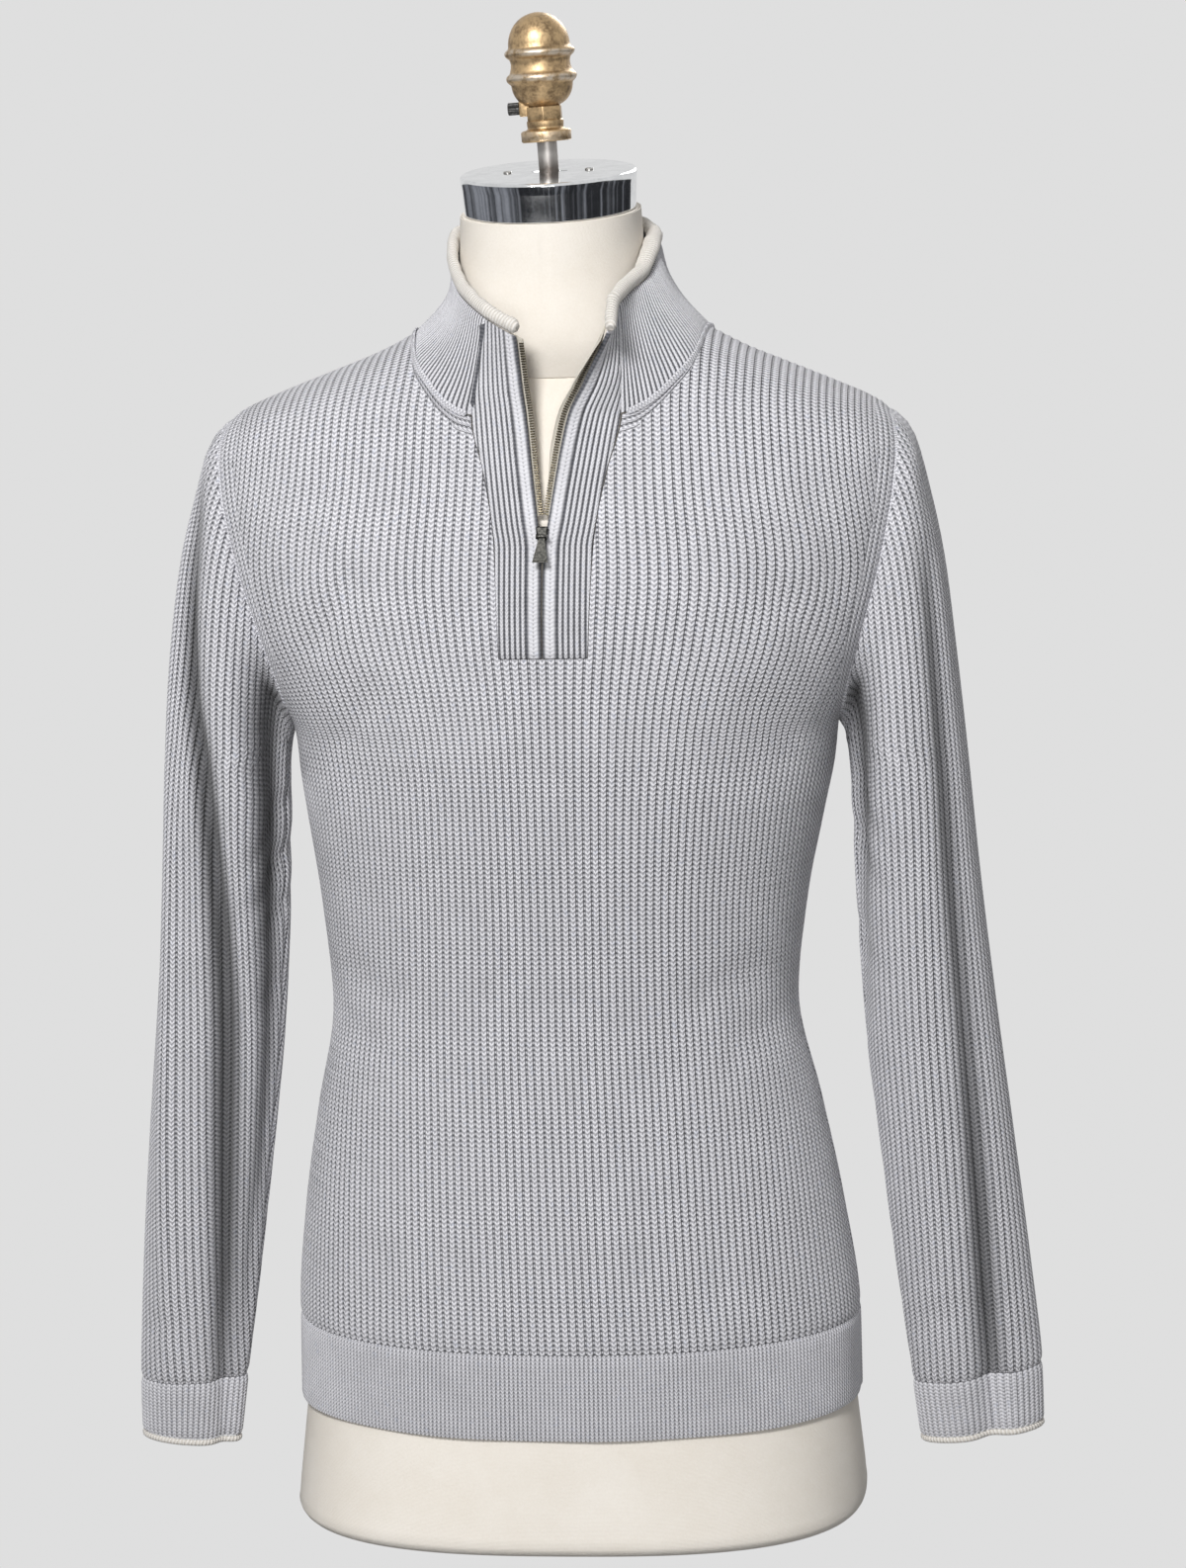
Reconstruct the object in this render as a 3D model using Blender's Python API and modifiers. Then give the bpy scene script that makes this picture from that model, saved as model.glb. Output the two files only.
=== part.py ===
"""Quarter zip sweater on a limbless dress form.

The sweater is cut and joined from knitted panels: front, back, two sleeves, hem bands, cuffs,
a stand-up collar and two placket bands with a zip between them. Every cloth piece is a wall
between a ribbed outer face and a plain inner face. The form is a solid padded body with a neck
cap, a rod and a turned finial.

Metres, +Z up, the front faces -Y and the wearer's left is +X. The origin is the centre of the
form's flat base.
"""
import math

import bmesh
import bpy
import numpy as np
from mathutils import Matrix, Vector

NAME = "quarter_zip_sweater"

# ------------------------------------------------------------------ heights
HEM_Z = 0.071            # lower edge of the hem band
HEM_TOP_Z = 0.127        # where the band meets the body
UNDERARM_Z = 0.512
YOKE_Z = 0.572           # bottom of the placket; above it the rows climb to the shoulder
COLLAR_CORNER_Z = 0.720  # where collar, placket and front meet
SHOULDER_SEAM_DEG = 95.0 # over-the-shoulder angle of the seam, 90 is the ridge

# ------------------------------------------------------------------ cloth
WALL = 0.0030            # knit, ridge to inner face
RIB_DEPTH = 0.0013
BAND_WALL = 0.0028       # hem band and cuffs
BAND_RIB_DEPTH = 0.0009
COLLAR_WALL = 0.0034
SEAM_GAP = 0.0004
SQUARENESS = 2.2         # exponent of the horizontal sections
STRIDE = 4               # outer columns for one inner column

# ------------------------------------------------------------------ ribs, counted per panel
SIDE_RIBS = 16           # on each side of the placket
SLOT_RIBS = 4            # in line with the placket
SHOULDER_RIBS = 10       # of the side ribs, those that reach the shoulder seam
HEM_RIBS = 56
CUFF_RIBS = 22
PLACKET_RIBS = 4
PLAIN_STRIP = 0.009      # flat edge of the placket beside the zip

BODY_LEVELS = [0.127, 0.220, 0.335, 0.440, 0.512, 0.542, 0.572]
YOKE_ROWS = 7
SLEEVE_CELLS = 2 * (YOKE_ROWS + 2)   # a sleeve's inner columns meet the panels' rows
COLLAR_ROWS = 3
COLLAR_STRIDE = 8
COLLAR_COLUMNS = 112     # two for each column of the neckline

# Body of the sweater, by height: half width, depth in front of and behind the side line.
TORSO = [
    dict(z=0.000, width=0.1862, front=0.1200, back=0.1240),
    dict(z=0.040, width=0.1858, front=0.1195, back=0.1240),
    dict(z=0.071, width=0.1846, front=0.1185, back=0.1235),
    dict(z=0.127, width=0.1842, front=0.1165, back=0.1240),
    dict(z=0.200, width=0.1761, front=0.1120, back=0.1190),
    dict(z=0.265, width=0.1645, front=0.1080, back=0.1060),
    dict(z=0.335, width=0.1513, front=0.1060, back=0.0930),
    dict(z=0.400, width=0.1572, front=0.1100, back=0.0980),
    dict(z=0.460, width=0.1672, front=0.1170, back=0.1090),
    dict(z=0.490, width=0.1723, front=0.1200, back=0.1140),
    dict(z=0.512, width=0.1745, front=0.1220, back=0.1170),
    dict(z=0.530, width=0.1810, front=0.1230, back=0.1185),
    dict(z=0.550, width=0.1900, front=0.1238, back=0.1200),
    dict(z=0.572, width=0.2013, front=0.1240, back=0.1210),
    dict(z=0.610, width=0.2170, front=0.1220, back=0.1215),
    dict(z=0.650, width=0.2290, front=0.1150, back=0.1180),
    dict(z=0.670, width=0.2320, front=0.1090, back=0.1130),
    dict(z=0.690, width=0.2295, front=0.1025, back=0.1060),
    dict(z=0.7048, width=0.2197, front=0.0980, back=0.1010),
    dict(z=0.7173, width=0.2041, front=0.0945, back=0.0965),
    dict(z=0.7298, width=0.1773, front=0.0905, back=0.0920),
    dict(z=0.7423, width=0.1458, front=0.0860, back=0.0875),
    dict(z=0.7548, width=0.1150, front=0.0810, back=0.0825),
    dict(z=0.7674, width=0.0924, front=0.0755, back=0.0770),
    dict(z=0.7800, width=0.0790, front=0.0700, back=0.0720),
    dict(z=0.8000, width=0.0690, front=0.0640, back=0.0660),
]

RIDGE_NECK = dict(x=0.0924, z=0.7674, slope=0.557)   # inwards of x the ridge is straight

# The garment hangs a little off its middle line: at its outer edges, and down its middle.
SWAY = [
    dict(z=0.127, edge=0.0000, middle=0.0000), dict(z=0.200, edge=-0.0022, middle=-0.0022),
    dict(z=0.265, edge=-0.0036, middle=-0.0036), dict(z=0.335, edge=-0.0048, middle=-0.0048),
    dict(z=0.400, edge=-0.0038, middle=-0.0042), dict(z=0.460, edge=-0.0016, middle=-0.0040),
    dict(z=0.505, edge=0.0000, middle=-0.0040), dict(z=0.580, edge=0.0000, middle=-0.0042),
    dict(z=0.647, edge=0.0000, middle=-0.0028), dict(z=0.716, edge=0.0000, middle=-0.0015),
    dict(z=0.750, edge=0.0024, middle=0.0000), dict(z=0.765, edge=0.0032, middle=0.0000),
    dict(z=0.785, edge=0.0012, middle=0.0000), dict(z=0.800, edge=0.0000, middle=0.0000),
]
SWAY_REACH = 0.120   # how far out the middle's share fades away

# Armhole seam from the underarm up to the yoke line, then by over-the-shoulder angle.
ARMHOLE_LOW = [
    dict(z=0.512, x=0.1745),
    dict(z=0.530, x=0.1778),
    dict(z=0.550, x=0.1825),
    dict(z=0.572, x=0.1885),
]
ARMHOLE_HIGH = [
    dict(angle=0.0, x=0.1885),
    dict(angle=15.0, x=0.1990),
    dict(angle=30.0, x=0.2063),
    dict(angle=45.0, x=0.2108),
    dict(angle=60.0, x=0.2125),
    dict(angle=75.0, x=0.2108),
    dict(angle=85.0, x=0.2088),
    dict(angle=95.0, x=0.2088),
]

# Neckline from the front corner over the ridge to the middle of the back.
NECKLINE_FRONT = [
    dict(t=0.00, x=0.0466, angle=42.0),
    dict(t=0.12, x=0.0570, angle=44.5),
    dict(t=0.34, x=0.0745, angle=53.5),
    dict(t=0.63, x=0.0885, angle=68.0),
    dict(t=1.00, x=0.0945, angle=95.0),
]
NECKLINE_BACK = [
    dict(t=0.00, x=0.0945, angle=85.0),
    dict(t=0.12, x=0.0880, angle=76.0),
    dict(t=0.30, x=0.0745, angle=66.0),
    dict(t=0.55, x=0.0480, angle=58.5),
    dict(t=0.80, x=0.0215, angle=56.0),
    dict(t=1.00, x=0.0000, angle=55.3),
]

# Placket bands by height: distance of both edges from the zip line, how far each edge
# stands off the chest, and how much higher the outer edge is than the inner one. The
# wearer's left band falls open further than the right one.
PLACKET_RIGHT = [
    dict(z=0.5724, inner=0.0004, outer=0.0273, lift_in=0.0010, lift_out=0.0010, rise=0.0),
    dict(z=0.6400, inner=0.0008, outer=0.0303, lift_in=0.0010, lift_out=0.0010, rise=0.0),
    dict(z=0.6540, inner=0.0030, outer=0.0318, lift_in=0.0015, lift_out=0.0010, rise=0.0),
    dict(z=0.6850, inner=0.0072, outer=0.0378, lift_in=0.0040, lift_out=0.0010, rise=0.0),
    dict(z=0.7200, inner=0.0117, outer=0.0463, lift_in=0.0090, lift_out=0.0010, rise=0.0),
    dict(z=0.7360, inner=0.0150, outer=0.0450, lift_in=0.0145, lift_out=0.0055, rise=0.002),
    dict(z=0.7520, inner=0.0172, outer=0.0425, lift_in=0.0215, lift_out=0.0140, rise=0.0055),
    dict(z=0.7685, inner=0.0190, outer=0.0390, lift_in=0.0310, lift_out=0.0275, rise=0.0102),
]
PLACKET_LEFT = [
    dict(z=0.5724, inner=0.0004, outer=0.0273, lift_in=0.0010, lift_out=0.0010, rise=0.0),
    dict(z=0.6400, inner=0.0008, outer=0.0303, lift_in=0.0010, lift_out=0.0010, rise=0.0),
    dict(z=0.6540, inner=0.0030, outer=0.0318, lift_in=0.0015, lift_out=0.0010, rise=0.0),
    dict(z=0.6850, inner=0.0080, outer=0.0378, lift_in=0.0045, lift_out=0.0010, rise=0.0),
    dict(z=0.7200, inner=0.0157, outer=0.0463, lift_in=0.0120, lift_out=0.0010, rise=0.0),
    dict(z=0.7360, inner=0.0236, outer=0.0460, lift_in=0.0175, lift_out=0.0070, rise=0.004),
    dict(z=0.7520, inner=0.0322, outer=0.0455, lift_in=0.0280, lift_out=0.0175, rise=0.0095),
    dict(z=0.7685, inner=0.0405, outer=0.0450, lift_in=0.0400, lift_out=0.0300, rise=0.0165),
]
PLACKET_LEVELS = [0.5724, 0.6050, 0.6400, 0.6540, 0.6690, 0.6850, 0.7020, 0.7200, 0.7360,
                  0.7520, 0.7685]

# Rim of the collar behind the two placket bands, from the wearer's right round the back to
# the left, by the fraction t of the way round.
COLLAR_RIM = [
    dict(t=0.07, x=-0.0507, y=-0.0740, z=0.7870),
    dict(t=0.13, x=-0.0600, y=-0.0500, z=0.7950),
    dict(t=0.20, x=-0.0662, y=-0.0150, z=0.8100),
    dict(t=0.25, x=-0.0668, y=0.0080, z=0.8185),
    dict(t=0.36, x=-0.0545, y=0.0400, z=0.8255),
    dict(t=0.50, x=-0.0015, y=0.0600, z=0.8300),
    dict(t=0.64, x=0.0540, y=0.0390, z=0.8255),
    dict(t=0.75, x=0.0660, y=0.0080, z=0.8185),
    dict(t=0.80, x=0.0662, y=-0.0120, z=0.8150),
    dict(t=0.87, x=0.0617, y=-0.0420, z=0.8010),
    dict(t=0.93, x=0.0548, y=-0.0600, z=0.7950),
]
COLLAR_HOLLOW = 0.0035      # how far the collar's middle draws in towards the neck
COLLAR_HOLLOW_RIGHT = 0.0080   # more of it on the wearer's right
HOLLOW_RIGHT_AT = 0.24         # where round the collar that is, and how far it spreads
HOLLOW_RIGHT_SPREAD = 0.11
COLLAR_FRONT_BLEND = 0.05      # share of the collar that eases into each placket band
COLLAR_FROM, COLLAR_TO = 0.008, 0.995   # heights of its edges, seam 0 to rim 1
COLLAR_TIPPING_HEIGHT = 0.0068
TIPPING_WALL = 0.0042
TIPPING_WALL_LEFT = 0.0068   # on the wearer's left, where the edge rolls over
TIPPING_LEFT_AT = 0.78       # where along the edge that is, and how far it spreads
TIPPING_LEFT_SPREAD = 0.12
TIPPING_END_STEPS = [0.0, 0.3, 0.65]   # its points across the end of a placket band
TIPPING_RIM_HEIGHT = 0.999
# Section of the rolled edge: share of its height, share of its wall from outside in.
TIPPING_SECTION = [(0.0, 0.03), (0.35, -0.15), (0.75, -0.08), (1.0, 0.28), (1.0, 0.70),
                   (0.75, 0.98), (0.35, 1.0), (0.0, 0.98)]

# Sleeve from the armhole to the cuff: the outer and inner edge of each ring in the front
# view, half its depth, and how far the armhole's own shape has turned into a plain oval.
SLEEVE = [
    dict(out_x=0.2225, out_z=0.7000, in_x=0.1767, in_z=0.5060, depth=0.0600, oval=0.15),
    dict(out_x=0.2345, out_z=0.6600, in_x=0.1784, in_z=0.4990, depth=0.0625, oval=0.40),
    dict(out_x=0.2433, out_z=0.6163, in_x=0.1795, in_z=0.4905, depth=0.0630, oval=0.65),
    dict(out_x=0.2494, out_z=0.5653, in_x=0.1803, in_z=0.4760, depth=0.0620, oval=0.85),
    dict(out_x=0.2560, out_z=0.5020, in_x=0.1814, in_z=0.4460, depth=0.0590, oval=1.0),
    dict(out_x=0.2645, out_z=0.4120, in_x=0.1840, in_z=0.3850, depth=0.0520, oval=1.0),
]
SLEEVE_LOWER = {   # from above the elbow to the sleeve's end, then the cuff's end
    "right": [
        dict(out_x=0.2728, out_z=0.3300, in_x=0.1890, in_z=0.3180, depth=0.0450, oval=1.0),
        dict(out_x=0.2814, out_z=0.2450, in_x=0.1980, in_z=0.2430, depth=0.0385, oval=1.0),
        dict(out_x=0.2890, out_z=0.1580, in_x=0.2100, in_z=0.1580, depth=0.0310, oval=1.0),
        dict(out_x=0.2940, out_z=0.0783, in_x=0.2221, in_z=0.0789, depth=0.0235, oval=1.0),
        dict(out_x=0.2945, out_z=0.0417, in_x=0.2277, in_z=0.0376, depth=0.0210, oval=1.0),
    ],
    "left": [
        dict(out_x=0.2736, out_z=0.3320, in_x=0.1888, in_z=0.3160, depth=0.0450, oval=1.0),
        dict(out_x=0.2841, out_z=0.2480, in_x=0.1973, in_z=0.2400, depth=0.0385, oval=1.0),
        dict(out_x=0.2946, out_z=0.1620, in_x=0.2075, in_z=0.1530, depth=0.0310, oval=1.0),
        dict(out_x=0.3024, out_z=0.0888, in_x=0.2175, in_z=0.0766, depth=0.0245, oval=1.0),
        dict(out_x=0.3035, out_z=0.0501, in_x=0.2222, in_z=0.0393, depth=0.0220, oval=1.0),
    ],
}
CUFF_TIPPING_HEIGHT = 0.0042
SLEEVE_END_Z = 0.045
ARMHOLE_DEPTH = 0.0560   # half depth of the armhole seam
ARMHOLE_CENTRE_Z = 0.615
NECK_MITRE_RISE = 0.35   # how far the neckline's wall direction tips up

# Lengthwise folds of the empty sleeves: at angle round the sleeve (0 outer edge, 90 front,
# 180 inner edge), deepest at the cuff and fading out at the given height.
SLEEVE_FOLDS = {
    "left": [dict(angle=84.0, spread=17.0, depth=0.0085, fade_z=0.300),
             dict(angle=262.0, spread=24.0, depth=0.0040, fade_z=0.340)],
    "right": [dict(angle=128.0, spread=24.0, depth=0.0050, fade_z=0.420),
              dict(angle=250.0, spread=24.0, depth=0.0045, fade_z=0.360)],
}

# Zip.
TAPE_WALL = 0.0010
TAPE_GAP = 0.0015           # between the tape and the back of the band
TAPE_WIDTH = 0.0110
TAPE_SHOWS = 0.0020         # tape and teeth beyond the knit edge
TAPE_LEVELS = [0.6600, 0.6690, 0.6850, 0.7020, 0.7200, 0.7360, 0.7520, 0.7670]
SLIDER_Z = 0.6495
SLIDER_WIDTH = 0.0078
SLIDER_HEIGHT = 0.0092
SLIDER_THICK = 0.0032
HINGE_Z = 0.6475
PIN_RADIUS = 0.00055
BARREL_RADIUS = 0.0014
BARREL_BORE = 0.00075
TAB_LENGTH = 0.0150
TAB_TOP_WIDTH = 0.0050
TAB_WIDTH = 0.0096
TAB_THICK = 0.0012
TAB_LEAN_DEG = 4.0
TAB_SHOULDER = 0.0009       # from the hinge axis down to the plate
TAB_BARREL_PLAY = 0.0012    # between the barrel's ends and the ears, both together
TAB_TOP_TAPER = 0.0008
TAB_LIP = dict(width=0.86, extra=0.0007, height=0.0022, down=0.93, out=0.0003, up=0.0012)
SLIDER_OFF_CHEST = 0.0021   # from the chest to the slider's back
SLIDER_TAPER = 0.72         # width of its foot over its head
SLIDER_BEVEL = 0.0008
BARREL_OFF = 0.0004         # between the barrel and the slider's face
EAR_RADIUS = 0.0016
EAR_THICK = 0.0009
EAR_OUT = 0.0006            # past the tab's top
EAR_FOOT = dict(depth=0.0012, height=0.0026)

# Form.
FORM_CLEARANCE = [
    dict(z=0.071, gap=0.0018),
    dict(z=0.127, gap=0.0026),
    dict(z=0.400, gap=0.0034),
    dict(z=0.512, gap=0.0056),
    dict(z=0.545, gap=0.0056),
    dict(z=0.640, gap=0.0038),
    dict(z=0.700, gap=0.0062),
    dict(z=0.742, gap=0.0085),
]
FORM_POINTS = 34
FORM_BASE = dict(width=0.1862, front=0.1360, back=0.1320)
FORM_BASE_RADIUS = 0.008
FORM_BASE_SQUARENESS = 2.7
FORM_BASE_STEPS_DEG = [0.0, 35.0, 75.0]   # round the rounded lower edge
ARM_PLATE_X = 0.1960
FORM_LEVELS = [0.071, 0.127, 0.265, 0.335, 0.400, 0.460, 0.512, 0.542, 0.572, 0.610, 0.650,
               0.680, 0.7000, 0.7173, 0.7298, 0.7400]
NECK = [
    dict(z=0.7530, width=0.0945, front=0.0700, back=0.0680),
    dict(z=0.7640, width=0.0765, front=0.0636, back=0.0610),
    dict(z=0.7760, width=0.0668, front=0.0602, back=0.0572),
    dict(z=0.7900, width=0.0610, front=0.0578, back=0.0545),
    dict(z=0.8080, width=0.0578, front=0.0560, back=0.0528),
    dict(z=0.8406, width=0.0562, front=0.0556, back=0.0526),
]

# Neck cap, rod and finial stand on one axis that leans a little to the wearer's right.
CAP_CENTRE = (-0.0031, -0.0015, 0.8408)   # middle of its underside
CAP_LEAN_DEG = -1.4
CAP_NOD_DEG = 6.5
CAP_RADIUS = 0.0560
CAP_FOOT_RADIUS = 0.0543
CAP_HEIGHT = 0.0245
CAP_EDGE = 0.0016
CAP_SCREW_OUT = 0.0258
CAP_SCREW_RADIUS = 0.0026
CAP_SCREW_HEAD = 0.0007
SEAT_GAP = 0.0003           # between hard pieces that are fastened together
CAP_FOOT_EDGE = 0.0004
CAP_HOLE_DEPTH = 0.040
ROD_RADIUS = 0.0063
ROD_BOTTOM_Z = 0.8530
FINIAL_LEAN_DEG = -3.4
FINIAL_BASE_Z = 0.8838
FINIAL_PROFILE = [
    dict(z=0.0000, r=0.0150), dict(z=0.0008, r=0.0157), dict(z=0.0060, r=0.0158),
    dict(z=0.0072, r=0.0146), dict(z=0.0090, r=0.0113), dict(z=0.0112, r=0.0116),
    dict(z=0.0128, r=0.0116), dict(z=0.0140, r=0.0102), dict(z=0.0218, r=0.0098),
    dict(z=0.0234, r=0.0124), dict(z=0.0262, r=0.0158), dict(z=0.0300, r=0.0181),
    dict(z=0.0340, r=0.0192), dict(z=0.0366, r=0.0198), dict(z=0.0384, r=0.0218),
    dict(z=0.0400, r=0.0223), dict(z=0.0416, r=0.0218), dict(z=0.0432, r=0.0199),
    dict(z=0.0490, r=0.0186), dict(z=0.0519, r=0.0194), dict(z=0.0536, r=0.0215),
    dict(z=0.0553, r=0.0222), dict(z=0.0570, r=0.0218), dict(z=0.0590, r=0.0195),
    dict(z=0.0650, r=0.0188), dict(z=0.0710, r=0.0163), dict(z=0.0760, r=0.0120),
    dict(z=0.0790, r=0.0070),
]
FINIAL_TOP_Z = 0.0802
FINIAL_SEGMENTS = 20
BOSS_Z = 0.0216             # height of the thumb screw above the finial's foot
BOSS_WIDTH = 0.0090
BOSS_OUT = 0.0155
BOSS_HEIGHT = 0.0105
SOCKET_DEPTH = 0.010        # how deep the finial sits on the rod
SCREW_BEVEL = 0.0006
SCREW_HEAD_RADIUS = 0.0038
SCREW_HEAD_LENGTH = 0.0064

COLOURS = {
    "knit": (0.47, 0.49, 0.54), "tipping": (0.86, 0.83, 0.76), "tape": (0.82, 0.79, 0.70),
    "gunmetal": (0.07, 0.07, 0.06), "canvas": (0.83, 0.77, 0.68), "chrome": (0.78, 0.79, 0.80),
    "steel": (0.42, 0.40, 0.38), "brass": (0.47, 0.34, 0.15), "iron": (0.05, 0.05, 0.05),
}


# ------------------------------------------------------------------ curves and surfaces
def curve(rows, key, column, at):
    """Smooth value of a column at key == at, with no overshoot between the rows."""
    xs = [row[key] for row in rows]
    ys = [row[column] for row in rows]
    at = min(max(at, xs[0]), xs[-1])
    i = min(int(np.searchsorted(xs, at, side="right")) - 1, len(xs) - 2)
    steps = [(ys[k + 1] - ys[k]) / (xs[k + 1] - xs[k]) for k in range(len(xs) - 1)]

    def slope(k):
        if k == 0:
            return steps[0]
        if k == len(steps):
            return steps[-1]
        if steps[k - 1] * steps[k] <= 0.0:
            return 0.0
        return 2.0 * steps[k - 1] * steps[k] / (steps[k - 1] + steps[k])

    width = xs[i + 1] - xs[i]
    t = (at - xs[i]) / width
    low, high = slope(i) * width, slope(i + 1) * width
    return ((2 * t**3 - 3 * t**2 + 1) * ys[i] + (t**3 - 2 * t**2 + t) * low
            + (3 * t**2 - 2 * t**3) * ys[i + 1] + (t**3 - t**2) * high)


def torso_depth(z, front):
    return curve(TORSO, "z", "front" if front else "back", z)


def torso_point(x, z, front):
    """Point of the sweater's outer face at a given x and height."""
    reach = max(0.0, 1.0 - (abs(x) / curve(TORSO, "z", "width", z)) ** SQUARENESS)
    y = torso_depth(z, front) * reach ** (1.0 / SQUARENESS)
    return Vector((x, -y if front else y, z))


def sway(x, z):
    """Sideways shift of the body at a point."""
    edge, middle = curve(SWAY, "z", "edge", z), curve(SWAY, "z", "middle", z)
    out = min(1.0, abs(x) / SWAY_REACH)
    return middle + (edge - middle) * out * out * (3.0 - 2.0 * out)


def torso_normal(point):
    """Outward normal of the torso at one of its points."""
    front = point.y < 0.0

    def level(x, y, z):
        return ((abs(x) / curve(TORSO, "z", "width", z)) ** SQUARENESS
                + (abs(y) / torso_depth(z, front)) ** SQUARENESS)

    step = 1e-5
    slope_z = (level(point.x, point.y, point.z + step)
               - level(point.x, point.y, point.z - step)) / (2 * step)
    width = curve(TORSO, "z", "width", point.z)
    depth = torso_depth(point.z, front)
    slope_x = SQUARENESS * (abs(point.x) / width) ** (SQUARENESS - 1) / width
    slope_y = SQUARENESS * (abs(point.y) / depth) ** (SQUARENESS - 1) / depth
    return Vector((math.copysign(slope_x, point.x), math.copysign(slope_y, point.y),
                   slope_z)).normalized()


def slice_points(z, front, fractions, edge_x):
    """Points of one horizontal section from -edge_x to edge_x at fractions of its length."""
    width = curve(TORSO, "z", "width", z)
    start = math.acos(min(1.0, (edge_x / width) ** (SQUARENESS / 2)))
    fine = []
    for k in range(401):
        angle = start + (math.pi - 2 * start) * k / 400
        x = -width * math.copysign(abs(math.cos(angle)) ** (2 / SQUARENESS), math.cos(angle))
        fine.append(torso_point(x, z, front))
    lengths = np.cumsum([0.0] + [(b - a).length for a, b in zip(fine, fine[1:])])
    xs = np.interp(np.array(fractions) * lengths[-1], lengths, [p.x for p in fine])
    return [torso_point(float(x), z, front) for x in xs]


def ridge_height(x):
    """Height of the shoulder ridge: where the torso is just as wide as x."""
    if x <= RIDGE_NECK["x"]:
        return RIDGE_NECK["z"] + (RIDGE_NECK["x"] - x) * RIDGE_NECK["slope"]
    low, high = 0.690, RIDGE_NECK["z"]
    for _ in range(40):
        middle = (low + high) / 2
        if curve(TORSO, "z", "width", middle) > x:
            low = middle
        else:
            high = middle
    return (low + high) / 2


def shoulder_point(x, angle, front):
    """Point above the yoke line by x and over-the-shoulder angle, 90 degrees at the ridge."""
    if angle > 90.0:
        front, angle = not front, 180.0 - angle
    ridge = ridge_height(abs(x))
    z = ridge - (ridge - YOKE_Z) * (1.0 - math.sin(math.radians(angle)))
    return torso_point(x, z, front)


def armhole_mitre(point):
    """Direction through the wall in which panel and sleeve meet at the armhole."""
    return Vector((0.0, point.y, point.z - ARMHOLE_CENTRE_Z)).normalized()


def neck_mitre(point):
    """Direction through the wall in which panel and collar meet at the neckline."""
    around = Vector((point.x, point.y, 0.0)).normalized()
    return (torso_normal(point) + around + Vector((0.0, 0.0, NECK_MITRE_RISE))).normalized()


# ------------------------------------------------------------------ meshes and materials
def material(name, metallic, roughness):
    made = bpy.data.materials.new(name)
    made.use_nodes = True
    shader = made.node_tree.nodes["Principled BSDF"]
    shader.inputs["Base Color"].default_value = (*COLOURS[name], 1.0)
    shader.inputs["Roughness"].default_value = roughness
    shader.inputs["Metallic"].default_value = metallic
    made.diffuse_color = (*COLOURS[name], 1.0)
    return made


def make_object(name, points, faces, finish):
    if not name.startswith(("sleeve", "cuff")):
        points = [(p[0] + sway(p[0], p[2]), p[1], p[2]) for p in points]
    mesh = bpy.data.meshes.new(name)
    mesh.from_pydata([tuple(p) for p in points], [], faces)
    return adopt(name, mesh, finish)


def adopt(name, mesh, finish):
    """Name, finish and parent one closed mesh, with its faces pointing out."""
    mesh.name = name
    shape = bmesh.new()
    shape.from_mesh(mesh)
    bmesh.ops.recalc_face_normals(shape, faces=shape.faces)
    shape.to_mesh(mesh)
    shape.free()
    mesh.materials.clear()
    mesh.materials.append(finish)
    made = bpy.data.objects.new(name, mesh)
    COLLECTION.objects.link(made)
    made.parent = ROOT
    return made


def wall(name, grid, finish, thick, rib, stride=STRIDE, closed=False, skip=None, plain=None):
    """Wall between a ribbed outer face and a plain inner face.

    grid[row][column] is (point, direction through the wall). Even columns are the valleys
    between ribs. thick is one wall thickness or a list by row. skip(row, coarse column)
    leaves cells out; plain(column) has no rib.
    """
    columns = len(grid[0])
    coarse = columns // stride if closed else (columns - 1) // stride
    points, outer, inner = [], {}, {}

    def outer_at(row, column):
        column = column % columns if closed else column
        if (row, column) not in outer:
            point, through = grid[row][column]
            sunk = rib if column % 2 == 0 and not (plain and plain(column)) else 0.0
            outer[row, column] = len(points)
            points.append(point - through * sunk)
        return outer[row, column]

    def inner_at(row, cell):
        cell = cell % coarse if closed else cell
        if (row, cell) not in inner:
            point, through = grid[row][cell * stride]
            inner[row, cell] = len(points)
            points.append(point - through * (thick[row] if isinstance(thick, list) else thick))
        return inner[row, cell]

    def kept(row, cell):
        if closed:
            cell %= coarse
        inside = 0 <= row < len(grid) - 1 and 0 <= cell < coarse
        return inside and not (skip and skip(row, cell))

    faces = []

    def end_strip(row, cell):
        """Close the wall between one inner edge and the outer points over it."""
        a, b = inner_at(row, cell), inner_at(row, cell + 1)
        over = [outer_at(row, cell * stride + k) for k in range(stride + 1)]
        half = stride // 2
        faces.extend((a, over[k], over[k + 1]) for k in range(half))
        faces.append((a, over[half], b))
        faces.extend((b, over[k], over[k + 1]) for k in range(half, stride))

    for row in range(len(grid) - 1):
        for cell in range(coarse):
            if not kept(row, cell):
                continue
            first = cell * stride
            for column in range(first, first + stride):
                faces.append((outer_at(row, column), outer_at(row, column + 1),
                              outer_at(row + 1, column + 1), outer_at(row + 1, column)))
            faces.append((inner_at(row, cell), inner_at(row, cell + 1),
                          inner_at(row + 1, cell + 1), inner_at(row + 1, cell)))
            if not kept(row - 1, cell):
                end_strip(row, cell)
            if not kept(row + 1, cell):
                end_strip(row + 1, cell)
            for side, column in ((cell - 1, first), (cell + 1, first + stride)):
                if not kept(row, side):
                    edge = cell if column == first else cell + 1
                    faces.append((outer_at(row, column), outer_at(row + 1, column),
                                  inner_at(row + 1, edge), inner_at(row, edge)))
    return make_object(name, points, faces, finish)


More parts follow.
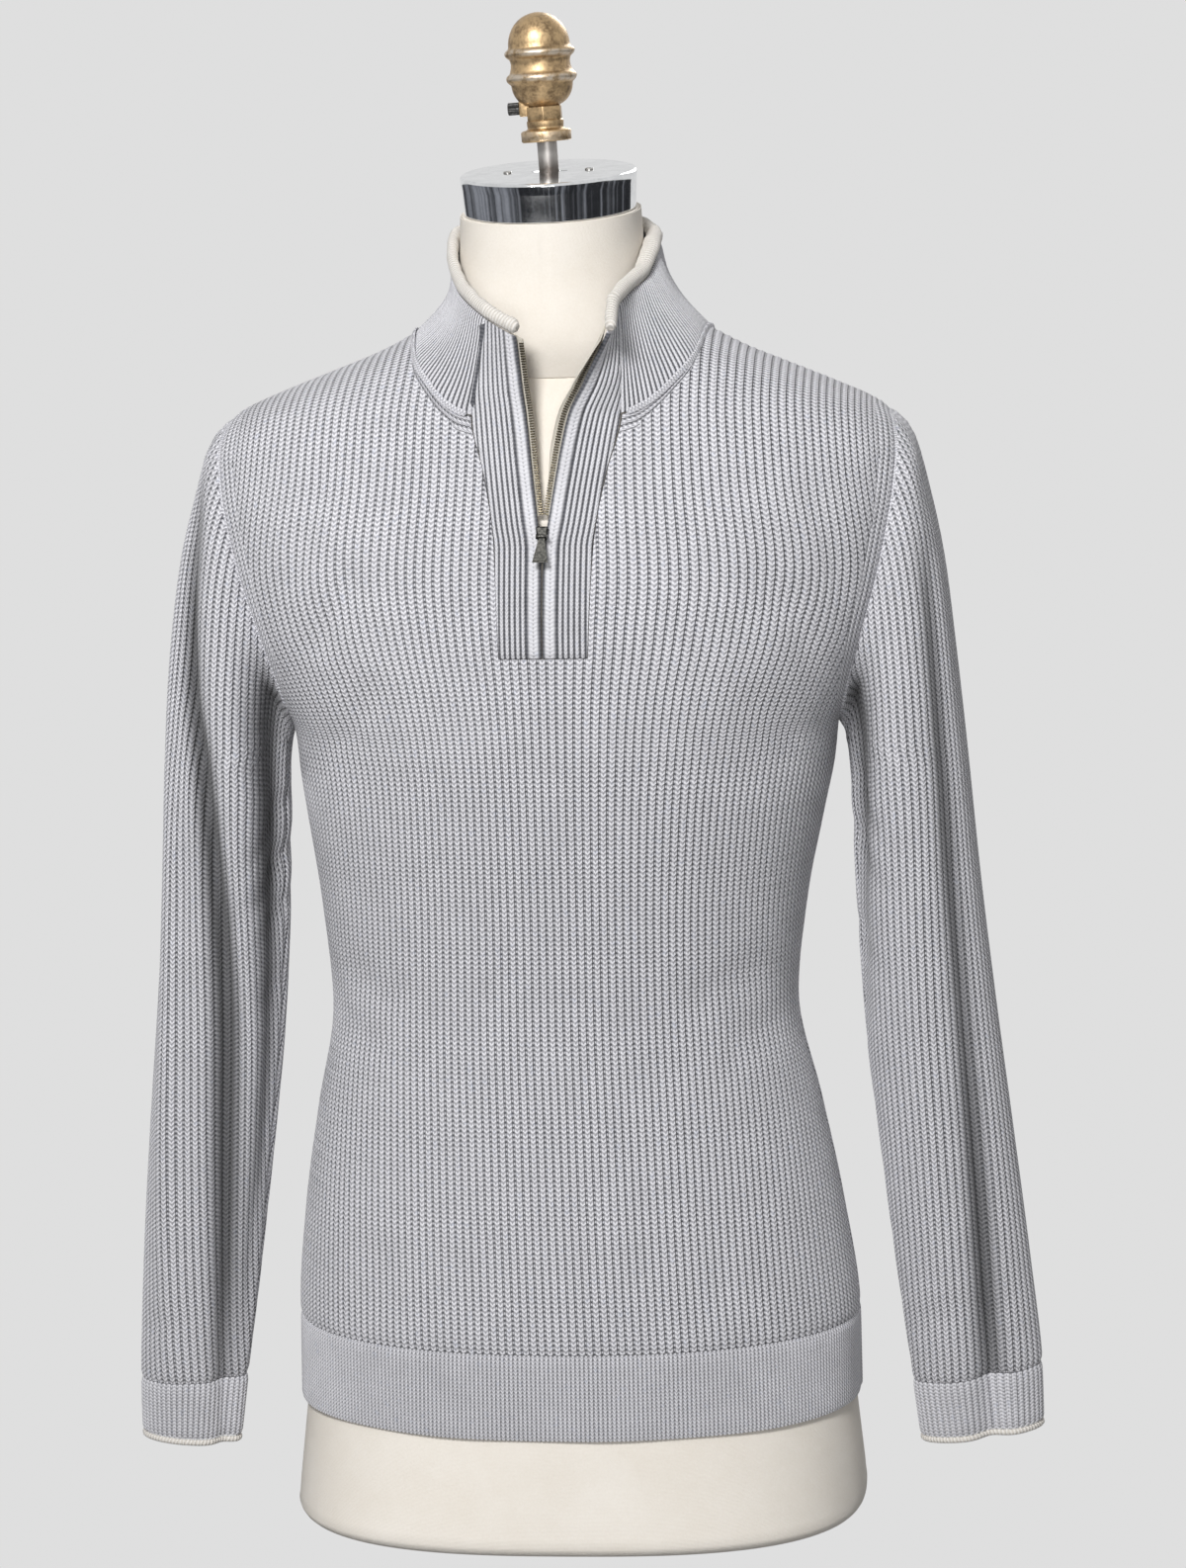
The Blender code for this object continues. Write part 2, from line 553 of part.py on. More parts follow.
# ------------------------------------------------------------------ front and back
def column_fractions(z):
    """Fractions along the front, side seam to side seam, of the valleys and ridges."""
    total = 2 * SIDE_RIBS + SLOT_RIBS
    length = section_length(z)
    slot = 2 * (PLACKET_RIGHT[0]["outer"] + SEAM_GAP) / length
    side = (1.0 - slot) / 2
    spots = [side * k / (2 * SIDE_RIBS) for k in range(2 * SIDE_RIBS)]
    spots += [side + slot * k / (2 * SLOT_RIBS) for k in range(2 * SLOT_RIBS)]
    spots += [1.0 - side + side * k / (2 * SIDE_RIBS) for k in range(2 * SIDE_RIBS + 1)]
    assert len(spots) == 2 * total + 1
    return spots


def section_length(z):
    edge = curve(ARMHOLE_LOW, "z", "x", z)
    points = slice_points(z, True, [k / 60 for k in range(61)], edge)
    return sum((b - a).length for a, b in zip(points, points[1:]))


def lower_rows(front, fractions):
    """Rows of a panel from the hem band to the yoke line."""
    rows = []
    away = -SEAM_GAP / 2 if front else SEAM_GAP / 2
    for z in BODY_LEVELS:
        width = curve(TORSO, "z", "width", z)
        edge = width if z <= UNDERARM_Z else curve(ARMHOLE_LOW, "z", "x", z)
        row = []
        points = slice_points(z, front, fractions, edge)
        for k, point in enumerate(points):
            through = torso_normal(point)
            if k in (0, len(points) - 1):
                if z <= UNDERARM_Z:
                    point = Vector((point.x, away, z))
                    through = Vector((through.x, 0.0, through.z)).normalized()
                if z >= UNDERARM_Z:
                    through = armhole_mitre(point)
            row.append((point, through))
        rows.append(row)
    return rows


def blend_corners(low, high, left, right, u, v):
    """Coons blend of four boundary values."""
    ruled = (1 - v) * low(u) + v * high(u) + (1 - u) * left(v) + u * right(v)
    corners = ((1 - u) * (1 - v) * low(0) + u * (1 - v) * low(1)
               + (1 - u) * v * high(0) + u * v * high(1))
    return ruled - corners


def top_gap(point, below, on_shoulder, on_neck, front):
    """Move a point of a panel's top edge by half the gap into its own panel."""
    moved = point.copy()
    if on_shoulder:
        moved.y += -SEAM_GAP / 2 if front else SEAM_GAP / 2
    if on_neck:
        away = below - point
        if on_shoulder:
            away = Vector((point.x, 0.0, 0.0))
        moved += away.normalized() * (SEAM_GAP / 2)
    return moved


def front_half(side, base):
    """Rows of one front half above the yoke line, placket edge first.

    base holds the x of the columns on the yoke line, placket edge first.
    """
    neck_share = 1.0 - SHOULDER_RIBS / SIDE_RIBS
    top_x = NECKLINE_FRONT[-1]["x"]
    shoulder_x = ARMHOLE_HIGH[-1]["x"]

    def low(u):
        return np.array([np.interp(u * 2 * SIDE_RIBS, range(len(base)), base), 0.0])

    def high(u):
        if u < neck_share:
            t = u / neck_share
            return np.array([curve(NECKLINE_FRONT, "t", "x", t),
                             curve(NECKLINE_FRONT, "t", "angle", t)])
        t = (u - neck_share) / (1.0 - neck_share)
        return np.array([top_x + (shoulder_x - top_x) * t, SHOULDER_SEAM_DEG])

    def placket_edge(v):
        angle = NECKLINE_FRONT[0]["angle"] * v
        x = NECKLINE_FRONT[0]["x"]
        for _ in range(4):
            z = shoulder_point(x, angle, True).z
            x = curve(PLACKET_RIGHT, "z", "outer", z) + SEAM_GAP
        return np.array([x, angle])

    def armhole(v):
        angle = SHOULDER_SEAM_DEG * v
        return np.array([curve(ARMHOLE_HIGH, "angle", "x", angle), angle])

    rows = []
    for r in range(1, YOKE_ROWS + 1):
        v = r / YOKE_ROWS
        row = []
        for k in range(2 * SIDE_RIBS + 1):
            u = k / (2 * SIDE_RIBS)
            x, angle = blend_corners(low, high, placket_edge, armhole, u, v)
            point = shoulder_point(side * x, angle, True)
            through = torso_normal(point)
            if r == YOKE_ROWS:
                on_neck = u < neck_share + 1e-6
                if on_neck:
                    through = neck_mitre(point)
                point = top_gap(point, rows[-1][k][0], u > neck_share - 1e-6, on_neck, True)
            if k == 2 * SIDE_RIBS:
                through = armhole_mitre(point)
            row.append((point, through))
        rows.append(row)
    return rows


def front_panel(finish):
    fractions = column_fractions(YOKE_Z)
    grid = lower_rows(True, fractions)
    yoke = [point.x for point, _ in grid[-1]]
    first_left = 2 * (SIDE_RIBS + SLOT_RIBS)
    left = front_half(1, yoke[first_left:])
    right = front_half(-1, [-x for x in reversed(yoke[:2 * SIDE_RIBS + 1])])
    low = len(grid) - 1
    for right_row, left_row in zip(right, left):
        hole = [(Vector(), Vector())] * (2 * SLOT_RIBS - 1)
        grid.append(right_row[::-1] + hole + left_row)

    def in_slot(row, cell):
        return row >= low and SIDE_RIBS / 2 <= cell < (SIDE_RIBS + SLOT_RIBS) / 2

    return wall("front_panel", grid, finish, WALL, RIB_DEPTH, skip=in_slot)


def back_panel(finish):
    fractions = column_fractions(YOKE_Z)
    grid = lower_rows(False, fractions)
    yoke = [point.x for point, _ in grid[-1]]
    count = len(yoke) - 1
    shoulder = SHOULDER_RIBS * 2 / count
    seam = 180.0 - SHOULDER_SEAM_DEG
    neck_x = NECKLINE_BACK[0]["x"]
    shoulder_x = ARMHOLE_HIGH[-1]["x"]

    def low(u):
        return np.array([np.interp(u * count, range(count + 1), yoke), 0.0])

    def high(u):
        side = -1 if u < 0.5 else 1
        in_from_side = min(u, 1 - u)
        if in_from_side <= shoulder:
            x = shoulder_x + (neck_x - shoulder_x) * in_from_side / shoulder
            return np.array([side * x, seam])
        t = (in_from_side - shoulder) / (0.5 - shoulder)
        return np.array([side * curve(NECKLINE_BACK, "t", "x", t),
                         curve(NECKLINE_BACK, "t", "angle", t)])

    def armhole(side):
        return lambda v: np.array([side * curve(ARMHOLE_HIGH, "angle", "x", seam * v),
                                   seam * v])

    for r in range(1, YOKE_ROWS + 1):
        v = r / YOKE_ROWS
        row = []
        for k in range(count + 1):
            x, angle = blend_corners(low, high, armhole(-1), armhole(1), k / count, v)
            point = shoulder_point(x, angle, False)
            through = torso_normal(point)
            if r == YOKE_ROWS:
                aside = min(k, count - k) / count
                on_neck = aside > shoulder - 1e-6
                if on_neck:
                    through = neck_mitre(point)
                point = top_gap(point, grid[-1][k][0], aside < shoulder + 1e-6, on_neck, False)
            if k in (0, count):
                through = armhole_mitre(point)
            row.append((point, through))
        grid.append(row)
    return wall("back_panel", grid, finish, WALL, RIB_DEPTH)


def hem_band(name, front, finish):
    fractions = [k / (2 * HEM_RIBS) for k in range(2 * HEM_RIBS + 1)]
    away = -SEAM_GAP / 2 if front else SEAM_GAP / 2
    grid = []
    for z in (HEM_Z, HEM_TOP_Z - SEAM_GAP):
        row = []
        for k, point in enumerate(slice_points(z, front, fractions,
                                               curve(TORSO, "z", "width", z))):
            through = torso_normal(point)
            if k in (0, 2 * HEM_RIBS):
                point = Vector((point.x, away, z))
                through = Vector((through.x, 0.0, 0.0)).normalized()
            row.append((point, Vector((through.x, through.y, 0.0)).normalized()))
        grid.append(row)
    return wall(name, grid, finish, BAND_WALL, BAND_RIB_DEPTH)


# ------------------------------------------------------------------ sleeves
def armhole_half(front, share):
    """Armhole seam from the shoulder (share 0) to the underarm (share 1).

    It runs straight between the rows of the panels, so that sleeve and panel meet evenly.
    """
    top = SHOULDER_SEAM_DEG if front else 180.0 - SHOULDER_SEAM_DEG
    line = []
    for r in range(YOKE_ROWS, 0, -1):
        angle = top * r / YOKE_ROWS
        line.append(shoulder_point(curve(ARMHOLE_HIGH, "angle", "x", angle), angle, front))
    for z in reversed([z for z in BODY_LEVELS if z >= UNDERARM_Z]):
        line.append(torso_point(curve(ARMHOLE_LOW, "z", "x", z), z, front))
    line[-1].y = 0.0
    spot = share * (len(line) - 1)
    first = min(int(spot), len(line) - 2)
    return line[first].lerp(line[first + 1], spot - first)


def armhole_through(front, share):
    """Mitre direction that goes with armhole_half, straight between the same rows."""
    rows = SLEEVE_CELLS // 2
    first = min(int(share * rows), rows - 1)
    low, high = (armhole_mitre(armhole_half(front, k / rows)) for k in (first, first + 1))
    return low.lerp(high, share * rows - first)


def oval_share(half_span, half_depth, share):
    """Cosine and sine of the point at this share of half an oval's length."""
    angles = np.linspace(0.0, math.pi, 181)
    speed = np.hypot(half_span * np.sin(angles), half_depth * np.cos(angles))
    lengths = np.concatenate([[0.0], np.cumsum((speed[1:] + speed[:-1]) / 2)])
    angle = float(np.interp(share * lengths[-1], lengths, angles))
    return math.cos(angle), math.sin(angle)


def fold_depth(side, degrees, z):
    sunk = 0.0
    for fold in SLEEVE_FOLDS[side]:
        grown = max(0.0, 1.0 - (z - SLEEVE_END_Z) / (fold["fade_z"] - SLEEVE_END_Z))
        away = (degrees - fold["angle"]) / fold["spread"]
        sunk += fold["depth"] * grown**0.8 * math.exp(-away * away)
    return sunk


def loop_share(k, count):
    """Half of the loop (front first) and fraction down it for the k-th of count points."""
    share = 2.0 * k / count
    return (True, share) if share <= 1.0 else (False, 2.0 - share)


def sleeve_ring(side, row, count):
    """Points of one ring, from the outer edge over the front, the inner edge and the back."""
    top = armhole_half(True, 0.0)
    top.y = 0.0
    bottom = armhole_half(True, 1.0)
    seam_centre = (top + bottom) / 2
    seam_axis = (top - bottom) / 2
    seam_off = Vector((seam_axis.z, 0.0, -seam_axis.x)).normalized()
    edge_out = Vector((row["out_x"], 0.0, row["out_z"]))
    edge_in = Vector((row["in_x"], 0.0, row["in_z"]))
    centre, axis = (edge_out + edge_in) / 2, (edge_out - edge_in) / 2
    off = Vector((axis.z, 0.0, -axis.x)).normalized()
    points = []
    for k in range(count):
        front, share = loop_share(k, count)
        cosine, sine = oval_share(axis.length, row["depth"], share)
        sine = -sine if front else sine
        seam = armhole_half(front, share) - seam_centre
        along = seam.dot(seam_axis) / seam_axis.length_squared
        deep = seam.y / ARMHOLE_DEPTH
        bulge = seam.dot(seam_off)
        oval = row["oval"]
        along += (cosine - along) * oval
        deep += (sine - deep) * oval
        point = centre + axis * along + off * bulge * (1 - oval)
        point.y = row["depth"] * deep
        degrees = math.degrees(math.atan2(-deep, along)) % 360.0
        sunk = fold_depth("left" if side > 0 else "right", degrees, point.z)
        inward = (centre - point).normalized()
        point += inward * sunk
        points.append(Vector((side * point.x, point.y, point.z)))
    return points


def ring_normals(rings):
    """Outward direction at each point of a stack of rings."""
    normals = []
    for j, ring in enumerate(rings):
        before, after = rings[max(j - 1, 0)], rings[min(j + 1, len(rings) - 1)]
        centre = sum(ring, Vector()) / len(ring)
        row = []
        for k, point in enumerate(ring):
            around = ring[(k + 1) % len(ring)] - ring[k - 1]
            normal = around.cross(after[k] - before[k]).normalized()
            if normal.dot(point - centre) < 0.0:
                normal = -normal
            row.append(normal)
        normals.append(row)
    return normals


def sleeve_rings(side, count):
    first = []
    for k in range(count):
        point = armhole_half(*loop_share(k, count))
        first.append(Vector((side * (point.x + SEAM_GAP), point.y, point.z)))
    rows = SLEEVE + SLEEVE_LOWER["left" if side > 0 else "right"][:-1]
    return [first] + [sleeve_ring(side, row, count) for row in rows]


def sleeve(name, side, finish):
    count = SLEEVE_CELLS * STRIDE
    rings = sleeve_rings(side, count)
    normals = ring_normals(rings)
    normals[0] = [armhole_through(*loop_share(k, count)) for k in range(count)]
    normals[-1] = [Vector((n.x, n.y, 0.0)).normalized() for n in normals[-1]]
    grid = [list(zip(ring, row)) for ring, row in zip(rings, normals)]
    return wall(name, grid, finish, WALL, RIB_DEPTH, closed=True)


def cuff_ring(side, count, down):
    """Ring of the cuff, down metres below the sleeve's end along its edges."""
    top, end = SLEEVE_LOWER["left" if side > 0 else "right"][-2:]
    share = down / (top["out_z"] - end["out_z"])
    row = {key: top[key] + (end[key] - top[key]) * share for key in top}
    return sleeve_ring(side, row, count)


def cuff_length(side):
    top, end = SLEEVE_LOWER["left" if side > 0 else "right"][-2:]
    return top["out_z"] - end["out_z"]


def cuff(name, side, finish):
    rings = [cuff_ring(side, 2 * CUFF_RIBS, down)
             for down in (SEAM_GAP, cuff_length(side) - SEAM_GAP)]
    grid = flat_normals(rings)
    return wall(name, grid, finish, BAND_WALL, BAND_RIB_DEPTH, closed=True)


def flat_normals(rings):
    return [[(point, Vector((n.x, n.y, 0.0)).normalized()) for point, n in zip(ring, row)]
            for ring, row in zip(rings, ring_normals(rings))]


def cuff_tipping(name, side, finish):
    """Contrast edge under the cuff."""
    length = cuff_length(side)
    rings = [cuff_ring(side, 2 * CUFF_RIBS, down)
             for down in (length, length + CUFF_TIPPING_HEIGHT)]
    return wall(name, flat_normals(rings), finish, BAND_WALL, 0.0, stride=2, closed=True)


# ------------------------------------------------------------------ placket and collar
def band_rows(side):
    return PLACKET_LEFT if side > 0 else PLACKET_RIGHT


def band_point(side, across, z):
    """Outer face of a placket band, across 0 at the zip and 1 at its outer edge."""
    rows = band_rows(side)
    inner, outer = curve(rows, "z", "inner", z), curve(rows, "z", "outer", z)
    lift_in, lift_out = curve(rows, "z", "lift_in", z), curve(rows, "z", "lift_out", z)
    x = inner + (outer - inner) * across
    chest = torso_point(side * x, z + curve(rows, "z", "rise", z) * across, True)
    return chest + Vector((0.0, -(lift_in + (lift_out - lift_in) * across), 0.0))


def band_normal(side, across, z):
    step = 1e-4
    over = band_point(side, across + step, z) - band_point(side, across - step, z)
    up = band_point(side, across, z + step) - band_point(side, across, z - step)
    normal = over.cross(up).normalized()
    return normal if normal.dot(Vector((side, -1.0, 0.0))) > 0.0 else -normal


def placket_band(name, side, finish):
    """Plain strip beside the zip, then ribs that run on into the collar."""
    strip = PLAIN_STRIP / PLACKET_RIGHT[0]["outer"]
    spots = [strip * k / 3 for k in range(4)]
    spots += [strip + (1.0 - strip) * (k + 1) / (2 * PLACKET_RIBS + 1)
              for k in range(2 * PLACKET_RIBS + 1)]
    grid = []
    for z in PLACKET_LEVELS:
        grid.append([(band_point(side, across, z), band_normal(side, across, z))
                     for across in spots])
    return wall(name, grid, finish, WALL, RIB_DEPTH, plain=lambda column: column in (0, 2))


def neckline():
    """Neckline of both panels, column by column, from the wearer's right corner to the left."""
    front = 2 * (SIDE_RIBS - SHOULDER_RIBS)
    back = 2 * (2 * SIDE_RIBS + SLOT_RIBS - 2 * SHOULDER_RIBS)
    line = []
    for k in range(front):
        t = k / front
        line.append(shoulder_point(-curve(NECKLINE_FRONT, "t", "x", t),
                                   curve(NECKLINE_FRONT, "t", "angle", t), True))
    for k in range(back + 1):
        t = 1.0 - abs(2.0 * k / back - 1.0)
        side = -1 if 2 * k < back else 1
        line.append(shoulder_point(side * curve(NECKLINE_BACK, "t", "x", t),
                                   curve(NECKLINE_BACK, "t", "angle", t), False))
    return line + [Vector((-p.x, p.y, p.z)) for p in reversed(line[:front])]


def collar_seam(share):
    """Point of the neckline and its mitre direction by the fraction of the way round."""
    line = neckline()
    spot = share * (len(line) - 1)
    first = min(int(spot), len(line) - 2)
    low, high = line[first], line[first + 1]
    mitre = neck_mitre(low).lerp(neck_mitre(high), spot - first)
    return low.lerp(high, spot - first), mitre


def collar_rim(share):
    rows = [dict(t=0.0, **end_row(-1))] + COLLAR_RIM + [dict(t=1.0, **end_row(1))]
    return Vector([curve(rows, "t", axis, share) for axis in "xyz"])


def end_row(side):
    """Rim where the collar meets the top of a placket band."""
    point = band_point(side, 1.0, PLACKET_LEVELS[-1])
    return dict(x=point.x, y=point.y, z=point.z)


def collar_point(share, height):
    """Outer face of the collar, height 0 at the neckline and 1 at the rim."""
    low, high = collar_seam(share)[0], collar_rim(share)
    point = low.lerp(high, height)
    around = Vector((low.x + high.x, low.y + high.y, 0.0)).normalized()
    right = math.exp(-((share - HOLLOW_RIGHT_AT) / HOLLOW_RIGHT_SPREAD) ** 2)
    hollow = COLLAR_HOLLOW + COLLAR_HOLLOW_RIGHT * right
    point -= around * hollow * math.sin(math.pi * height)
    near_front = max(0.0, 1.0 - min(share, 1.0 - share) / COLLAR_FRONT_BLEND)
    if near_front > 0.0:
        side = -1 if share < 0.5 else 1
        z = COLLAR_CORNER_Z + (PLACKET_LEVELS[-1] - COLLAR_CORNER_Z) * height
        point = point.lerp(band_point(side, 1.0, z), near_front**2)
    return point


def collar_grid(heights, columns):
    grid = []
    for height in heights:
        row = []
        for k in range(columns + 1):
            share = k / columns
            near, far = max(share - 1e-3, 0.0), min(share + 1e-3, 1.0)
            around = collar_point(far, height) - collar_point(near, height)
            up = collar_point(share, height + 1e-3) - collar_point(share, height - 1e-3)
            normal = around.cross(up).normalized()
            point = collar_point(share, height)
            if normal.dot(Vector((point.x, point.y, 0.0))) < 0.0:
                normal = -normal
            if height == heights[0] and height < 0.1:
                normal = collar_seam(share)[1]
            if k in (0, columns):
                side = -1 if k == 0 else 1
                z = COLLAR_CORNER_Z + (PLACKET_LEVELS[-1] - COLLAR_CORNER_Z) * height
                normal = band_normal(side, 1.0, z)
                inwards = collar_point(0.02 if k == 0 else 0.98, height) - point
                point = point + inwards.normalized() * SEAM_GAP
            row.append((point, normal))
        grid.append(row)
    return grid


def collar(finish):
    heights = [COLLAR_FROM + (COLLAR_TO - COLLAR_FROM) * k / COLLAR_ROWS
               for k in range(COLLAR_ROWS + 1)]
    grid = collar_grid(heights, COLLAR_COLUMNS)
    return wall("collar", grid, finish, COLLAR_WALL, RIB_DEPTH, stride=COLLAR_STRIDE)


def tipping_line():
    """Outer face of the collar's top edge: placket end, rim, placket end."""
    top = PLACKET_LEVELS[-1]
    ends = TIPPING_END_STEPS
    line = [(band_point(-1, across, top), band_normal(-1, across, top)) for across in ends]
    rim = collar_grid([TIPPING_RIM_HEIGHT], COLLAR_COLUMNS)[0]
    line += rim[:12:3] + rim[12:-12:5] + rim[-12::3] + rim[-1:]   # closer near the front
    line += [(band_point(1, across, top), band_normal(1, across, top))
             for across in reversed(ends)]
    return line


def collar_tipping(finish):
    """Rolled contrast edge that follows the collar's rim and both placket ends."""
    line = tipping_line()
    last = len(line) - 1
    rings = []
    for k, (point, normal) in enumerate(line):
        along = line[min(k + 1, last)][0] - line[max(k - 1, 0)][0]
        up = normal.cross(along).normalized()
        if up.z < 0.0:
            up = -up
        left = math.exp(-((k / last - TIPPING_LEFT_AT) / TIPPING_LEFT_SPREAD) ** 2)
        thick = TIPPING_WALL + (TIPPING_WALL_LEFT - TIPPING_WALL) * left
        foot = point + up * SEAM_GAP * 2
        rings.append([foot + up * COLLAR_TIPPING_HEIGHT * high - normal * thick * deep
                      for high, deep in TIPPING_SECTION])
    return stack_rings("collar_tipping", rings, finish)


# ------------------------------------------------------------------ zip
def zip_tape(name, side, finish):
    """Tape behind the open edge of a placket band, with its bead of teeth at the edge."""
    levels = TAPE_LEVELS
    grid = []
    for z in levels:
        width = (band_point(side, 1.0, z) - band_point(side, 0.0, z)).length
        row = []
        for reach in (-TAPE_SHOWS, 0.0, TAPE_WIDTH / 2, TAPE_WIDTH - TAPE_SHOWS):
            across = reach / width
            normal = band_normal(side, max(across, 0.0), z)
            point = band_point(side, across, z) - normal * (WALL + TAPE_GAP)
            row.append((point, normal))
        grid.append(row)
    return wall(name, grid, finish, TAPE_WALL, 0.0, stride=1)


def box_mesh(size, place=(0.0, 0.0, 0.0)):
    shape = bmesh.new()
    bmesh.ops.create_cube(shape, size=1.0)
    bmesh.ops.scale(shape, vec=size, verts=shape.verts)
    bmesh.ops.translate(shape, vec=place, verts=shape.verts)
    return shape


def cylinder_mesh(radius, length, segments, axis, place=(0.0, 0.0, 0.0)):
    shape = bmesh.new()
    bmesh.ops.create_cone(shape, cap_ends=True, segments=segments, radius1=radius,
                          radius2=radius, depth=length)
    turn = {"X": Matrix.Rotation(math.pi / 2, 3, "Y"), "Y": Matrix.Rotation(math.pi / 2, 3, "X"),
            "Z": Matrix.Identity(3)}[axis]
    bmesh.ops.rotate(shape, matrix=turn, verts=shape.verts)
    bmesh.ops.translate(shape, vec=place, verts=shape.verts)
    return shape


def tool(shape, name):
    """A helper solid for Boolean work, kept with the cutters."""
    mesh = bpy.data.meshes.new(name)
    bmesh.ops.recalc_face_normals(shape, faces=shape.faces)
    shape.to_mesh(mesh)
    shape.free()
    made = bpy.data.objects.new(name, mesh)
    made.hide_render = True
    made.display_type = "WIRE"
    CUTTERS.objects.link(made)
    return made


def combine(target, helper, operation):
    change = target.modifiers.new(helper.name, "BOOLEAN")
    change.operation = operation
    change.solver = "EXACT"
    change.object = helper


def chest_frame(z):
    """Place and lean of the closed zip's front at a height."""
    point = torso_point(0.0, z, True)
    above = torso_point(0.0, z + 0.01, True)
    lean = math.atan2(above.y - point.y, 0.01)
    return point + Vector((sway(0.0, z), 0.0, 0.0)), lean


def slider_parts(finish):
    """Slider body with two ears and a pin, and the pull tab that hangs on the pin."""
    point, lean = chest_frame(HINGE_Z)
    front = point.y - SLIDER_OFF_CHEST
    hinge = Vector((point.x, front - SLIDER_THICK - BARREL_RADIUS - BARREL_OFF, HINGE_Z))
    turn = Matrix.Rotation(-lean, 4, "X")
    place = Matrix.Translation(hinge) @ turn

    back = BARREL_RADIUS + BARREL_OFF
    body_mid = back + SLIDER_THICK / 2
    body_z = SLIDER_Z - HINGE_Z
    shape = box_mesh((SLIDER_WIDTH, SLIDER_THICK, SLIDER_HEIGHT), (0.0, body_mid, body_z))
    for vert in shape.verts:
        if vert.co.z < body_z:
            vert.co.x *= SLIDER_TAPER
    slider = finish_mesh("zip_slider", shape, finish)
    slider.matrix_world = place
    bevel = slider.modifiers.new("edges", "BEVEL")
    bevel.width = SLIDER_BEVEL
    bevel.limit_method = "ANGLE"
    ear_x = TAB_TOP_WIDTH / 2 + EAR_OUT
    for name, side in (("ear_right", -1), ("ear_left", 1)):
        ear = tool(cylinder_mesh(EAR_RADIUS, EAR_THICK, 12, "X", (side * ear_x, 0.0, 0.0)), name)
        ear.matrix_world = place
        combine(slider, ear, "UNION")
        reach = back + EAR_FOOT["depth"]
        foot = tool(box_mesh((EAR_THICK, reach, EAR_FOOT["height"]),
                             (side * ear_x, reach / 2, 0.0)), name + "_foot")
        foot.matrix_world = place
        combine(slider, foot, "UNION")
    pin = tool(cylinder_mesh(PIN_RADIUS, 2 * ear_x, 12, "X"), "hinge_pin")
    pin.matrix_world = place
    combine(slider, pin, "UNION")

    half_top, half_low = TAB_TOP_WIDTH / 2, TAB_WIDTH / 2
    shift = TAB_LENGTH * math.tan(math.radians(TAB_LEAN_DEG))
    shape = cylinder_mesh(BARREL_RADIUS, TAB_TOP_WIDTH - TAB_BARREL_PLAY, 16, "X")
    tab = finish_mesh("zip_pull_tab", shape, finish)
    tab.matrix_world = place
    plate = box_mesh((1.0, TAB_THICK, TAB_LENGTH),
                     (0.0, 0.0, -TAB_LENGTH / 2 - TAB_SHOULDER))
    for vert in plate.verts:
        low = vert.co.z < -TAB_LENGTH / 2
        reach = half_low if low else half_top - TAB_TOP_TAPER
        vert.co.x = math.copysign(reach, vert.co.x)
        if low:
            vert.co.x -= shift
    combine(tab, placed(tool(plate, "tab_plate"), place), "UNION")
    lip = box_mesh((TAB_WIDTH * TAB_LIP["width"], TAB_THICK + TAB_LIP["extra"],
                    TAB_LIP["height"]),
                   (-shift * TAB_LIP["down"], -TAB_LIP["out"], -TAB_LENGTH + TAB_LIP["up"]))
    combine(tab, placed(tool(lip, "tab_lip"), place), "UNION")
    bore = tool(cylinder_mesh(BARREL_BORE, TAB_TOP_WIDTH, 16, "X"), "tab_bore")
    combine(tab, placed(bore, place), "DIFFERENCE")
    return slider, tab


def placed(made, matrix):
    made.matrix_world = matrix
    return made


def finish_mesh(name, shape, finish):
    mesh = bpy.data.meshes.new(name)
    shape.to_mesh(mesh)
    shape.free()
    return adopt(name, mesh, finish)


# ------------------------------------------------------------------ form
def stack_rings(name, rings, finish):
    """Closed solid through a stack of rings, with flat ends."""
    count = len(rings[0])
    points = [point for ring in rings for point in ring]
    faces = [list(range(count))[::-1]]
    for j in range(len(rings) - 1):
        for k in range(count):
            a, b = j * count + k, j * count + (k + 1) % count
            faces.append((a, b, b + count, a + count))
    faces.append([(len(rings) - 1) * count + k for k in range(count)])
    return make_object(name, points, faces, finish)


def oval_ring(z, width, front, back, count, inset=0.0, squareness=SQUARENESS):
    ring = []
    for k in range(count):
        angle = 2 * math.pi * k / count
        c, s = math.cos(angle), math.sin(angle)
        power = 2 / squareness
        x = (width - inset) * math.copysign(abs(c) ** power, c)
        depth = (front if s < 0 else back) - inset
        ring.append(Vector((x, depth * math.copysign(abs(s) ** power, s), z)))
    return ring


def covered_ring(z):
    """Ring of the form under the cloth, a clearance inside the cloth's inner face."""
    width = curve(TORSO, "z", "width", z)
    away = WALL + curve(FORM_CLEARANCE, "z", "gap", z)
    ring = []
    for point in oval_ring(z, width, torso_depth(z, True), torso_depth(z, False), FORM_POINTS):
        point = point - torso_normal(point) * away
        point.x = max(-ARM_PLATE_X, min(ARM_PLATE_X, point.x))
        ring.append(point)
    return ring


def form_body(finish):
    rings = []
    base = [FORM_BASE[key] for key in ("width", "front", "back")]
    for angle in map(math.radians, FORM_BASE_STEPS_DEG):
        inset = FORM_BASE_RADIUS * (1 - math.sin(angle))
        rings.append(oval_ring(FORM_BASE_RADIUS * (1 - math.cos(angle)), *base, FORM_POINTS,
                               inset, FORM_BASE_SQUARENESS))
    rings += [covered_ring(z) for z in FORM_LEVELS]
    cap_turn = cap_matrix().to_3x3()
    for step, row in enumerate(NECK):
        ring = oval_ring(row["z"], row["width"], row["front"], row["back"], FORM_POINTS)
        turned = (step + 1) / len(NECK)
        centre = Vector((CAP_CENTRE[0] * turned, 0.0, row["z"]))
        new = []
        for point in ring:
            arm = point - Vector((0.0, 0.0, row["z"]))
            tilted = cap_turn @ arm
            new.append(centre + arm.lerp(tilted, turned))
        rings.append(new)
    return stack_rings("form_body", rings, finish)


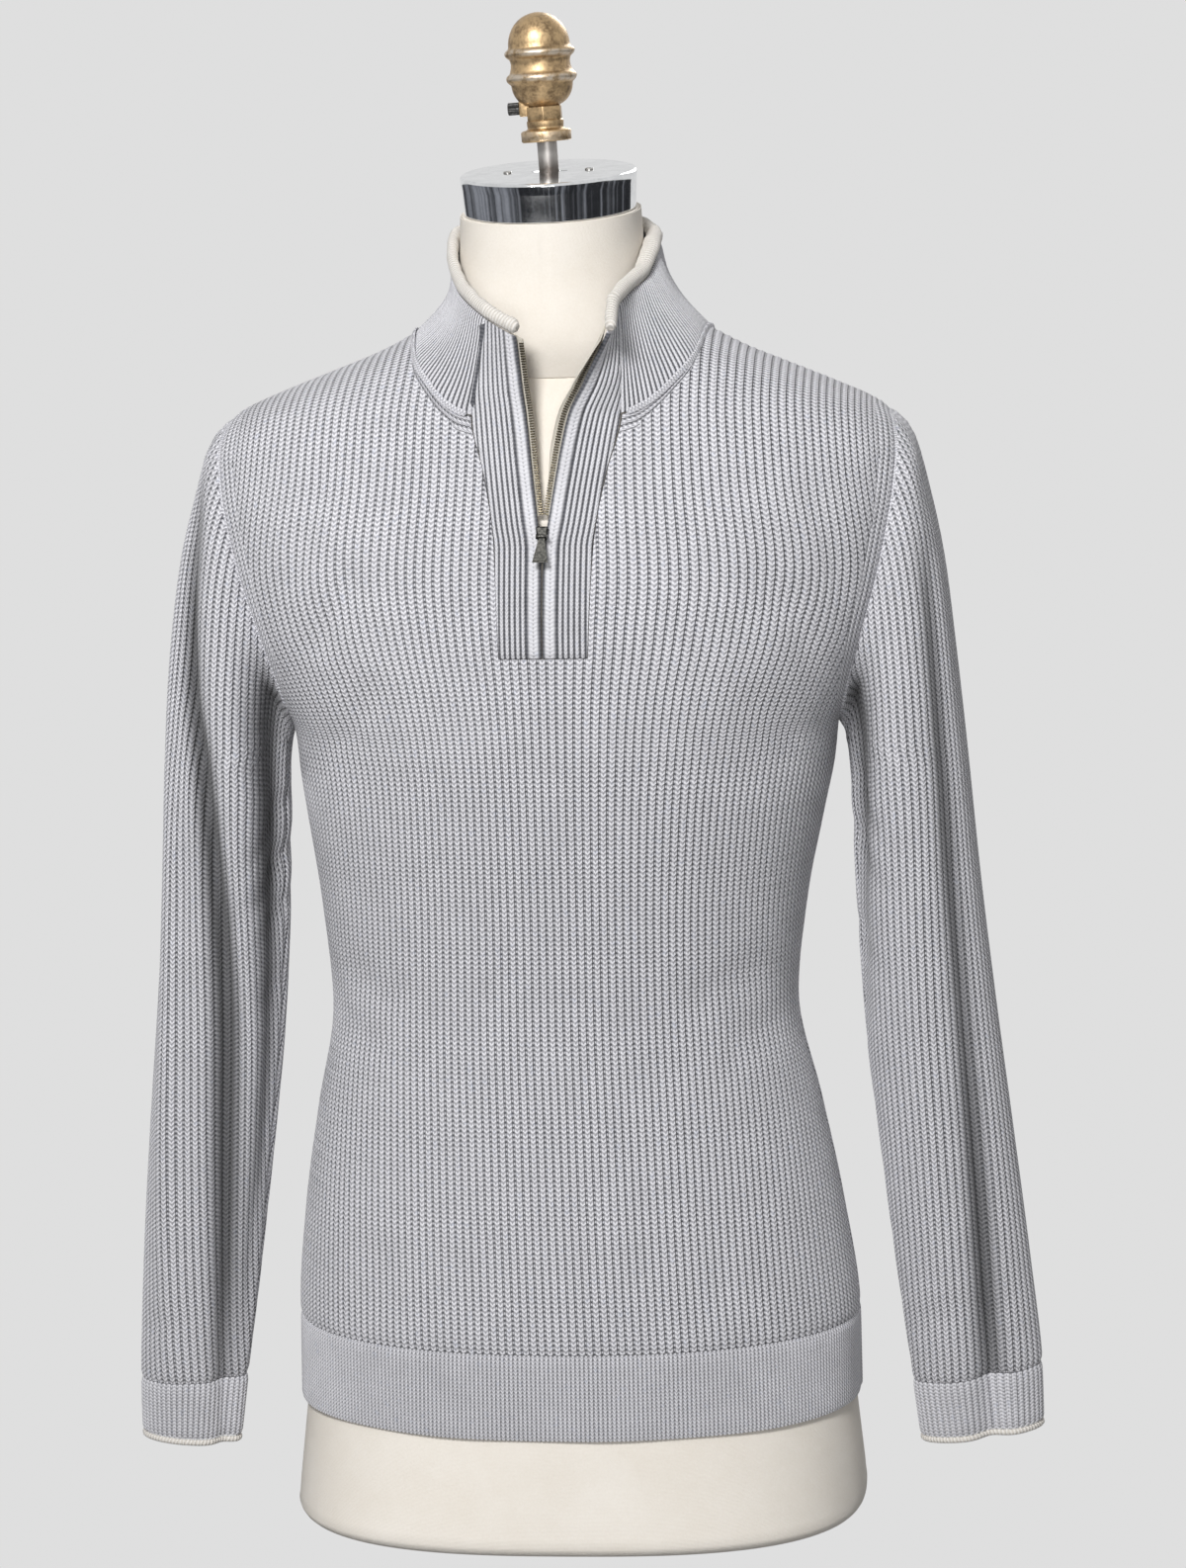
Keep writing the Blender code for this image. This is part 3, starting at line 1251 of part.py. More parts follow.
def cap_matrix():
    """Placement of the neck cap: nods forwards and leans to the wearer's right."""
    turn = (Matrix.Rotation(math.radians(CAP_LEAN_DEG), 4, "Y")
            @ Matrix.Rotation(math.radians(CAP_NOD_DEG), 4, "X"))
    return Matrix.Translation(CAP_CENTRE) @ turn


def turned_solid(name, profile, top_z, segments, finish):
    """Solid of revolution about Z from radius and height rows, closed at both ends."""
    mesh = bpy.data.meshes.new(name)
    rows = [(0.0, 0.0, top_z)] + [(row["r"], 0.0, row["z"]) for row in reversed(profile)]
    rows.append((0.0, 0.0, profile[0]["z"]))
    edges = [(k, k + 1) for k in range(len(rows) - 1)]
    mesh.from_pydata(rows, edges, [])
    mesh.materials.append(finish)
    made = bpy.data.objects.new(name, mesh)
    COLLECTION.objects.link(made)
    made.parent = ROOT
    spin = made.modifiers.new("turned", "SCREW")
    spin.steps = segments
    spin.render_steps = segments
    spin.use_merge_vertices = True
    spin.merge_threshold = 0.0001
    spin.use_smooth_shade = True
    return made


def neck_cap(finish, screw_finish):
    place = cap_matrix()
    edge = CAP_EDGE
    profile = [dict(z=0.0, r=CAP_FOOT_RADIUS - CAP_FOOT_EDGE),
               dict(z=CAP_FOOT_EDGE, r=CAP_FOOT_RADIUS),
               dict(z=CAP_HEIGHT - edge, r=CAP_RADIUS),
               dict(z=CAP_HEIGHT - edge * 0.3, r=CAP_RADIUS - edge * 0.3),
               dict(z=CAP_HEIGHT, r=CAP_RADIUS - edge)]
    cap = turned_solid("neck_cap", profile, CAP_HEIGHT, 40, finish)
    cap.matrix_world = place
    hole = tool(cylinder_mesh(ROD_RADIUS + SEAT_GAP, CAP_HOLE_DEPTH, 20, "Z",
                              (0.0, 0.0, CAP_HOLE_DEPTH / 2)), "rod_hole")
    hole.matrix_world = rod_matrix(ROD_BOTTOM_Z - SEAT_GAP)
    combine(cap, hole, "DIFFERENCE")
    for name, side in (("cap_screw_right", -1), ("cap_screw_left", 1)):
        middle = CAP_HEIGHT + CAP_SCREW_HEAD / 2 + SEAT_GAP
        shape = cylinder_mesh(CAP_SCREW_RADIUS, CAP_SCREW_HEAD, 12, "Z",
                              (side * CAP_SCREW_OUT, 0.0, middle))
        screw = finish_mesh(name, shape, screw_finish)
        screw.matrix_world = place


def rod_matrix(z):
    """Frame on the leaning axis of rod and finial at a height."""
    lean = math.radians(FINIAL_LEAN_DEG)
    x = CAP_CENTRE[0] + math.tan(lean) * (z - CAP_CENTRE[2] - CAP_HEIGHT)
    return (Matrix.Translation((x, CAP_CENTRE[1] - CAP_HEIGHT * math.sin(math.radians(CAP_NOD_DEG)),
                                z)) @ Matrix.Rotation(lean, 4, "Y"))


def finial(brass, steel, iron):
    foot = rod_matrix(FINIAL_BASE_Z)
    body = turned_solid("finial", FINIAL_PROFILE, FINIAL_TOP_Z, FINIAL_SEGMENTS, brass)
    body.matrix_world = foot
    boss = tool(box_mesh((BOSS_OUT, BOSS_WIDTH, BOSS_HEIGHT), (-BOSS_OUT / 2, 0.0, BOSS_Z)),
                "boss")
    combine(body, placed(boss, foot), "UNION")
    socket = tool(cylinder_mesh(ROD_RADIUS + SEAT_GAP, 2 * SOCKET_DEPTH, 20, "Z"),
                  "rod_socket")
    combine(body, placed(socket, foot), "DIFFERENCE")

    low = rod_matrix(ROD_BOTTOM_Z)
    length = FINIAL_BASE_Z + SOCKET_DEPTH - SEAT_GAP - ROD_BOTTOM_Z
    rod = finish_mesh("rod", cylinder_mesh(ROD_RADIUS, length, 20, "Z",
                                           (0.0, 0.0, length / 2)), steel)
    rod.matrix_world = low

    place = foot @ Matrix.Translation((-BOSS_OUT - SEAT_GAP - SCREW_HEAD_LENGTH / 2, 0.0, BOSS_Z))
    head = finish_mesh("thumb_screw", cylinder_mesh(SCREW_HEAD_RADIUS, SCREW_HEAD_LENGTH, 18,
                                                    "X"), iron)
    head.matrix_world = place
    bevel = head.modifiers.new("edges", "BEVEL")
    bevel.width = SCREW_BEVEL
    bevel.limit_method = "ANGLE"


# ------------------------------------------------------------------ build
for old in list(bpy.data.objects):
    bpy.data.objects.remove(old)
COLLECTION = bpy.data.collections.new(NAME)
CUTTERS = bpy.data.collections.new("cutters")
bpy.context.scene.collection.children.link(COLLECTION)
bpy.context.scene.collection.children.link(CUTTERS)
ROOT = bpy.data.objects.new("sweater_root", None)
COLLECTION.objects.link(ROOT)


def build():
    knit = material("knit", 0.0, 0.9)
    ecru = material("tipping", 0.0, 0.9)
    gunmetal = material("gunmetal", 0.85, 0.35)
    front_panel(knit)
    back_panel(knit)
    hem_band("hem_front", True, knit)
    hem_band("hem_back", False, knit)
    for word, side in (("right", -1), ("left", 1)):
        sleeve("sleeve_" + word, side, knit)
        cuff("cuff_" + word, side, knit)
        cuff_tipping("cuff_tipping_" + word, side, ecru)
        placket_band("placket_" + word, side, knit)
    collar(knit)
    collar_tipping(ecru)
    tape = material("tape", 0.0, 0.8)
    zip_tape("zip_tape_right", -1, tape)
    zip_tape("zip_tape_left", 1, tape)
    slider_parts(gunmetal)
    form_body(material("canvas", 0.0, 0.85))
    steel = material("steel", 0.9, 0.4)
    neck_cap(material("chrome", 1.0, 0.06), steel)
    finial(material("brass", 0.9, 0.35), steel, material("iron", 0.7, 0.4))


build()
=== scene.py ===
import math

import bmesh
import bpy
import numpy as np
from mathutils import Matrix, Vector


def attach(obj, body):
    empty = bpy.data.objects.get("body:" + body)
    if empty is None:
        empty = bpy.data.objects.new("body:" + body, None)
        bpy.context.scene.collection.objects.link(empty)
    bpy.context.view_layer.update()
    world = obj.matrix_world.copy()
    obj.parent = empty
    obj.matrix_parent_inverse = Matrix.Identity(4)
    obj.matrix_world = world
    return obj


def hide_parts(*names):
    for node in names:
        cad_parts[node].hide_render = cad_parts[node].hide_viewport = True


# A ribbed quarter zip sweater on a limbless dress form, in metres, +Z up, front to -Y.
# The wearer's right is -X. Every cloth piece is a thin ribbed shell on the form of its solid.
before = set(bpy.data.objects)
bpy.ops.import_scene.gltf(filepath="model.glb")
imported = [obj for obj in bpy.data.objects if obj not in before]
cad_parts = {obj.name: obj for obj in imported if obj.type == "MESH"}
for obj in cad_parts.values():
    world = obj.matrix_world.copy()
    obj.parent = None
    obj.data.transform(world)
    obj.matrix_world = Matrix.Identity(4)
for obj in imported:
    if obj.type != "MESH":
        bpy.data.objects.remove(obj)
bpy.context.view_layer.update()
sweaterBody = "sweater"


# Smooth value of a column at key == at, with no overshoot between the rows.
def smoothCurve(rows, key, column):
    xs = np.array([row[key] for row in rows], dtype=float)
    ys = np.array([row[column] for row in rows], dtype=float)
    steps = np.diff(ys) / np.diff(xs)
    slopes = np.zeros(len(xs))
    slopes[0], slopes[-1] = steps[0], steps[-1]
    for k in range(1, len(steps)):
        if steps[k - 1] * steps[k] > 0.0:
            slopes[k] = 2.0 * steps[k - 1] * steps[k] / (steps[k - 1] + steps[k])

    def value(at):
        at = np.clip(np.asarray(at, dtype=float), xs[0], xs[-1])
        i = np.clip(np.searchsorted(xs, at, side="right") - 1, 0, len(xs) - 2)
        width = xs[i + 1] - xs[i]
        t = (at - xs[i]) / width
        low, high = slopes[i] * width, slopes[i + 1] * width
        return ((2 * t**3 - 3 * t**2 + 1) * ys[i] + (t**3 - 2 * t**2 + t) * low
                + (3 * t**2 - 2 * t**3) * ys[i + 1] + (t**3 - t**2) * high)

    return value


def unit(vectors):
    return vectors / np.maximum(np.linalg.norm(vectors, axis=-1, keepdims=True), 1e-12)


# Rows of a table, each a dictionary by the names of its columns.
def table(columns, *rows):
    return [dict(zip(columns.split(), row)) for row in rows]


def curvesOf(rows, key):
    return {column: smoothCurve(rows, key, column) for column in rows[0] if column != key}


# 0 below low and 1 above high, with a soft step between.
def smoothStep(value, low, high):
    t = np.clip((value - low) / (high - low), 0.0, 1.0)
    return t * t * (3.0 - 2.0 * t)


# Running length along a line, along each row of a grid and along each column of it.
def lineArcs(line):
    return np.concatenate([[0.0], np.cumsum(np.linalg.norm(np.diff(line, axis=0), axis=-1))])


def rowArcs(grid):
    steps = np.linalg.norm(np.diff(grid, axis=1), axis=-1)
    return np.concatenate([np.zeros((len(grid), 1)), np.cumsum(steps, axis=1)], axis=1)


def columnArcs(grid):
    return rowArcs(grid.swapaxes(0, 1)).T


# Points of a line at given lengths along it.
def pointsAt(spots, lengths, line):
    return np.stack([np.interp(spots, lengths, line[:, k]) for k in range(3)], axis=-1)


def closedRing(grid):
    return np.concatenate([grid, grid[:, :1]], axis=1)


# shape of the body, by height
squareness = 2.2         # exponent of the horizontal sections
underarmZ = 0.512
yokeZ = 0.572            # bottom of the placket
hemZ, hemTopZ = 0.071, 0.127
collarCornerZ = 0.720    # where collar, placket and front meet
shoulderSeamDeg = 95.0   # over-the-shoulder angle of the seam, 90 is the ridge
shoulderIn, shoulderOut = 0.0945, 0.2088     # x of the shoulder seam's ends
placketCorner = {"x": 0.0466, "angle": 42.0}
torso = table("z width front back",
    (0.000, 0.1862, 0.1200, 0.1240), (0.040, 0.1858, 0.1195, 0.1240),
    (0.071, 0.1846, 0.1185, 0.1235), (0.127, 0.1842, 0.1165, 0.1240),
    (0.200, 0.1761, 0.1120, 0.1190), (0.265, 0.1645, 0.1080, 0.1060),
    (0.335, 0.1513, 0.1060, 0.0930), (0.400, 0.1572, 0.1100, 0.0980),
    (0.460, 0.1672, 0.1170, 0.1090), (0.490, 0.1723, 0.1200, 0.1140),
    (0.512, 0.1745, 0.1220, 0.1170), (0.530, 0.1810, 0.1230, 0.1185),
    (0.550, 0.1900, 0.1238, 0.1200), (0.572, 0.2013, 0.1240, 0.1210),
    (0.610, 0.2170, 0.1220, 0.1215), (0.650, 0.2290, 0.1150, 0.1180),
    (0.670, 0.2320, 0.1090, 0.1130), (0.690, 0.2295, 0.1025, 0.1060),
    (0.7048, 0.2197, 0.0980, 0.1010), (0.7173, 0.2041, 0.0945, 0.0965),
    (0.7298, 0.1773, 0.0905, 0.0920), (0.7423, 0.1458, 0.0860, 0.0875),
    (0.7548, 0.1150, 0.0810, 0.0825), (0.7674, 0.0924, 0.0755, 0.0770),
    (0.7800, 0.0790, 0.0700, 0.0720), (0.8000, 0.0690, 0.0640, 0.0660))
ridgeNeck = dict(x=0.0924, z=0.7674, slope=0.557)   # inwards of x the ridge is straight
swayRows = table("z edge middle",
    (0.127, 0.0000, 0.0000), (0.200, -0.0022, -0.0022), (0.265, -0.0036, -0.0036),
    (0.335, -0.0048, -0.0048), (0.400, -0.0038, -0.0042), (0.460, -0.0016, -0.0040),
    (0.505, 0.0000, -0.0040), (0.580, 0.0000, -0.0042), (0.647, 0.0000, -0.0028),
    (0.716, 0.0000, -0.0015), (0.750, 0.0024, 0.0000), (0.765, 0.0032, 0.0000),
    (0.785, 0.0012, 0.0000), (0.800, 0.0000, 0.0000))
swayReach = 0.120
armholeLow = table("z x",
    (0.512, 0.1745), (0.530, 0.1778), (0.550, 0.1825), (0.572, 0.1885))
armholeHigh = table("angle x",
    (0.0, 0.1885), (15.0, 0.1990), (30.0, 0.2063), (45.0, 0.2108), (60.0, 0.2125),
    (75.0, 0.2108), (85.0, 0.2088), (95.0, 0.2088))
necklineFront = table("t x angle",
    (0.00, 0.0466, 42.0), (0.12, 0.0570, 44.5), (0.34, 0.0745, 53.5), (0.63, 0.0885, 68.0),
    (1.00, 0.0945, 95.0))
necklineBack = table("t x angle",
    (0.00, 0.0945, 85.0), (0.12, 0.0880, 76.0), (0.30, 0.0745, 65.0), (0.55, 0.0480, 55.2),
    (0.80, 0.0215, 49.0), (1.00, 0.0000, 45.5))
torsoWidth, torsoFront, torsoBack = curvesOf(torso, "z").values()
swayEdge, swayMiddle = curvesOf(swayRows, "z").values()
armholeLowX = smoothCurve(armholeLow, "z", "x")
armholeHighX = smoothCurve(armholeHigh, "angle", "x")


# Point of the sweater's outer face at a given x and height.
def torsoPoint(x, z, front):
    x, z = np.broadcast_arrays(np.asarray(x, dtype=float), np.asarray(z, dtype=float))
    reach = np.maximum(0.0, 1.0 - (np.abs(x) / torsoWidth(z)) ** squareness)
    depth = np.where(front, torsoFront(z), torsoBack(z)) * reach ** (1.0 / squareness)
    return np.stack([x, np.where(front, -depth, depth), z], axis=-1)


# The garment hangs a little off its middle line.
def swayed(points):
    edge, middle = swayEdge(points[..., 2]), swayMiddle(points[..., 2])
    moved = points.copy()
    moved[..., 0] += middle + (edge - middle) * smoothStep(np.abs(points[..., 0]), 0, swayReach)
    return moved


ridgeZs = np.linspace(0.690, ridgeNeck["z"], 600)
ridgeWidths = torsoWidth(ridgeZs)


# Height of the shoulder ridge: where the torso is just as wide as x.
def ridgeHeight(x):
    x = np.abs(x)
    steep = np.interp(-x, -ridgeWidths, ridgeZs)
    return np.where(x <= ridgeNeck["x"],
                    ridgeNeck["z"] + (ridgeNeck["x"] - x) * ridgeNeck["slope"], steep)


# Point above the yoke line by x and over-the-shoulder angle, 90 degrees at the ridge.
def shoulderPoint(x, angle, front):
    x, angle = np.broadcast_arrays(np.asarray(x, dtype=float), np.asarray(angle, dtype=float))
    over = angle > 90.0
    facing = np.where(over, np.logical_not(front), front)
    angle = np.where(over, 180.0 - angle, angle)
    ridge = ridgeHeight(x)
    z = ridge - (ridge - yokeZ) * (1.0 - np.sin(np.radians(angle)))
    return torsoPoint(x, z, facing)


# Points of one horizontal section at fractions of its length, and their arc from the middle.
def slicePoints(z, front, fractions, edgeX):
    width = float(torsoWidth(z))
    start = math.acos(min(1.0, (edgeX / width) ** (squareness / 2)))
    angles = np.linspace(start, math.pi - start, 801)
    cosine = np.cos(angles)
    xs = -width * np.sign(cosine) * np.abs(cosine) ** (2 / squareness)
    fine = torsoPoint(xs, z, front)
    lengths = lineArcs(fine)
    spots = np.asarray(fractions) * lengths[-1]
    return torsoPoint(np.interp(spots, lengths, xs), z, front), spots - lengths[-1] / 2


# cloth meshes
# Outward direction at each point of a grid of rows and columns.
def gridNormals(grid, closed, middle):
    across = np.empty_like(grid)
    across[:, 1:-1] = grid[:, 2:] - grid[:, :-2]
    if closed:
        across[:, 0] = grid[:, 1] - grid[:, -1]
        across[:, -1] = grid[:, 0] - grid[:, -2]
    else:
        across[:, 0] = grid[:, 1] - grid[:, 0]
        across[:, -1] = grid[:, -1] - grid[:, -2]
    along = np.empty_like(grid)
    along[1:-1] = grid[2:] - grid[:-2]
    along[0], along[-1] = grid[1] - grid[0], grid[-1] - grid[-2]
    normals = unit(np.cross(across, along))
    away = grid - middle(grid)
    return np.where(np.sum(normals * away, axis=-1, keepdims=True) < 0.0, -normals, normals)


def bodyMiddle(grid):
    middle = np.zeros_like(grid)
    middle[..., 2] = grid[..., 2]
    return middle


def ringMiddle(grid):
    return np.broadcast_to(grid.mean(axis=1, keepdims=True), grid.shape)


# Cloth shell between a fine outer grid and an inner grid with every stride-th column.
# ribs and rows are the pattern's coordinates at the outer points; a closed grid has one
# more column of them. kept(row, coarse column) may leave cells out. border holds a second
# pair of coordinates and the mask of the fine cells that use it.
def clothShell(name, outer, inner, ribs, rows, stride, closed=False, kept=None, border=None,
               shade=None):
    rowCount, columns = outer.shape[:2]
    cells = columns // stride if closed else (columns - 1) // stride
    innerColumns = inner.shape[1]
    points = np.concatenate([outer.reshape(-1, 3), inner.reshape(-1, 3)])
    first = rowCount * columns
    faces, corners = [], []
    patterns = [(ribs, rows)] + ([border[:2]] if border else [])

    def outerAt(row, column):
        return row * columns + column % columns

    def innerAt(row, cell):
        return first + row * innerColumns + cell % innerColumns

    def isKept(row, cell):
        if closed:
            cell %= cells
        return 0 <= row < rowCount - 1 and 0 <= cell < cells and (kept is None or kept(row, cell))

    def add(items, pattern=0):
        faces.append([item[0] for item in items])
        corners.extend((pattern, item[1], item[2]) for item in items)

    def out(row, column):
        return outerAt(row, column), row, column

    def inside(row, cell):
        return innerAt(row, cell), row, cell * stride

    half = stride // 2
    for row in range(rowCount - 1):
        for cell in range(cells):
            if not isKept(row, cell):
                continue
            start = cell * stride
            for column in range(start, start + stride):
                add([out(row, column), out(row, column + 1), out(row + 1, column + 1),
                     out(row + 1, column)], 1 if border and border[2][row, column] else 0)
            add([inside(row, cell), inside(row + 1, cell), inside(row + 1, cell + 1),
                 inside(row, cell + 1)])
            for edgeRow, outside in ((row, row - 1), (row + 1, row + 1)):
                if isKept(outside, cell):
                    continue
                near, far = inside(edgeRow, cell), inside(edgeRow, cell + 1)
                line = [out(edgeRow, start + k) for k in range(stride + 1)]
                strip = [[near, line[k], line[k + 1]] for k in range(half)]
                strip.append([near, line[half], far])
                strip += [[far, line[k], line[k + 1]] for k in range(half, stride)]
                for face in strip:
                    add(face)
            sides = ((cell - 1, start, cell), (cell + 1, start + stride, cell + 1))
            for beside, column, edge in sides:
                if not isKept(row, beside):
                    add([out(row, column), out(row + 1, column), inside(row + 1, edge),
                         inside(row, edge)])
    mesh = bpy.data.meshes.new(name)
    mesh.from_pydata(points.tolist(), [], faces)
    layer = mesh.uv_layers.new(name="knit")
    flat = np.array([(patterns[k][0][row, column], patterns[k][1][row, column])
                     for k, row, column in corners])
    layer.data.foreach_set("uv", flat.astype(np.float32).ravel())
    if shade is not None:      # how deep in a fold each corner lies, for the painted shade that darkens the folds
        layer = mesh.uv_layers.new(name="fold")
        flat = np.array([(shade[row, column], 0.0) for _, row, column in corners])
        layer.data.foreach_set("uv", flat.astype(np.float32).ravel())
    return finishMesh(name, mesh)


clothSharp = math.radians(55.0)


# One closed mesh with its faces pointing out, smooth but for its sharp edges.
def finishMesh(name, mesh):
    shape = bmesh.new()
    shape.from_mesh(mesh)
    loose = [vert for vert in shape.verts if not vert.link_faces]
    bmesh.ops.delete(shape, geom=loose, context="VERTS")
    bmesh.ops.recalc_face_normals(shape, faces=shape.faces)
    shape.to_mesh(mesh)
    shape.free()
    mesh.name = name
    mesh.polygons.foreach_set("use_smooth", [True] * len(mesh.polygons))
    mesh.set_sharp_from_angle(angle=clothSharp)
    made = bpy.data.objects.new(name, mesh)
    bpy.context.scene.collection.objects.link(made)
    return made


stride = 4               # fine outer columns to each inner one


# Swayed cloth between a grid moved out by its relief and in by its wall.
def swayedShell(name, grid, normals, relief, wall, ribs, rows, every=stride):
    outer = swayed(grid + normals * np.asarray(relief)[..., None])
    inner = swayed((grid - normals * np.asarray(wall)[..., None])[:, ::every])
    return clothShell(name, outer, inner, ribs, rows, every)


# How far a rib's surface lies under its ridge; whole numbers of ribs are the valleys. It
# fades where the ribs cross the grid's columns too fast for its rows.
def ribRelief(ribs, depth):
    step = np.abs(np.diff(ribs, axis=0))
    step = np.maximum(np.concatenate([step[:1], step]), np.concatenate([step, step[-1:]]))
    fade = np.clip((0.42 - step) / 0.24, 0.0, 1.0)
    return -depth * fade * (0.5 + 0.5 * np.cos(2 * np.pi * ribs)) ** 1.5


def settle(made, slot, finish, *nodes):
    made.data.materials.clear()
    made.data.materials.append(finish)
    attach(made, sweaterBody)
    if nodes:
        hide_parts(*nodes)
    return made


def gridArea(grid, closed=False):
    if closed:
        grid = closedRing(grid)
    a, b = grid[1:, 1:] - grid[:-1, :-1], grid[1:, :-1] - grid[:-1, 1:]
    return float(np.linalg.norm(np.cross(a, b), axis=-1).sum() / 2)


# Declares a cloth piece: its cut is as long and wide as the grid at its longest and widest.
def declareCloth(made, grid, closed=False, area=None):
    width = float(rowArcs(closedRing(grid) if closed else grid)[:, -1].max())
    length = float(columnArcs(grid)[-1].max())
    area = min(area or gridArea(grid, closed), width * length)
    print(f"{made.name}: cut {width:.3f} x {length:.3f} m, {area:.4f} square metres")


# ribs and stitches of the body
knitBody = {"wall": 0.0028, "ribDepth": 0.00065, "columnsPerSlot": 56, "columnsPerSide": 196,
            "rowStep": 0.0085, "stitchRow": 0.0031, "easeLow": 0.470, "easeHigh": 0.610,
            "sideDip": (0.0013, 0.0026), "lowDip": (0.0010, 0.0024), "topDip": (0.0012, 0.0026),
            "borderPitch": 0.0042, "borderReach": 0.0126, "borderDepth": 0.0008,
            "slotDip": (0.0011, 0.0022), "holeReach": 0.005, "calmAt": 0.021, "calmReach": 0.010}
ribPitch = table("z pitch",
    (0.127, 0.0051), (0.300, 0.0049), (0.400, 0.0048), (0.470, 0.0049), (0.517, 0.0051),
    (0.550, 0.0054), (0.580, 0.0058), (0.620, 0.0061), (0.680, 0.0058), (0.750, 0.0056))
pitchAt = smoothCurve(ribPitch, "z", "pitch")
straightZ, straightX = 0.600, 0.2125   # above this height the ribs stay upright
straightLine, straightArcs = slicePoints(straightZ, True, np.linspace(0, 1, 401), straightX)
straightXs = straightLine[:, 0]

# Soft creases of the body: x and z where the trough starts, x and z where it
# ends, how deep it is and how wide. Front and back have their own.
frontCreases = [
    (-0.165, 0.560, -0.118, 0.640, 0.0030, 0.010),
    (-0.178, 0.600, -0.140, 0.700, 0.0022, 0.009), (0.166, 0.556, 0.122, 0.628, 0.0030, 0.010),
    (0.182, 0.590, 0.150, 0.690, 0.0020, 0.008), (-0.150, 0.505, -0.108, 0.560, 0.0016, 0.010),
    (0.152, 0.500, 0.112, 0.548, 0.0017, 0.011), (-0.140, 0.372, -0.086, 0.350, 0.0016, 0.010),
    (-0.146, 0.338, -0.100, 0.318, 0.0012, 0.008), (0.142, 0.366, 0.078, 0.340, 0.0018, 0.011),
    (0.150, 0.330, 0.104, 0.306, 0.0013, 0.009), (-0.060, 0.140, -0.052, 0.215, 0.0012, 0.012),
    (0.096, 0.135, 0.088, 0.235, 0.0014, 0.013), (-0.128, 0.140, -0.120, 0.200, 0.0011, 0.012),
]
backCreases = [
    (-0.150, 0.560, -0.090, 0.620, 0.0024, 0.011), (0.158, 0.548, 0.100, 0.622, 0.0028, 0.012),
    (-0.130, 0.392, -0.040, 0.360, 0.0022, 0.011), (0.136, 0.380, 0.030, 0.344, 0.0026, 0.012),
    (-0.126, 0.330, -0.058, 0.300, 0.0017, 0.009), (0.120, 0.322, 0.052, 0.300, 0.0014, 0.010),
    (-0.070, 0.140, -0.082, 0.240, 0.0015, 0.014), (0.060, 0.138, 0.074, 0.222, 0.0013, 0.012),
]


creaseBow, creaseFlat, creaseFade = 0.006, 0.22, 0.035


# Sum of the troughs at points (across, along); each fades out at both ends of its line.
def creaseSink(creases, across, along):
    sunk = np.zeros_like(across)
    for x1, z1, x2, z2, depth, width in creases:
        length = math.hypot(x2 - x1, z2 - z1)
        ux, uz = (x2 - x1) / length, (z2 - z1) / length
        t = ((across - x1) * ux + (along - z1) * uz) / length
        off = (across - x1) * uz - (along - z1) * ux
        bow = creaseBow * np.sin(np.pi * np.clip(t, 0, 1))
        fade = np.exp(-np.maximum(0.0, np.abs(t - 0.5) - creaseFlat) ** 2 / creaseFade)
        sunk += depth * fade * np.exp(-((off - bow) / width) ** 2)
    return sunk


# Rib number at each point of a panel: arc from the middle over the pitch at its height.
def panelRibs(grid, lowerArcs):
    z = grid[..., 2]
    upright = np.interp(grid[..., 0], straightXs, straightArcs)
    sectionArcs = np.concatenate([lowerArcs, upright[len(lowerArcs):]])
    ease = smoothStep(z, knitBody["easeLow"], knitBody["easeHigh"])
    return (sectionArcs * (1 - ease) + upright * ease) / pitchAt(z) + 0.5


mitreZ = 0.615           # the armholes' middle height


# Through the wall at an armhole: the direction in which panel and sleeve meet.
def armholeMitre(points):
    return unit(points * np.array([0.0, 1.0, 1.0]) - np.array([0.0, 0.0, mitreZ]))


# Heights from low to high, closer together near both ends.
def seamedSteps(low, high, step, ends=(0.0012, 0.0030, 0.0055)):
    count = max(2, int(round((high - low - 2 * ends[-1]) / step)))
    middle = np.linspace(low + ends[-1], high - ends[-1], count + 1)
    return np.concatenate([[low], [low + e for e in ends[:-1]], middle,
                           [high - e for e in reversed(ends[:-1])], [high]])


# Blend of four boundary lines, each (parameter) -> array (..., 2).
def coonsPatch(low, high, left, right, us, vs):
    u, v = us[None, :, None], vs[:, None, None]
    lowLine, highLine = low(us)[None], high(us)[None]
    leftLine, rightLine = left(vs)[:, None], right(vs)[:, None]
    ruled = (1 - v) * lowLine + v * highLine + (1 - u) * leftLine + u * rightLine
    corners = ((1 - u) * (1 - v) * lowLine[:, :1] + u * (1 - v) * lowLine[:, -1:]
               + (1 - u) * v * highLine[:, :1] + u * v * highLine[:, -1:])
    return ruled - corners


def pair(x, angle):
    x, angle = np.broadcast_arrays(x, angle)
    return np.stack([x, angle], axis=-1)


placketColumns = "z inner outer liftIn liftOut rise"
placketFoot = table(placketColumns,
    (0.5724, 0.0004, 0.0273, 0.0010, 0.0010, 0.0),
    (0.6400, 0.0008, 0.0303, 0.0010, 0.0010, 0.0),
    (0.6540, 0.0030, 0.0318, 0.0015, 0.0010, 0.0))
placketRight = placketFoot + table(placketColumns,
    (0.6850, 0.0072, 0.0378, 0.0040, 0.0010, 0.0),
    (0.7200, 0.0117, 0.0463, 0.0090, 0.0010, 0.0),
    (0.7360, 0.0150, 0.0450, 0.0145, 0.0055, 0.002),
    (0.7520, 0.0172, 0.0425, 0.0215, 0.0140, 0.0055),
    (0.7685, 0.0190, 0.0390, 0.0310, 0.0275, 0.0102))
placketLeft = placketFoot + table(placketColumns,
    (0.6850, 0.0080, 0.0378, 0.0045, 0.0010, 0.0),
    (0.7200, 0.0157, 0.0463, 0.0120, 0.0010, 0.0),
    (0.7360, 0.0236, 0.0460, 0.0175, 0.0070, 0.004),
    (0.7520, 0.0322, 0.0455, 0.0280, 0.0175, 0.0095),
    (0.7685, 0.0405, 0.0450, 0.0400, 0.0300, 0.0165))
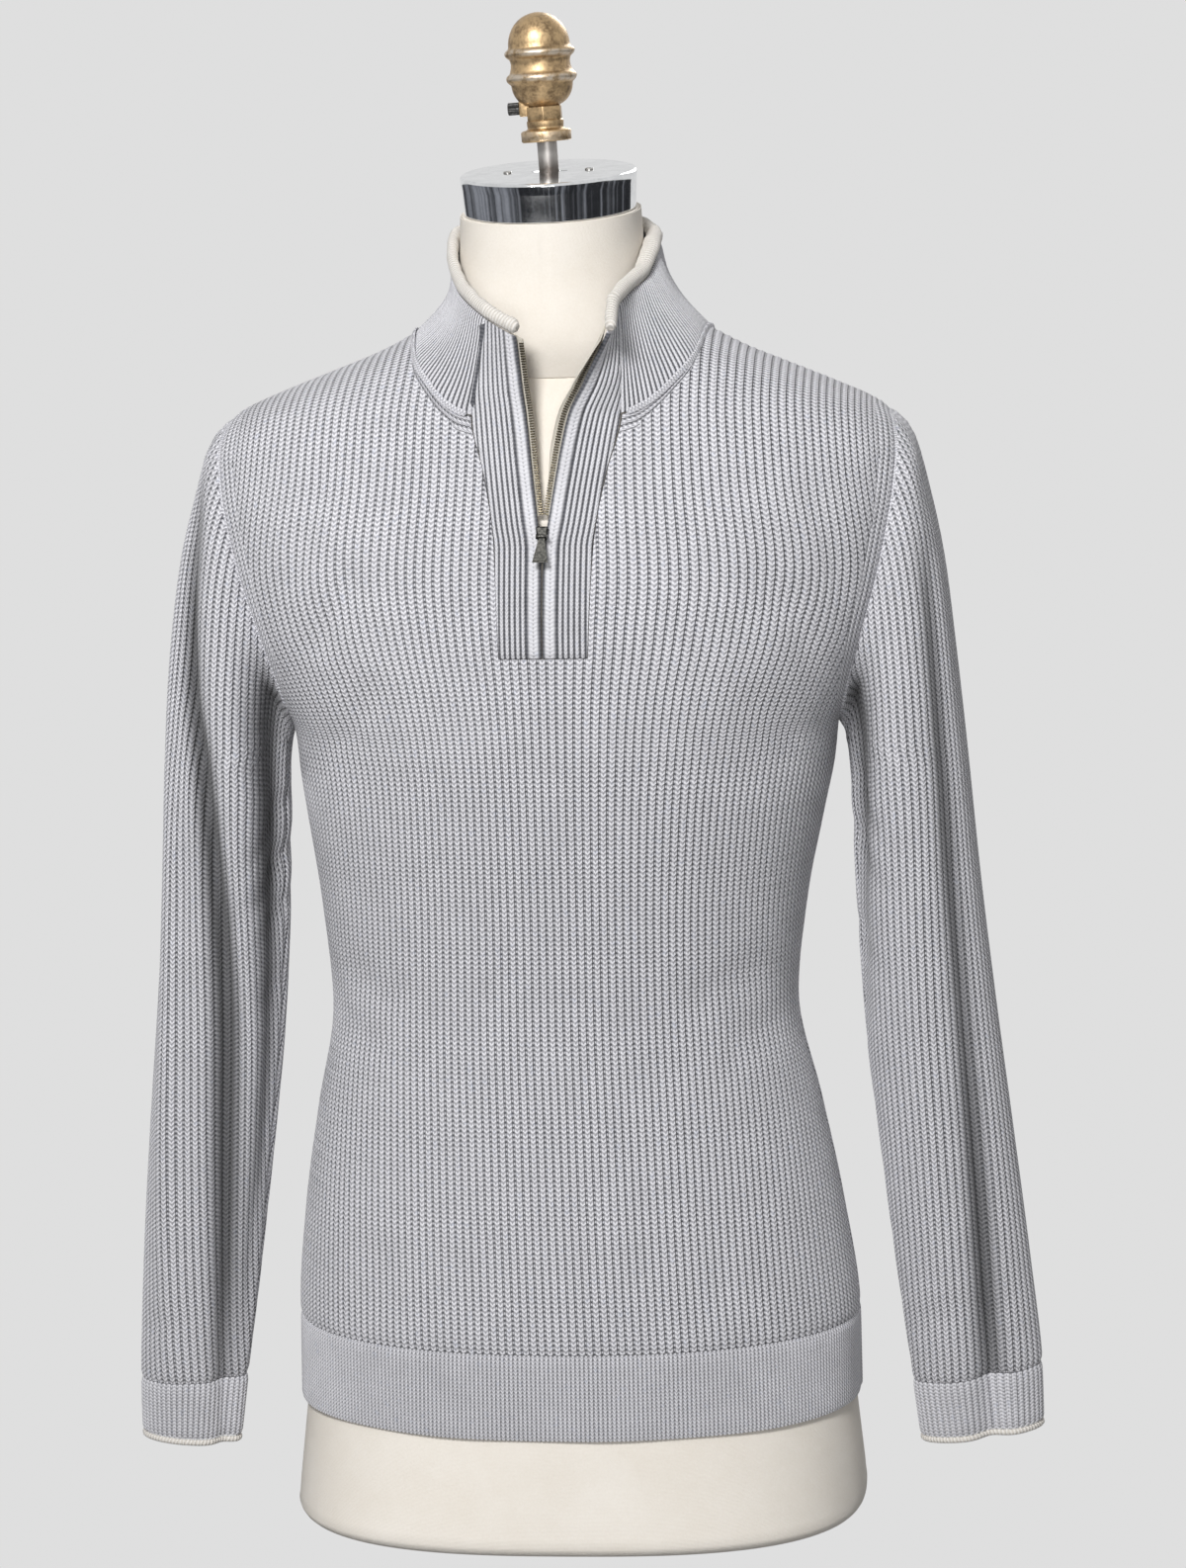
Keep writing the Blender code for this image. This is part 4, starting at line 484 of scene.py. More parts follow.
bandCurves = {-1: curvesOf(placketRight, "z"), 1: curvesOf(placketLeft, "z")}
neckFrontX, neckFrontAngle = curvesOf(necklineFront, "t").values()
neckBackX, neckBackAngle = curvesOf(necklineBack, "t").values()
neckShare = 0.375        # share of a front half's top edge that is neckline
backShoulder = 5.0 / 18  # share of the back's top edge that is one shoulder seam
seamGap = 0.0004


# Lower rows of a panel, hem band to yoke line, with the arcs from the middle.
def lowerPanel(front, fractions):
    heights = seamedSteps(hemTopZ, yokeZ, knitBody["rowStep"])[:-3]
    heights = np.append(heights, yokeZ)
    grid, arcs = [], []
    for z in heights:
        edge = float(torsoWidth(z) if z <= underarmZ else armholeLowX(z))
        points, along = slicePoints(z, front, fractions, edge)
        if z <= underarmZ:
            away = -seamGap / 2 if front else seamGap / 2
            points[0, 1] = points[-1, 1] = away
        grid.append(points)
        arcs.append(along)
    return np.array(grid), np.array(arcs)


# Rows of one front half above the yoke line, placket edge first.
def frontHalf(side, base, vs):
    us = np.linspace(0, 1, len(base))

    def low(u):
        return pair(np.interp(u, us, base), 0.0)

    def high(u):
        onNeck = u < neckShare
        t = np.clip(u / neckShare, 0, 1)
        s = np.clip((u - neckShare) / (1 - neckShare), 0, 1)
        x = np.where(onNeck, neckFrontX(t), shoulderIn + (shoulderOut - shoulderIn) * s)
        return pair(x, np.where(onNeck, neckFrontAngle(t), shoulderSeamDeg))

    def placketEdge(v):
        angle = placketCorner["angle"] * v
        x = np.full_like(angle, placketCorner["x"])
        for _ in range(4):
            z = shoulderPoint(x, angle, True)[..., 2]
            x = bandCurves[-1]["outer"](z) + seamGap
        return pair(x, angle)

    def armhole(v):
        return pair(armholeHighX(shoulderSeamDeg * v), shoulderSeamDeg * v)

    patch = coonsPatch(low, high, placketEdge, armhole, us, vs)
    return shoulderPoint(side * patch[..., 0], patch[..., 1], True)


def backTop(base, vs):
    us = np.linspace(0, 1, len(base))
    seam = 180.0 - shoulderSeamDeg

    def low(u):
        return pair(np.interp(u, us, base), 0.0)

    def high(u):
        side = np.where(u < 0.5, -1.0, 1.0)
        inwards = np.minimum(u, 1 - u)
        onShoulder = inwards <= backShoulder
        t = np.clip((inwards - backShoulder) / (0.5 - backShoulder), 0, 1)
        seamX = shoulderOut + (shoulderIn - shoulderOut) * inwards / backShoulder
        x = np.where(onShoulder, seamX, neckBackX(t))
        return pair(side * x, np.where(onShoulder, seam, neckBackAngle(t)))

    def armhole(side):
        return lambda v: pair(side * armholeHighX(seam * v), seam * v)

    patch = coonsPatch(low, high, armhole(-1), armhole(1), us, vs)
    return shoulderPoint(patch[..., 0], patch[..., 1], False)


# How far in from a panel's edges each point lies, along its row and along its column.
def edgeDistances(grid):
    across, along = rowArcs(grid), columnArcs(grid)
    return across, across[:, -1:] - across, along, along[-1:] - along


def seamDip(distance, depth, reach):
    return -depth * np.exp(-(distance / reach) ** 2)


# Dips along all four edges of a grid, by the piece's own depths and reaches.
def edgeDips(grid, knit):
    fromLeft, fromRight, fromLow, fromTop = edgeDistances(grid)
    return (seamDip(fromLeft, *knit["sideDip"]) + seamDip(fromRight, *knit["sideDip"])
            + seamDip(fromLow, *knit["lowDip"]) + seamDip(fromTop, *knit["topDip"]))


# Narrow ribs that run along the armhole, and along the neckline where topColumns says so.
def borderRibs(grid, fromSide, topColumns):
    across, _, along, fromTop = edgeDistances(grid)
    pitch, reach = knitBody["borderPitch"], knitBody["borderReach"]
    armhole = (grid[..., 2] > underarmZ - 0.004) & (fromSide < reach)
    neck = topColumns[None] & (fromTop < reach)
    ribs = np.where(neck, fromTop, fromSide) / pitch
    rows = np.where(neck, across, along) / knitBody["stitchRow"]
    at = armhole | neck
    cells = at[:-1, :-1] & at[1:, :-1] & at[:-1, 1:] & at[1:, 1:]
    cells &= (neck[:-1, :-1] & neck[1:, 1:]) | (armhole[:-1, :-1] & armhole[1:, 1:])
    return ribs, rows, cells, at


def slotFractions():
    length = -2 * slicePoints(yokeZ, True, np.array([0.0, 1.0]), float(armholeLowX(yokeZ)))[1][0]
    slot = 2 * (placketRight[0]["outer"] + seamGap) / length
    side = (1 - slot) / 2
    nSide, nSlot = knitBody["columnsPerSide"], knitBody["columnsPerSlot"]
    return np.concatenate([np.linspace(0, side, nSide + 1)[:-1],
                           np.linspace(side, 1 - side, nSlot + 1)[:-1],
                           np.linspace(1 - side, 1, nSide + 1)])


# Shares of the way from the yoke line to the top edge, close together near the top.
def topSteps():
    close = 1.0 - np.array([0.075, 0.068, 0.061, 0.055, 0.049, 0.043, 0.037, 0.031, 0.025,
                            0.0195, 0.0145, 0.010, 0.0065, 0.0035, 0.0])
    return np.concatenate([np.linspace(0.030, 0.90, 28), close])


# One panel of the body: ribs, creases and dipped seams on the outer face. moreDips are the
# panel's own seams and kept says which cells are not in its slot.
def makePanel(name, node, grid, lowerArcs, creases, topColumns, finish, moreDips=0.0, kept=None,
              area=None):
    ribs, rows = panelRibs(grid, lowerArcs), columnArcs(grid) / knitBody["stitchRow"]
    fromLeft, fromRight, _, _ = edgeDistances(grid)
    fromSide = np.minimum(fromLeft, fromRight)
    border = borderRibs(grid, fromSide, topColumns)
    dips = edgeDips(grid, knitBody) + moreDips
    normals = gridNormals(grid, False, bodyMiddle)
    nearHole = np.exp(-(fromSide / knitBody["holeReach"]) ** 2)
    nearHole *= np.clip((grid[..., 2] - underarmZ) / 0.012, 0, 1)
    normals = unit(normals * (1 - nearHole)[..., None] + armholeMitre(grid) * nearHole[..., None])
    sunk = creaseSink(creases, grid[..., 0], grid[..., 2])
    sunk *= np.clip((np.abs(normals[..., 1]) - 0.25) / 0.4, 0, 1)   # none round the side
    main = ribRelief(ribs, knitBody["ribDepth"])
    calm = np.exp(-((fromSide - knitBody["calmAt"]) / knitBody["calmReach"]) ** 2)
    main *= 1 - 0.75 * calm * (grid[..., 2] > 0.48)     # shallower ribs beside the border
    relief = np.where(border[3], ribRelief(border[0], knitBody["borderDepth"]), main)
    outer = swayed(grid + normals * (relief - sunk + dips)[..., None])
    base = -knitBody["wall"] - sunk * 0.6 + np.minimum(dips, 0.0) * 0.3
    inner = swayed((grid + normals * base[..., None])[:, ::stride])
    made = clothShell(name, outer, inner, ribs, rows, stride, kept=kept, border=border[:3])
    settle(made, "knit", finish, node)
    declareCloth(made, grid, area=area)


def makeFront(finish):
    nSide, nSlot = knitBody["columnsPerSide"], knitBody["columnsPerSlot"]
    lower, lowerArcs = lowerPanel(True, slotFractions())
    yoke, vs = lower[-1, :, 0], topSteps()
    left = frontHalf(1, yoke[nSide + nSlot:], vs)
    right = frontHalf(-1, -yoke[:nSide + 1][::-1], vs)[:, ::-1]
    share = (np.arange(1, nSlot) / nSlot)[None, :, None]
    between = right[:, -1:] * (1 - share) + left[:, :1] * share
    grid = np.concatenate([lower, np.concatenate([right, between, left], axis=1)])
    beside = np.abs(grid[..., 0]) - bandCurves[-1]["outer"](grid[..., 2]) - seamGap
    atSlot = (grid[..., 2] > yokeZ - 0.004) & (beside > -0.001)
    slotDips = np.where(atSlot, seamDip(beside, *knitBody["slotDip"]), 0.0)
    lowRow = len(lower) - 1
    firstCell, lastCell = nSide // stride, (nSide + nSlot) // stride

    def kept(row, cell):
        return not (row >= lowRow and firstCell <= cell < lastCell)

    onNeck = np.linspace(0, 1, nSide + 1) < neckShare - 0.01
    topColumns = np.concatenate([onNeck[::-1], np.zeros(nSlot - 1, bool), onNeck])
    area = gridArea(grid) - gridArea(grid[lowRow:, nSide:nSide + nSlot + 1])
    makePanel("ribbedFront", "front_panel", grid, lowerArcs, frontCreases, topColumns, finish,
              slotDips, kept, area)


def makeBack(finish):
    lower, lowerArcs = lowerPanel(False, slotFractions())
    grid = np.concatenate([lower, backTop(lower[-1, :, 0], topSteps())])
    across = np.linspace(0, 1, grid.shape[1])
    topColumns = np.minimum(across, 1 - across) > backShoulder + 0.005
    makePanel("ribbedBack", "back_panel", grid, lowerArcs, backCreases, topColumns, finish)


hemBand = {"wall": 0.002392, "ribDepth": 0.0008, "ribs": 172, "columnsPerRib": 4,
           "stitchRow": 0.0024, "sideDip": (0.0012, 0.0020), "lowDip": (0.0007, 0.0012),
           "topDip": (0.0009, 0.0018), "wave": 0.0006}


def makeHem(name, front, finish, node):
    count = hemBand["ribs"] * hemBand["columnsPerRib"]
    fractions = np.linspace(0, 1, count + 1)
    heights = [hemZ, hemZ + 0.0010, hemZ + 0.0028, 0.082, 0.091, 0.100, 0.109, 0.118, 0.1235,
               0.1254, hemTopZ - seamGap]
    grid = []
    for z in heights:
        points, _ = slicePoints(z, front, fractions, float(torsoWidth(z)))
        points[0, 1] = points[-1, 1] = -seamGap / 2 if front else seamGap / 2
        grid.append(points)
    grid = np.array(grid)
    ribs = np.broadcast_to(np.arange(count + 1) / hemBand["columnsPerRib"], grid.shape[:2])
    rows = columnArcs(grid) / hemBand["stitchRow"]
    wave = hemBand["wave"] * np.sin(grid[..., 0] * 61.0 + (0.0 if front else 1.9)) * np.clip(
        (hemTopZ - grid[..., 2]) / 0.05, 0, 1)
    normals = gridNormals(grid, False, bodyMiddle)
    relief = ribRelief(ribs, hemBand["ribDepth"]) + edgeDips(grid, hemBand) + wave
    made = swayedShell(name, grid, normals, relief, hemBand["wall"], ribs, rows)
    settle(made, "knit", finish, node)
    declareCloth(made, grid)


# sleeves, cuffs and their edges
sleeveKnit = {"wall": 0.0028, "ribDepth": 0.00065, "pitch": 0.0052, "columns": 448,
              "rowStep": 0.0088, "stitchRow": 0.0031, "foldShadeDepth": 0.0135,
              "topDip": (0.0017, 0.0028), "lowDip": (0.0012, 0.0024), "seamDip": (0.0017, 0.0022)}
# outer and inner edge of each ring in the front view, half depth, roundness
sleeveUpper = table("outX outZ inX inZ depth oval",
    (0.2225, 0.7000, 0.1767, 0.5060, 0.0600, 0.15),
    (0.2345, 0.6600, 0.1784, 0.4990, 0.0625, 0.40),
    (0.2433, 0.6163, 0.1795, 0.4905, 0.0630, 0.65),
    (0.2494, 0.5653, 0.1803, 0.4760, 0.0620, 0.85),
    (0.2560, 0.5020, 0.1814, 0.4460, 0.0590, 1.0),
    (0.2645, 0.4120, 0.1840, 0.3850, 0.0520, 1.0))
sleeveLower = {
    -1: table("outX outZ inX inZ depth oval",
        (0.2728, 0.3300, 0.1890, 0.3180, 0.0450, 1.0),
        (0.2814, 0.2450, 0.1980, 0.2430, 0.0385, 1.0),
        (0.2890, 0.1580, 0.2100, 0.1580, 0.0310, 1.0),
        (0.2940, 0.0783, 0.2221, 0.0789, 0.0235, 1.0),
        (0.2945, 0.0417, 0.2277, 0.0376, 0.0210, 1.0)),
    1: table("outX outZ inX inZ depth oval",
        (0.2736, 0.3320, 0.1888, 0.3160, 0.0450, 1.0),
        (0.2841, 0.2480, 0.1973, 0.2400, 0.0385, 1.0),
        (0.2946, 0.1620, 0.2075, 0.1530, 0.0310, 1.0),
        (0.3024, 0.0888, 0.2175, 0.0766, 0.0245, 1.0),
        (0.3035, 0.0501, 0.2222, 0.0393, 0.0220, 1.0)),
}
armholeDepth = 0.0560

# Lengthwise troughs of the hanging sleeves: rows of height, angle round the sleeve (0 outer
# edge, 90 front, 180 inner edge, 270 back), depth and half width in degrees. A negative
# depth is a ridge.
sleeveFolds = {
    -1: [
        [(0.700, 40, 0.0000, 10), (0.640, 44, 0.0110, 12), (0.550, 52, 0.0190, 13),
         (0.500, 68, 0.0190, 12), (0.437, 84, 0.0190, 11), (0.339, 101, 0.0180, 12),
         (0.241, 111, 0.0170, 13), (0.144, 124, 0.0140, 15), (0.045, 140, 0.0060, 18)],
        [(0.680, 20, 0.0000, 12), (0.620, 20, -0.0060, 12), (0.550, 22, -0.0090, 13),
         (0.437, 36, -0.0090, 15), (0.339, 46, -0.0090, 16), (0.241, 52, -0.0080, 16),
         (0.144, 62, -0.0050, 18), (0.045, 70, 0.0000, 18)],
        [(0.600, 140, 0.0000, 16), (0.560, 141, 0.0180, 23), (0.450, 150, 0.0190, 22),
         (0.350, 152, 0.0130, 21), (0.240, 154, 0.0100, 20), (0.045, 160, 0.0000, 18)],
        [(0.560, 92, 0.0000, 14), (0.437, 112, -0.0040, 16), (0.339, 130, -0.0040, 15),
         (0.241, 148, -0.0040, 15), (0.144, 168, -0.0020, 15), (0.045, 176, 0.0, 15)],
        [(0.470, 60, 0.0000, 9), (0.400, 52, 0.0022, 9), (0.300, 58, 0.0028, 9),
         (0.200, 66, 0.0020, 9), (0.120, 70, 0.0000, 9)],
        [(0.600, 300, 0.0000, 14), (0.500, 290, 0.0050, 15), (0.400, 272, 0.0080, 15),
         (0.300, 262, 0.0070, 15), (0.180, 248, 0.0060, 18), (0.045, 240, 0.0030, 18)],
        [(0.350, 226, 0.0000, 12), (0.250, 218, 0.0030, 12), (0.120, 210, 0.0025, 12),
         (0.060, 205, 0.0000, 12)],
    ],
    1: [
        [(0.640, 46, 0.0000, 10), (0.590, 50, 0.0080, 10), (0.520, 50, 0.0100, 10),
         (0.437, 52, 0.0110, 11), (0.339, 55, 0.0110, 11), (0.241, 62, 0.0130, 11),
         (0.144, 70, 0.0140, 12), (0.045, 80, 0.0090, 15)],
        [(0.660, 136, 0.0000, 12), (0.610, 138, 0.0120, 15), (0.540, 145, 0.0200, 19),
         (0.470, 152, 0.0180, 19), (0.400, 158, 0.0090, 18), (0.300, 165, 0.0000, 15)],
        [(0.420, 96, 0.0000, 13), (0.339, 100, -0.0020, 14), (0.241, 104, -0.0030, 14),
         (0.144, 110, -0.0030, 15), (0.045, 116, 0.0, 15)],
        [(0.560, 286, 0.0000, 14), (0.450, 276, 0.0060, 15), (0.330, 268, 0.0070, 15),
         (0.200, 256, 0.0080, 16), (0.045, 250, 0.0050, 18)],
        [(0.620, 320, 0.0000, 10), (0.520, 316, 0.0030, 11), (0.400, 308, 0.0035, 11),
         (0.280, 300, 0.0000, 11)],
    ],
}
# Short cross creases: height, angle, depth, height of the trough, half width in degrees, slope.
sleeveCreases = {
    -1: table("z angle depth high wide slope",
        (0.448, 150, 0.0035, 0.007, 34, 0.00050), (0.418, 158, 0.0045, 0.008, 38, 0.00045),
        (0.392, 164, 0.0025, 0.006, 28, 0.00040), (0.340, 150, 0.0018, 0.008, 26, 0.00030),
        (0.470, 232, 0.0030, 0.008, 34, -0.00040), (0.120, 60, 0.0016, 0.006, 30, 0.00020)),
    1: table("z angle depth high wide slope",
        (0.462, 146, 0.0030, 0.007, 30, 0.00050), (0.432, 158, 0.0036, 0.008, 36, 0.00042),
        (0.372, 160, 0.0024, 0.007, 30, 0.00036), (0.455, 226, 0.0036, 0.008, 34, -0.00040),
        (0.126, 118, 0.0018, 0.006, 28, -0.00020)),
}


# Armhole seam by share of the way from the shoulder to the underarm.
def armholeLine(front, shares):
    spot = np.asarray(shares, dtype=float) * 9.0
    top = np.where(front, shoulderSeamDeg, 180.0 - shoulderSeamDeg)
    angle = np.clip(top * (7.0 - spot) / 7.0, 0.0, None)
    z = yokeZ - 0.030 * np.clip(spot - 7.0, 0.0, 2.0)
    high = shoulderPoint(armholeHighX(angle), angle, front)
    low = torsoPoint(armholeLowX(z), z, front)
    line = np.where((spot <= 7.0)[..., None], high, low)
    line[..., 1] = np.where(spot > 8.999, 0.0, line[..., 1])
    return line


# Cosine and sine of the point at a share of half an oval's length.
def ovalShare(span, depth, shares):
    angles = np.linspace(0.0, math.pi, 721)
    speed = np.hypot(span * np.sin(angles), depth * np.cos(angles))
    lengths = np.concatenate([[0.0], np.cumsum((speed[1:] + speed[:-1]) / 2)])
    found = np.interp(np.asarray(shares) * lengths[-1], lengths, angles)
    return np.cos(found), np.sin(found)


def foldSink(side, degrees, z):
    sunk = np.zeros_like(z)
    for fold in sleeveFolds[side]:
        curves = curvesOf(table("z angle depth spread", *sorted(fold)), "z").values()
        middle, depth, spread = [curve(z) for curve in curves]
        sunk += depth * np.exp(-((degrees - middle) / spread) ** 2)
    for crease in sleeveCreases[side]:
        off = z - crease["z"] - crease["slope"] * (degrees - crease["angle"])
        sunk += (crease["depth"] * np.exp(-(off / crease["high"]) ** 2)
                 * np.exp(-((degrees - crease["angle"]) / crease["wide"]) ** 2))
    return sunk


# Rings of a sleeve at the row numbers ts (0 the armhole, 10 its end, 11 the cuff's end). Each
# starts at the inner edge and runs over the back and the outer edge to the front.
def sleeveGrid(side, ts, count, folded=True):
    top = armholeLine(True, np.array([0.0]))[0]
    bottom = armholeLine(True, np.array([1.0]))[0]
    first = dict(outX=top[0], outZ=top[2], inX=bottom[0], inZ=bottom[2], depth=armholeDepth,
                 oval=0.0)
    rows = [dict(row, t=k) for k, row in enumerate([first] + sleeveUpper + sleeveLower[side])]
    beyond = np.maximum(0.0, ts - (len(rows) - 1))
    value = {key: curve(ts) + beyond * (rows[-1][key] - rows[-2][key])
             for key, curve in curvesOf(rows, "t").items()}
    turn = (np.arange(count) / count + 0.5) % 1.0
    front = turn <= 0.5
    share = np.where(front, 2 * turn, 2 - 2 * turn)
    seam = armholeLine(front, share)
    seamCentre = np.array([(top[0] + bottom[0]) / 2, 0.0, (top[2] + bottom[2]) / 2])
    seamAxis = np.array([(top[0] - bottom[0]) / 2, 0.0, (top[2] - bottom[2]) / 2])
    seamOff = np.array([seamAxis[2], 0.0, -seamAxis[0]]) / np.linalg.norm(seamAxis)
    seamAlong = (seam - seamCentre) @ seamAxis / (seamAxis @ seamAxis)
    seamDeep = seam[:, 1] / armholeDepth
    seamBulge = (seam - seamCentre) @ seamOff
    rings = []
    for k in range(len(ts)):
        row = {key: float(found[k]) for key, found in value.items()}
        outer = np.array([row["outX"], 0.0, row["outZ"]])
        inner = np.array([row["inX"], 0.0, row["inZ"]])
        centre, axis = (outer + inner) / 2, (outer - inner) / 2
        off = np.array([axis[2], 0.0, -axis[0]]) / np.linalg.norm(axis)
        cosine, sine = ovalShare(np.linalg.norm(axis), row["depth"], share)
        sine = np.where(front, -sine, sine)
        along = seamAlong + (cosine - seamAlong) * row["oval"]
        deep = seamDeep + (sine - seamDeep) * row["oval"]
        points = centre + axis * along[:, None] + off * (seamBulge * (1 - row["oval"]))[:, None]
        points[:, 1] = row["depth"] * deep
        if folded:
            degrees = np.degrees(np.arctan2(-deep, along)) % 360.0
            sunk = foldSink(side, degrees, points[:, 2]) * min(1.0, ts[k] / 1.5)
            points += unit((centre - points) * np.array([0.4, 1.0, 0.4])) * sunk[:, None]
        points[:, 0] = side * (points[:, 0] + seamGap * max(0.0, 1.0 - ts[k]))
        rings.append(points)
    return np.array(rings)


# Row numbers that lie evenly along a sleeve, closer together at both ends.
def sleeveSteps(side, first, last, step, ends):
    fine = np.linspace(first, last, 240)
    edge = sleeveGrid(side, fine, 24, folded=False)[:, 6]
    lengths = lineArcs(edge)
    spots = seamedSteps(0.0, lengths[-1], step, ends)
    return np.interp(spots, lengths, fine)


# Rib number at each point of a ring grid, counted both ways from its outer edge.
def ringRibs(grid, pitch):
    arcs = rowArcs(closedRing(grid))
    return (arcs - arcs[:, grid.shape[1] // 2][:, None]) / pitch + 0.5


# Rib number on a sleeve: above the elbow by the arc of a level slice from the outer edge, so
# the ribs hang straight and the armhole cuts them at a slant; below it by the rings.
def sleeveRibs(side, grid, ts, pitch):
    rows = [dict(z=row["outZ"], x=row["outX"], wide=(row["outX"] - row["inX"]) / 2,
                 deep=row["depth"]) for row in (sleeveUpper + sleeveLower[side])[::-1]]
    grid = closedRing(grid)
    z = grid[..., 2]
    wide = np.where(z > 0.500, 0.0410, np.minimum(smoothCurve(rows, "z", "wide")(z), 0.0410))
    outX = smoothCurve(rows, "z", "x")(np.minimum(z, 0.7000))
    deep = smoothCurve(rows, "z", "deep")(np.minimum(z, 0.7000))
    turn = np.arctan2(np.abs(grid[..., 1]) / deep, 1 - (outX - side * grid[..., 0]) / wide)
    parts = np.linspace(0, 1, 17)
    speed = np.hypot(wide[..., None] * np.sin(turn[..., None] * parts),
                     deep[..., None] * np.cos(turn[..., None] * parts))
    arcs = turn * (speed[..., 1:] + speed[..., :-1]).mean(axis=-1) / 2
    half = (grid.shape[1] - 1) // 2
    arcs = np.where(np.arange(grid.shape[1]) < half, -arcs, arcs)
    low = smoothStep(ts[:, None], 4.6, 6.8)
    return (arcs / pitch + 0.5) * (1 - low) + ringRibs(grid[:, :-1], pitch) * low


# Ring grid's wall, with a dipped seam down its inner edge where seamed.
def ringWall(name, grid, ribs, rows, wall, ribDepth, dips, seamed=True, mitred=False,
             shade=None):
    normals = gridNormals(grid, True, ringMiddle)
    if mitred:
        from0 = np.linalg.norm(grid - grid[:1], axis=-1)
        near = np.exp(-(from0 / knitBody["holeReach"]) ** 2)[..., None]
        normals = unit(normals * (1 - near) + armholeMitre(grid) * near)
    arcs = rowArcs(closedRing(grid))
    fromSeam = np.minimum(arcs[:, :-1], arcs[:, -1:] - arcs[:, :-1])
    relief = ribRelief(ribs[:, :-1], ribDepth) + dips
    if seamed:
        depth, reach = sleeveKnit["seamDip"]
        near = np.exp(-(fromSeam / reach) ** 2)
        relief = relief * (1 - near) - depth * near
    outer = grid + normals * relief[..., None]
    inner = (grid - normals * wall)[:, ::stride]
    return clothShell(name, outer, inner, ribs, rows, stride, closed=True, shade=shade)


def ringRows(grid, rowHeight):
    return closedRing(columnArcs(grid) / rowHeight)


def makeSleeve(side, word, finish):
    ts = sleeveSteps(side, 0.0, 10.0, sleeveKnit["rowStep"], (0.0011, 0.0027, 0.0052))
    grid = sleeveGrid(side, ts, sleeveKnit["columns"])
    plain = sleeveGrid(side, ts, sleeveKnit["columns"], folded=False)
    ribs = sleeveRibs(side, plain, ts, sleeveKnit["pitch"])
    rows = closedRing(plain)[..., 2] / sleeveKnit["stitchRow"]
    # painted shade: the deeper a point has sunk into a fold, the darker its colour is painted
    inwards = np.abs(plain[..., 1]) - np.abs(grid[..., 1])
    shade = closedRing(np.clip(inwards / sleeveKnit["foldShadeDepth"], 0.0, 1.0))
    along = lineArcs(plain[:, sleeveKnit["columns"] // 2])[:, None]
    dips = (seamDip(along, *sleeveKnit["topDip"])
            + seamDip(along[-1] - along, *sleeveKnit["lowDip"]))
    made = ringWall("ribbedSleeve" + word, grid, ribs, rows, sleeveKnit["wall"],
                    sleeveKnit["ribDepth"], dips, mitred=True, shade=shade)
    settle(made, "knit", finish, "sleeve_" + word.lower())
    declareCloth(made, plain, closed=True)


# Seam allowance inside the armhole: a roll of cloth that closes the join from within.
def makeArmholeSeam(side, word, finish):
    ring = sleeveGrid(side, np.array([0.0]), armholeRoll["count"])[0]
    inwards, radius = -armholeMitre(ring), armholeRoll["radius"]
    roll = tubeRows(ring + inwards * armholeRoll["in"], inwards, radius,
                    np.array([1.0, 0.0, 0.0]), radius, armholeRoll["around"])
    return settle(rollPiece("armholeSeam" + word, roll), "knit", finish)


cuffKnit = {"wall": 0.0026, "ribDepth": 0.0009, "ribs": 48, "columnsPerRib": 5,
            "stitchRow": 0.0024, "topDip": (0.0009, 0.0018), "lowDip": (0.0006, 0.0016),
            "edgeWall": 0.0030, "edgeHeight": 0.0044, "edgeAround": 10}
armholeRoll = {"radius": 0.0019, "in": 0.0034, "count": 240, "around": 6}
rollStitch = 0.0024


def cuffEnd(side):
    rows = sleeveLower[side]
    return rows[-2]["outZ"] - rows[-1]["outZ"]


def makeCuff(side, word, finish, edgeFinish):
    gap = seamGap / cuffEnd(side)
    count = cuffKnit["ribs"] * cuffKnit["columnsPerRib"]
    ts = 10.0 + np.array([gap, 0.035, 0.08, 0.2, 0.35, 0.5, 0.65, 0.8, 0.92, 0.965, 1.0 - gap])
    grid = sleeveGrid(side, ts, count)
    ribs = np.broadcast_to(np.arange(count + 1) / cuffKnit["columnsPerRib"],
                           (len(ts), count + 1))
    rows = ringRows(grid, cuffKnit["stitchRow"])
    along = (ts - 10.0)[:, None] * cuffEnd(side)
    dips = seamDip(along, *cuffKnit["topDip"]) + seamDip(along[-1] - along, *cuffKnit["lowDip"])
    made = ringWall("cuff" + word, grid, ribs, rows, cuffKnit["wall"], cuffKnit["ribDepth"],
                    dips, seamed=False)
    settle(made, "knit", finish, "cuff_" + word.lower())

    # rolled contrast edge under the cuff
    height, wall = cuffKnit["edgeHeight"], cuffKnit["edgeWall"]
    share = height / cuffEnd(side)
    ends = sleeveGrid(side, np.array([11.0, 11.0 + share]), count)
    normals = gridNormals(ends, True, ringMiddle)
    middle = ends.mean(axis=0) - normals[0] * wall / 2
    down = unit(ends[1] - ends[0])
    wobble = 1 + 0.05 * np.sin(np.arange(count) * 0.9) + 0.03 * np.sin(np.arange(count) * 2.3)
    roll = tubeRows(middle, normals[0], (wall / 2 * wobble)[:, None], down, height * 0.46,
                    cuffKnit["edgeAround"])
    edge = rollPiece("cuffEdge" + word, roll)
    settle(edge, "tipping", edgeFinish, "cuff_tipping_" + word.lower())
    declareCloth(made, grid,
                 area=gridArea(grid, True))


# Rows of points round a tube, by two directions across it and the half width in each.
def tubeRows(middle, side, reach, up, rise, around):
    turns = 2 * math.pi * np.arange(around) / around
    return np.array([middle + side * (reach * math.cos(turn)) + up * (rise * math.sin(turn))
                     for turn in turns])


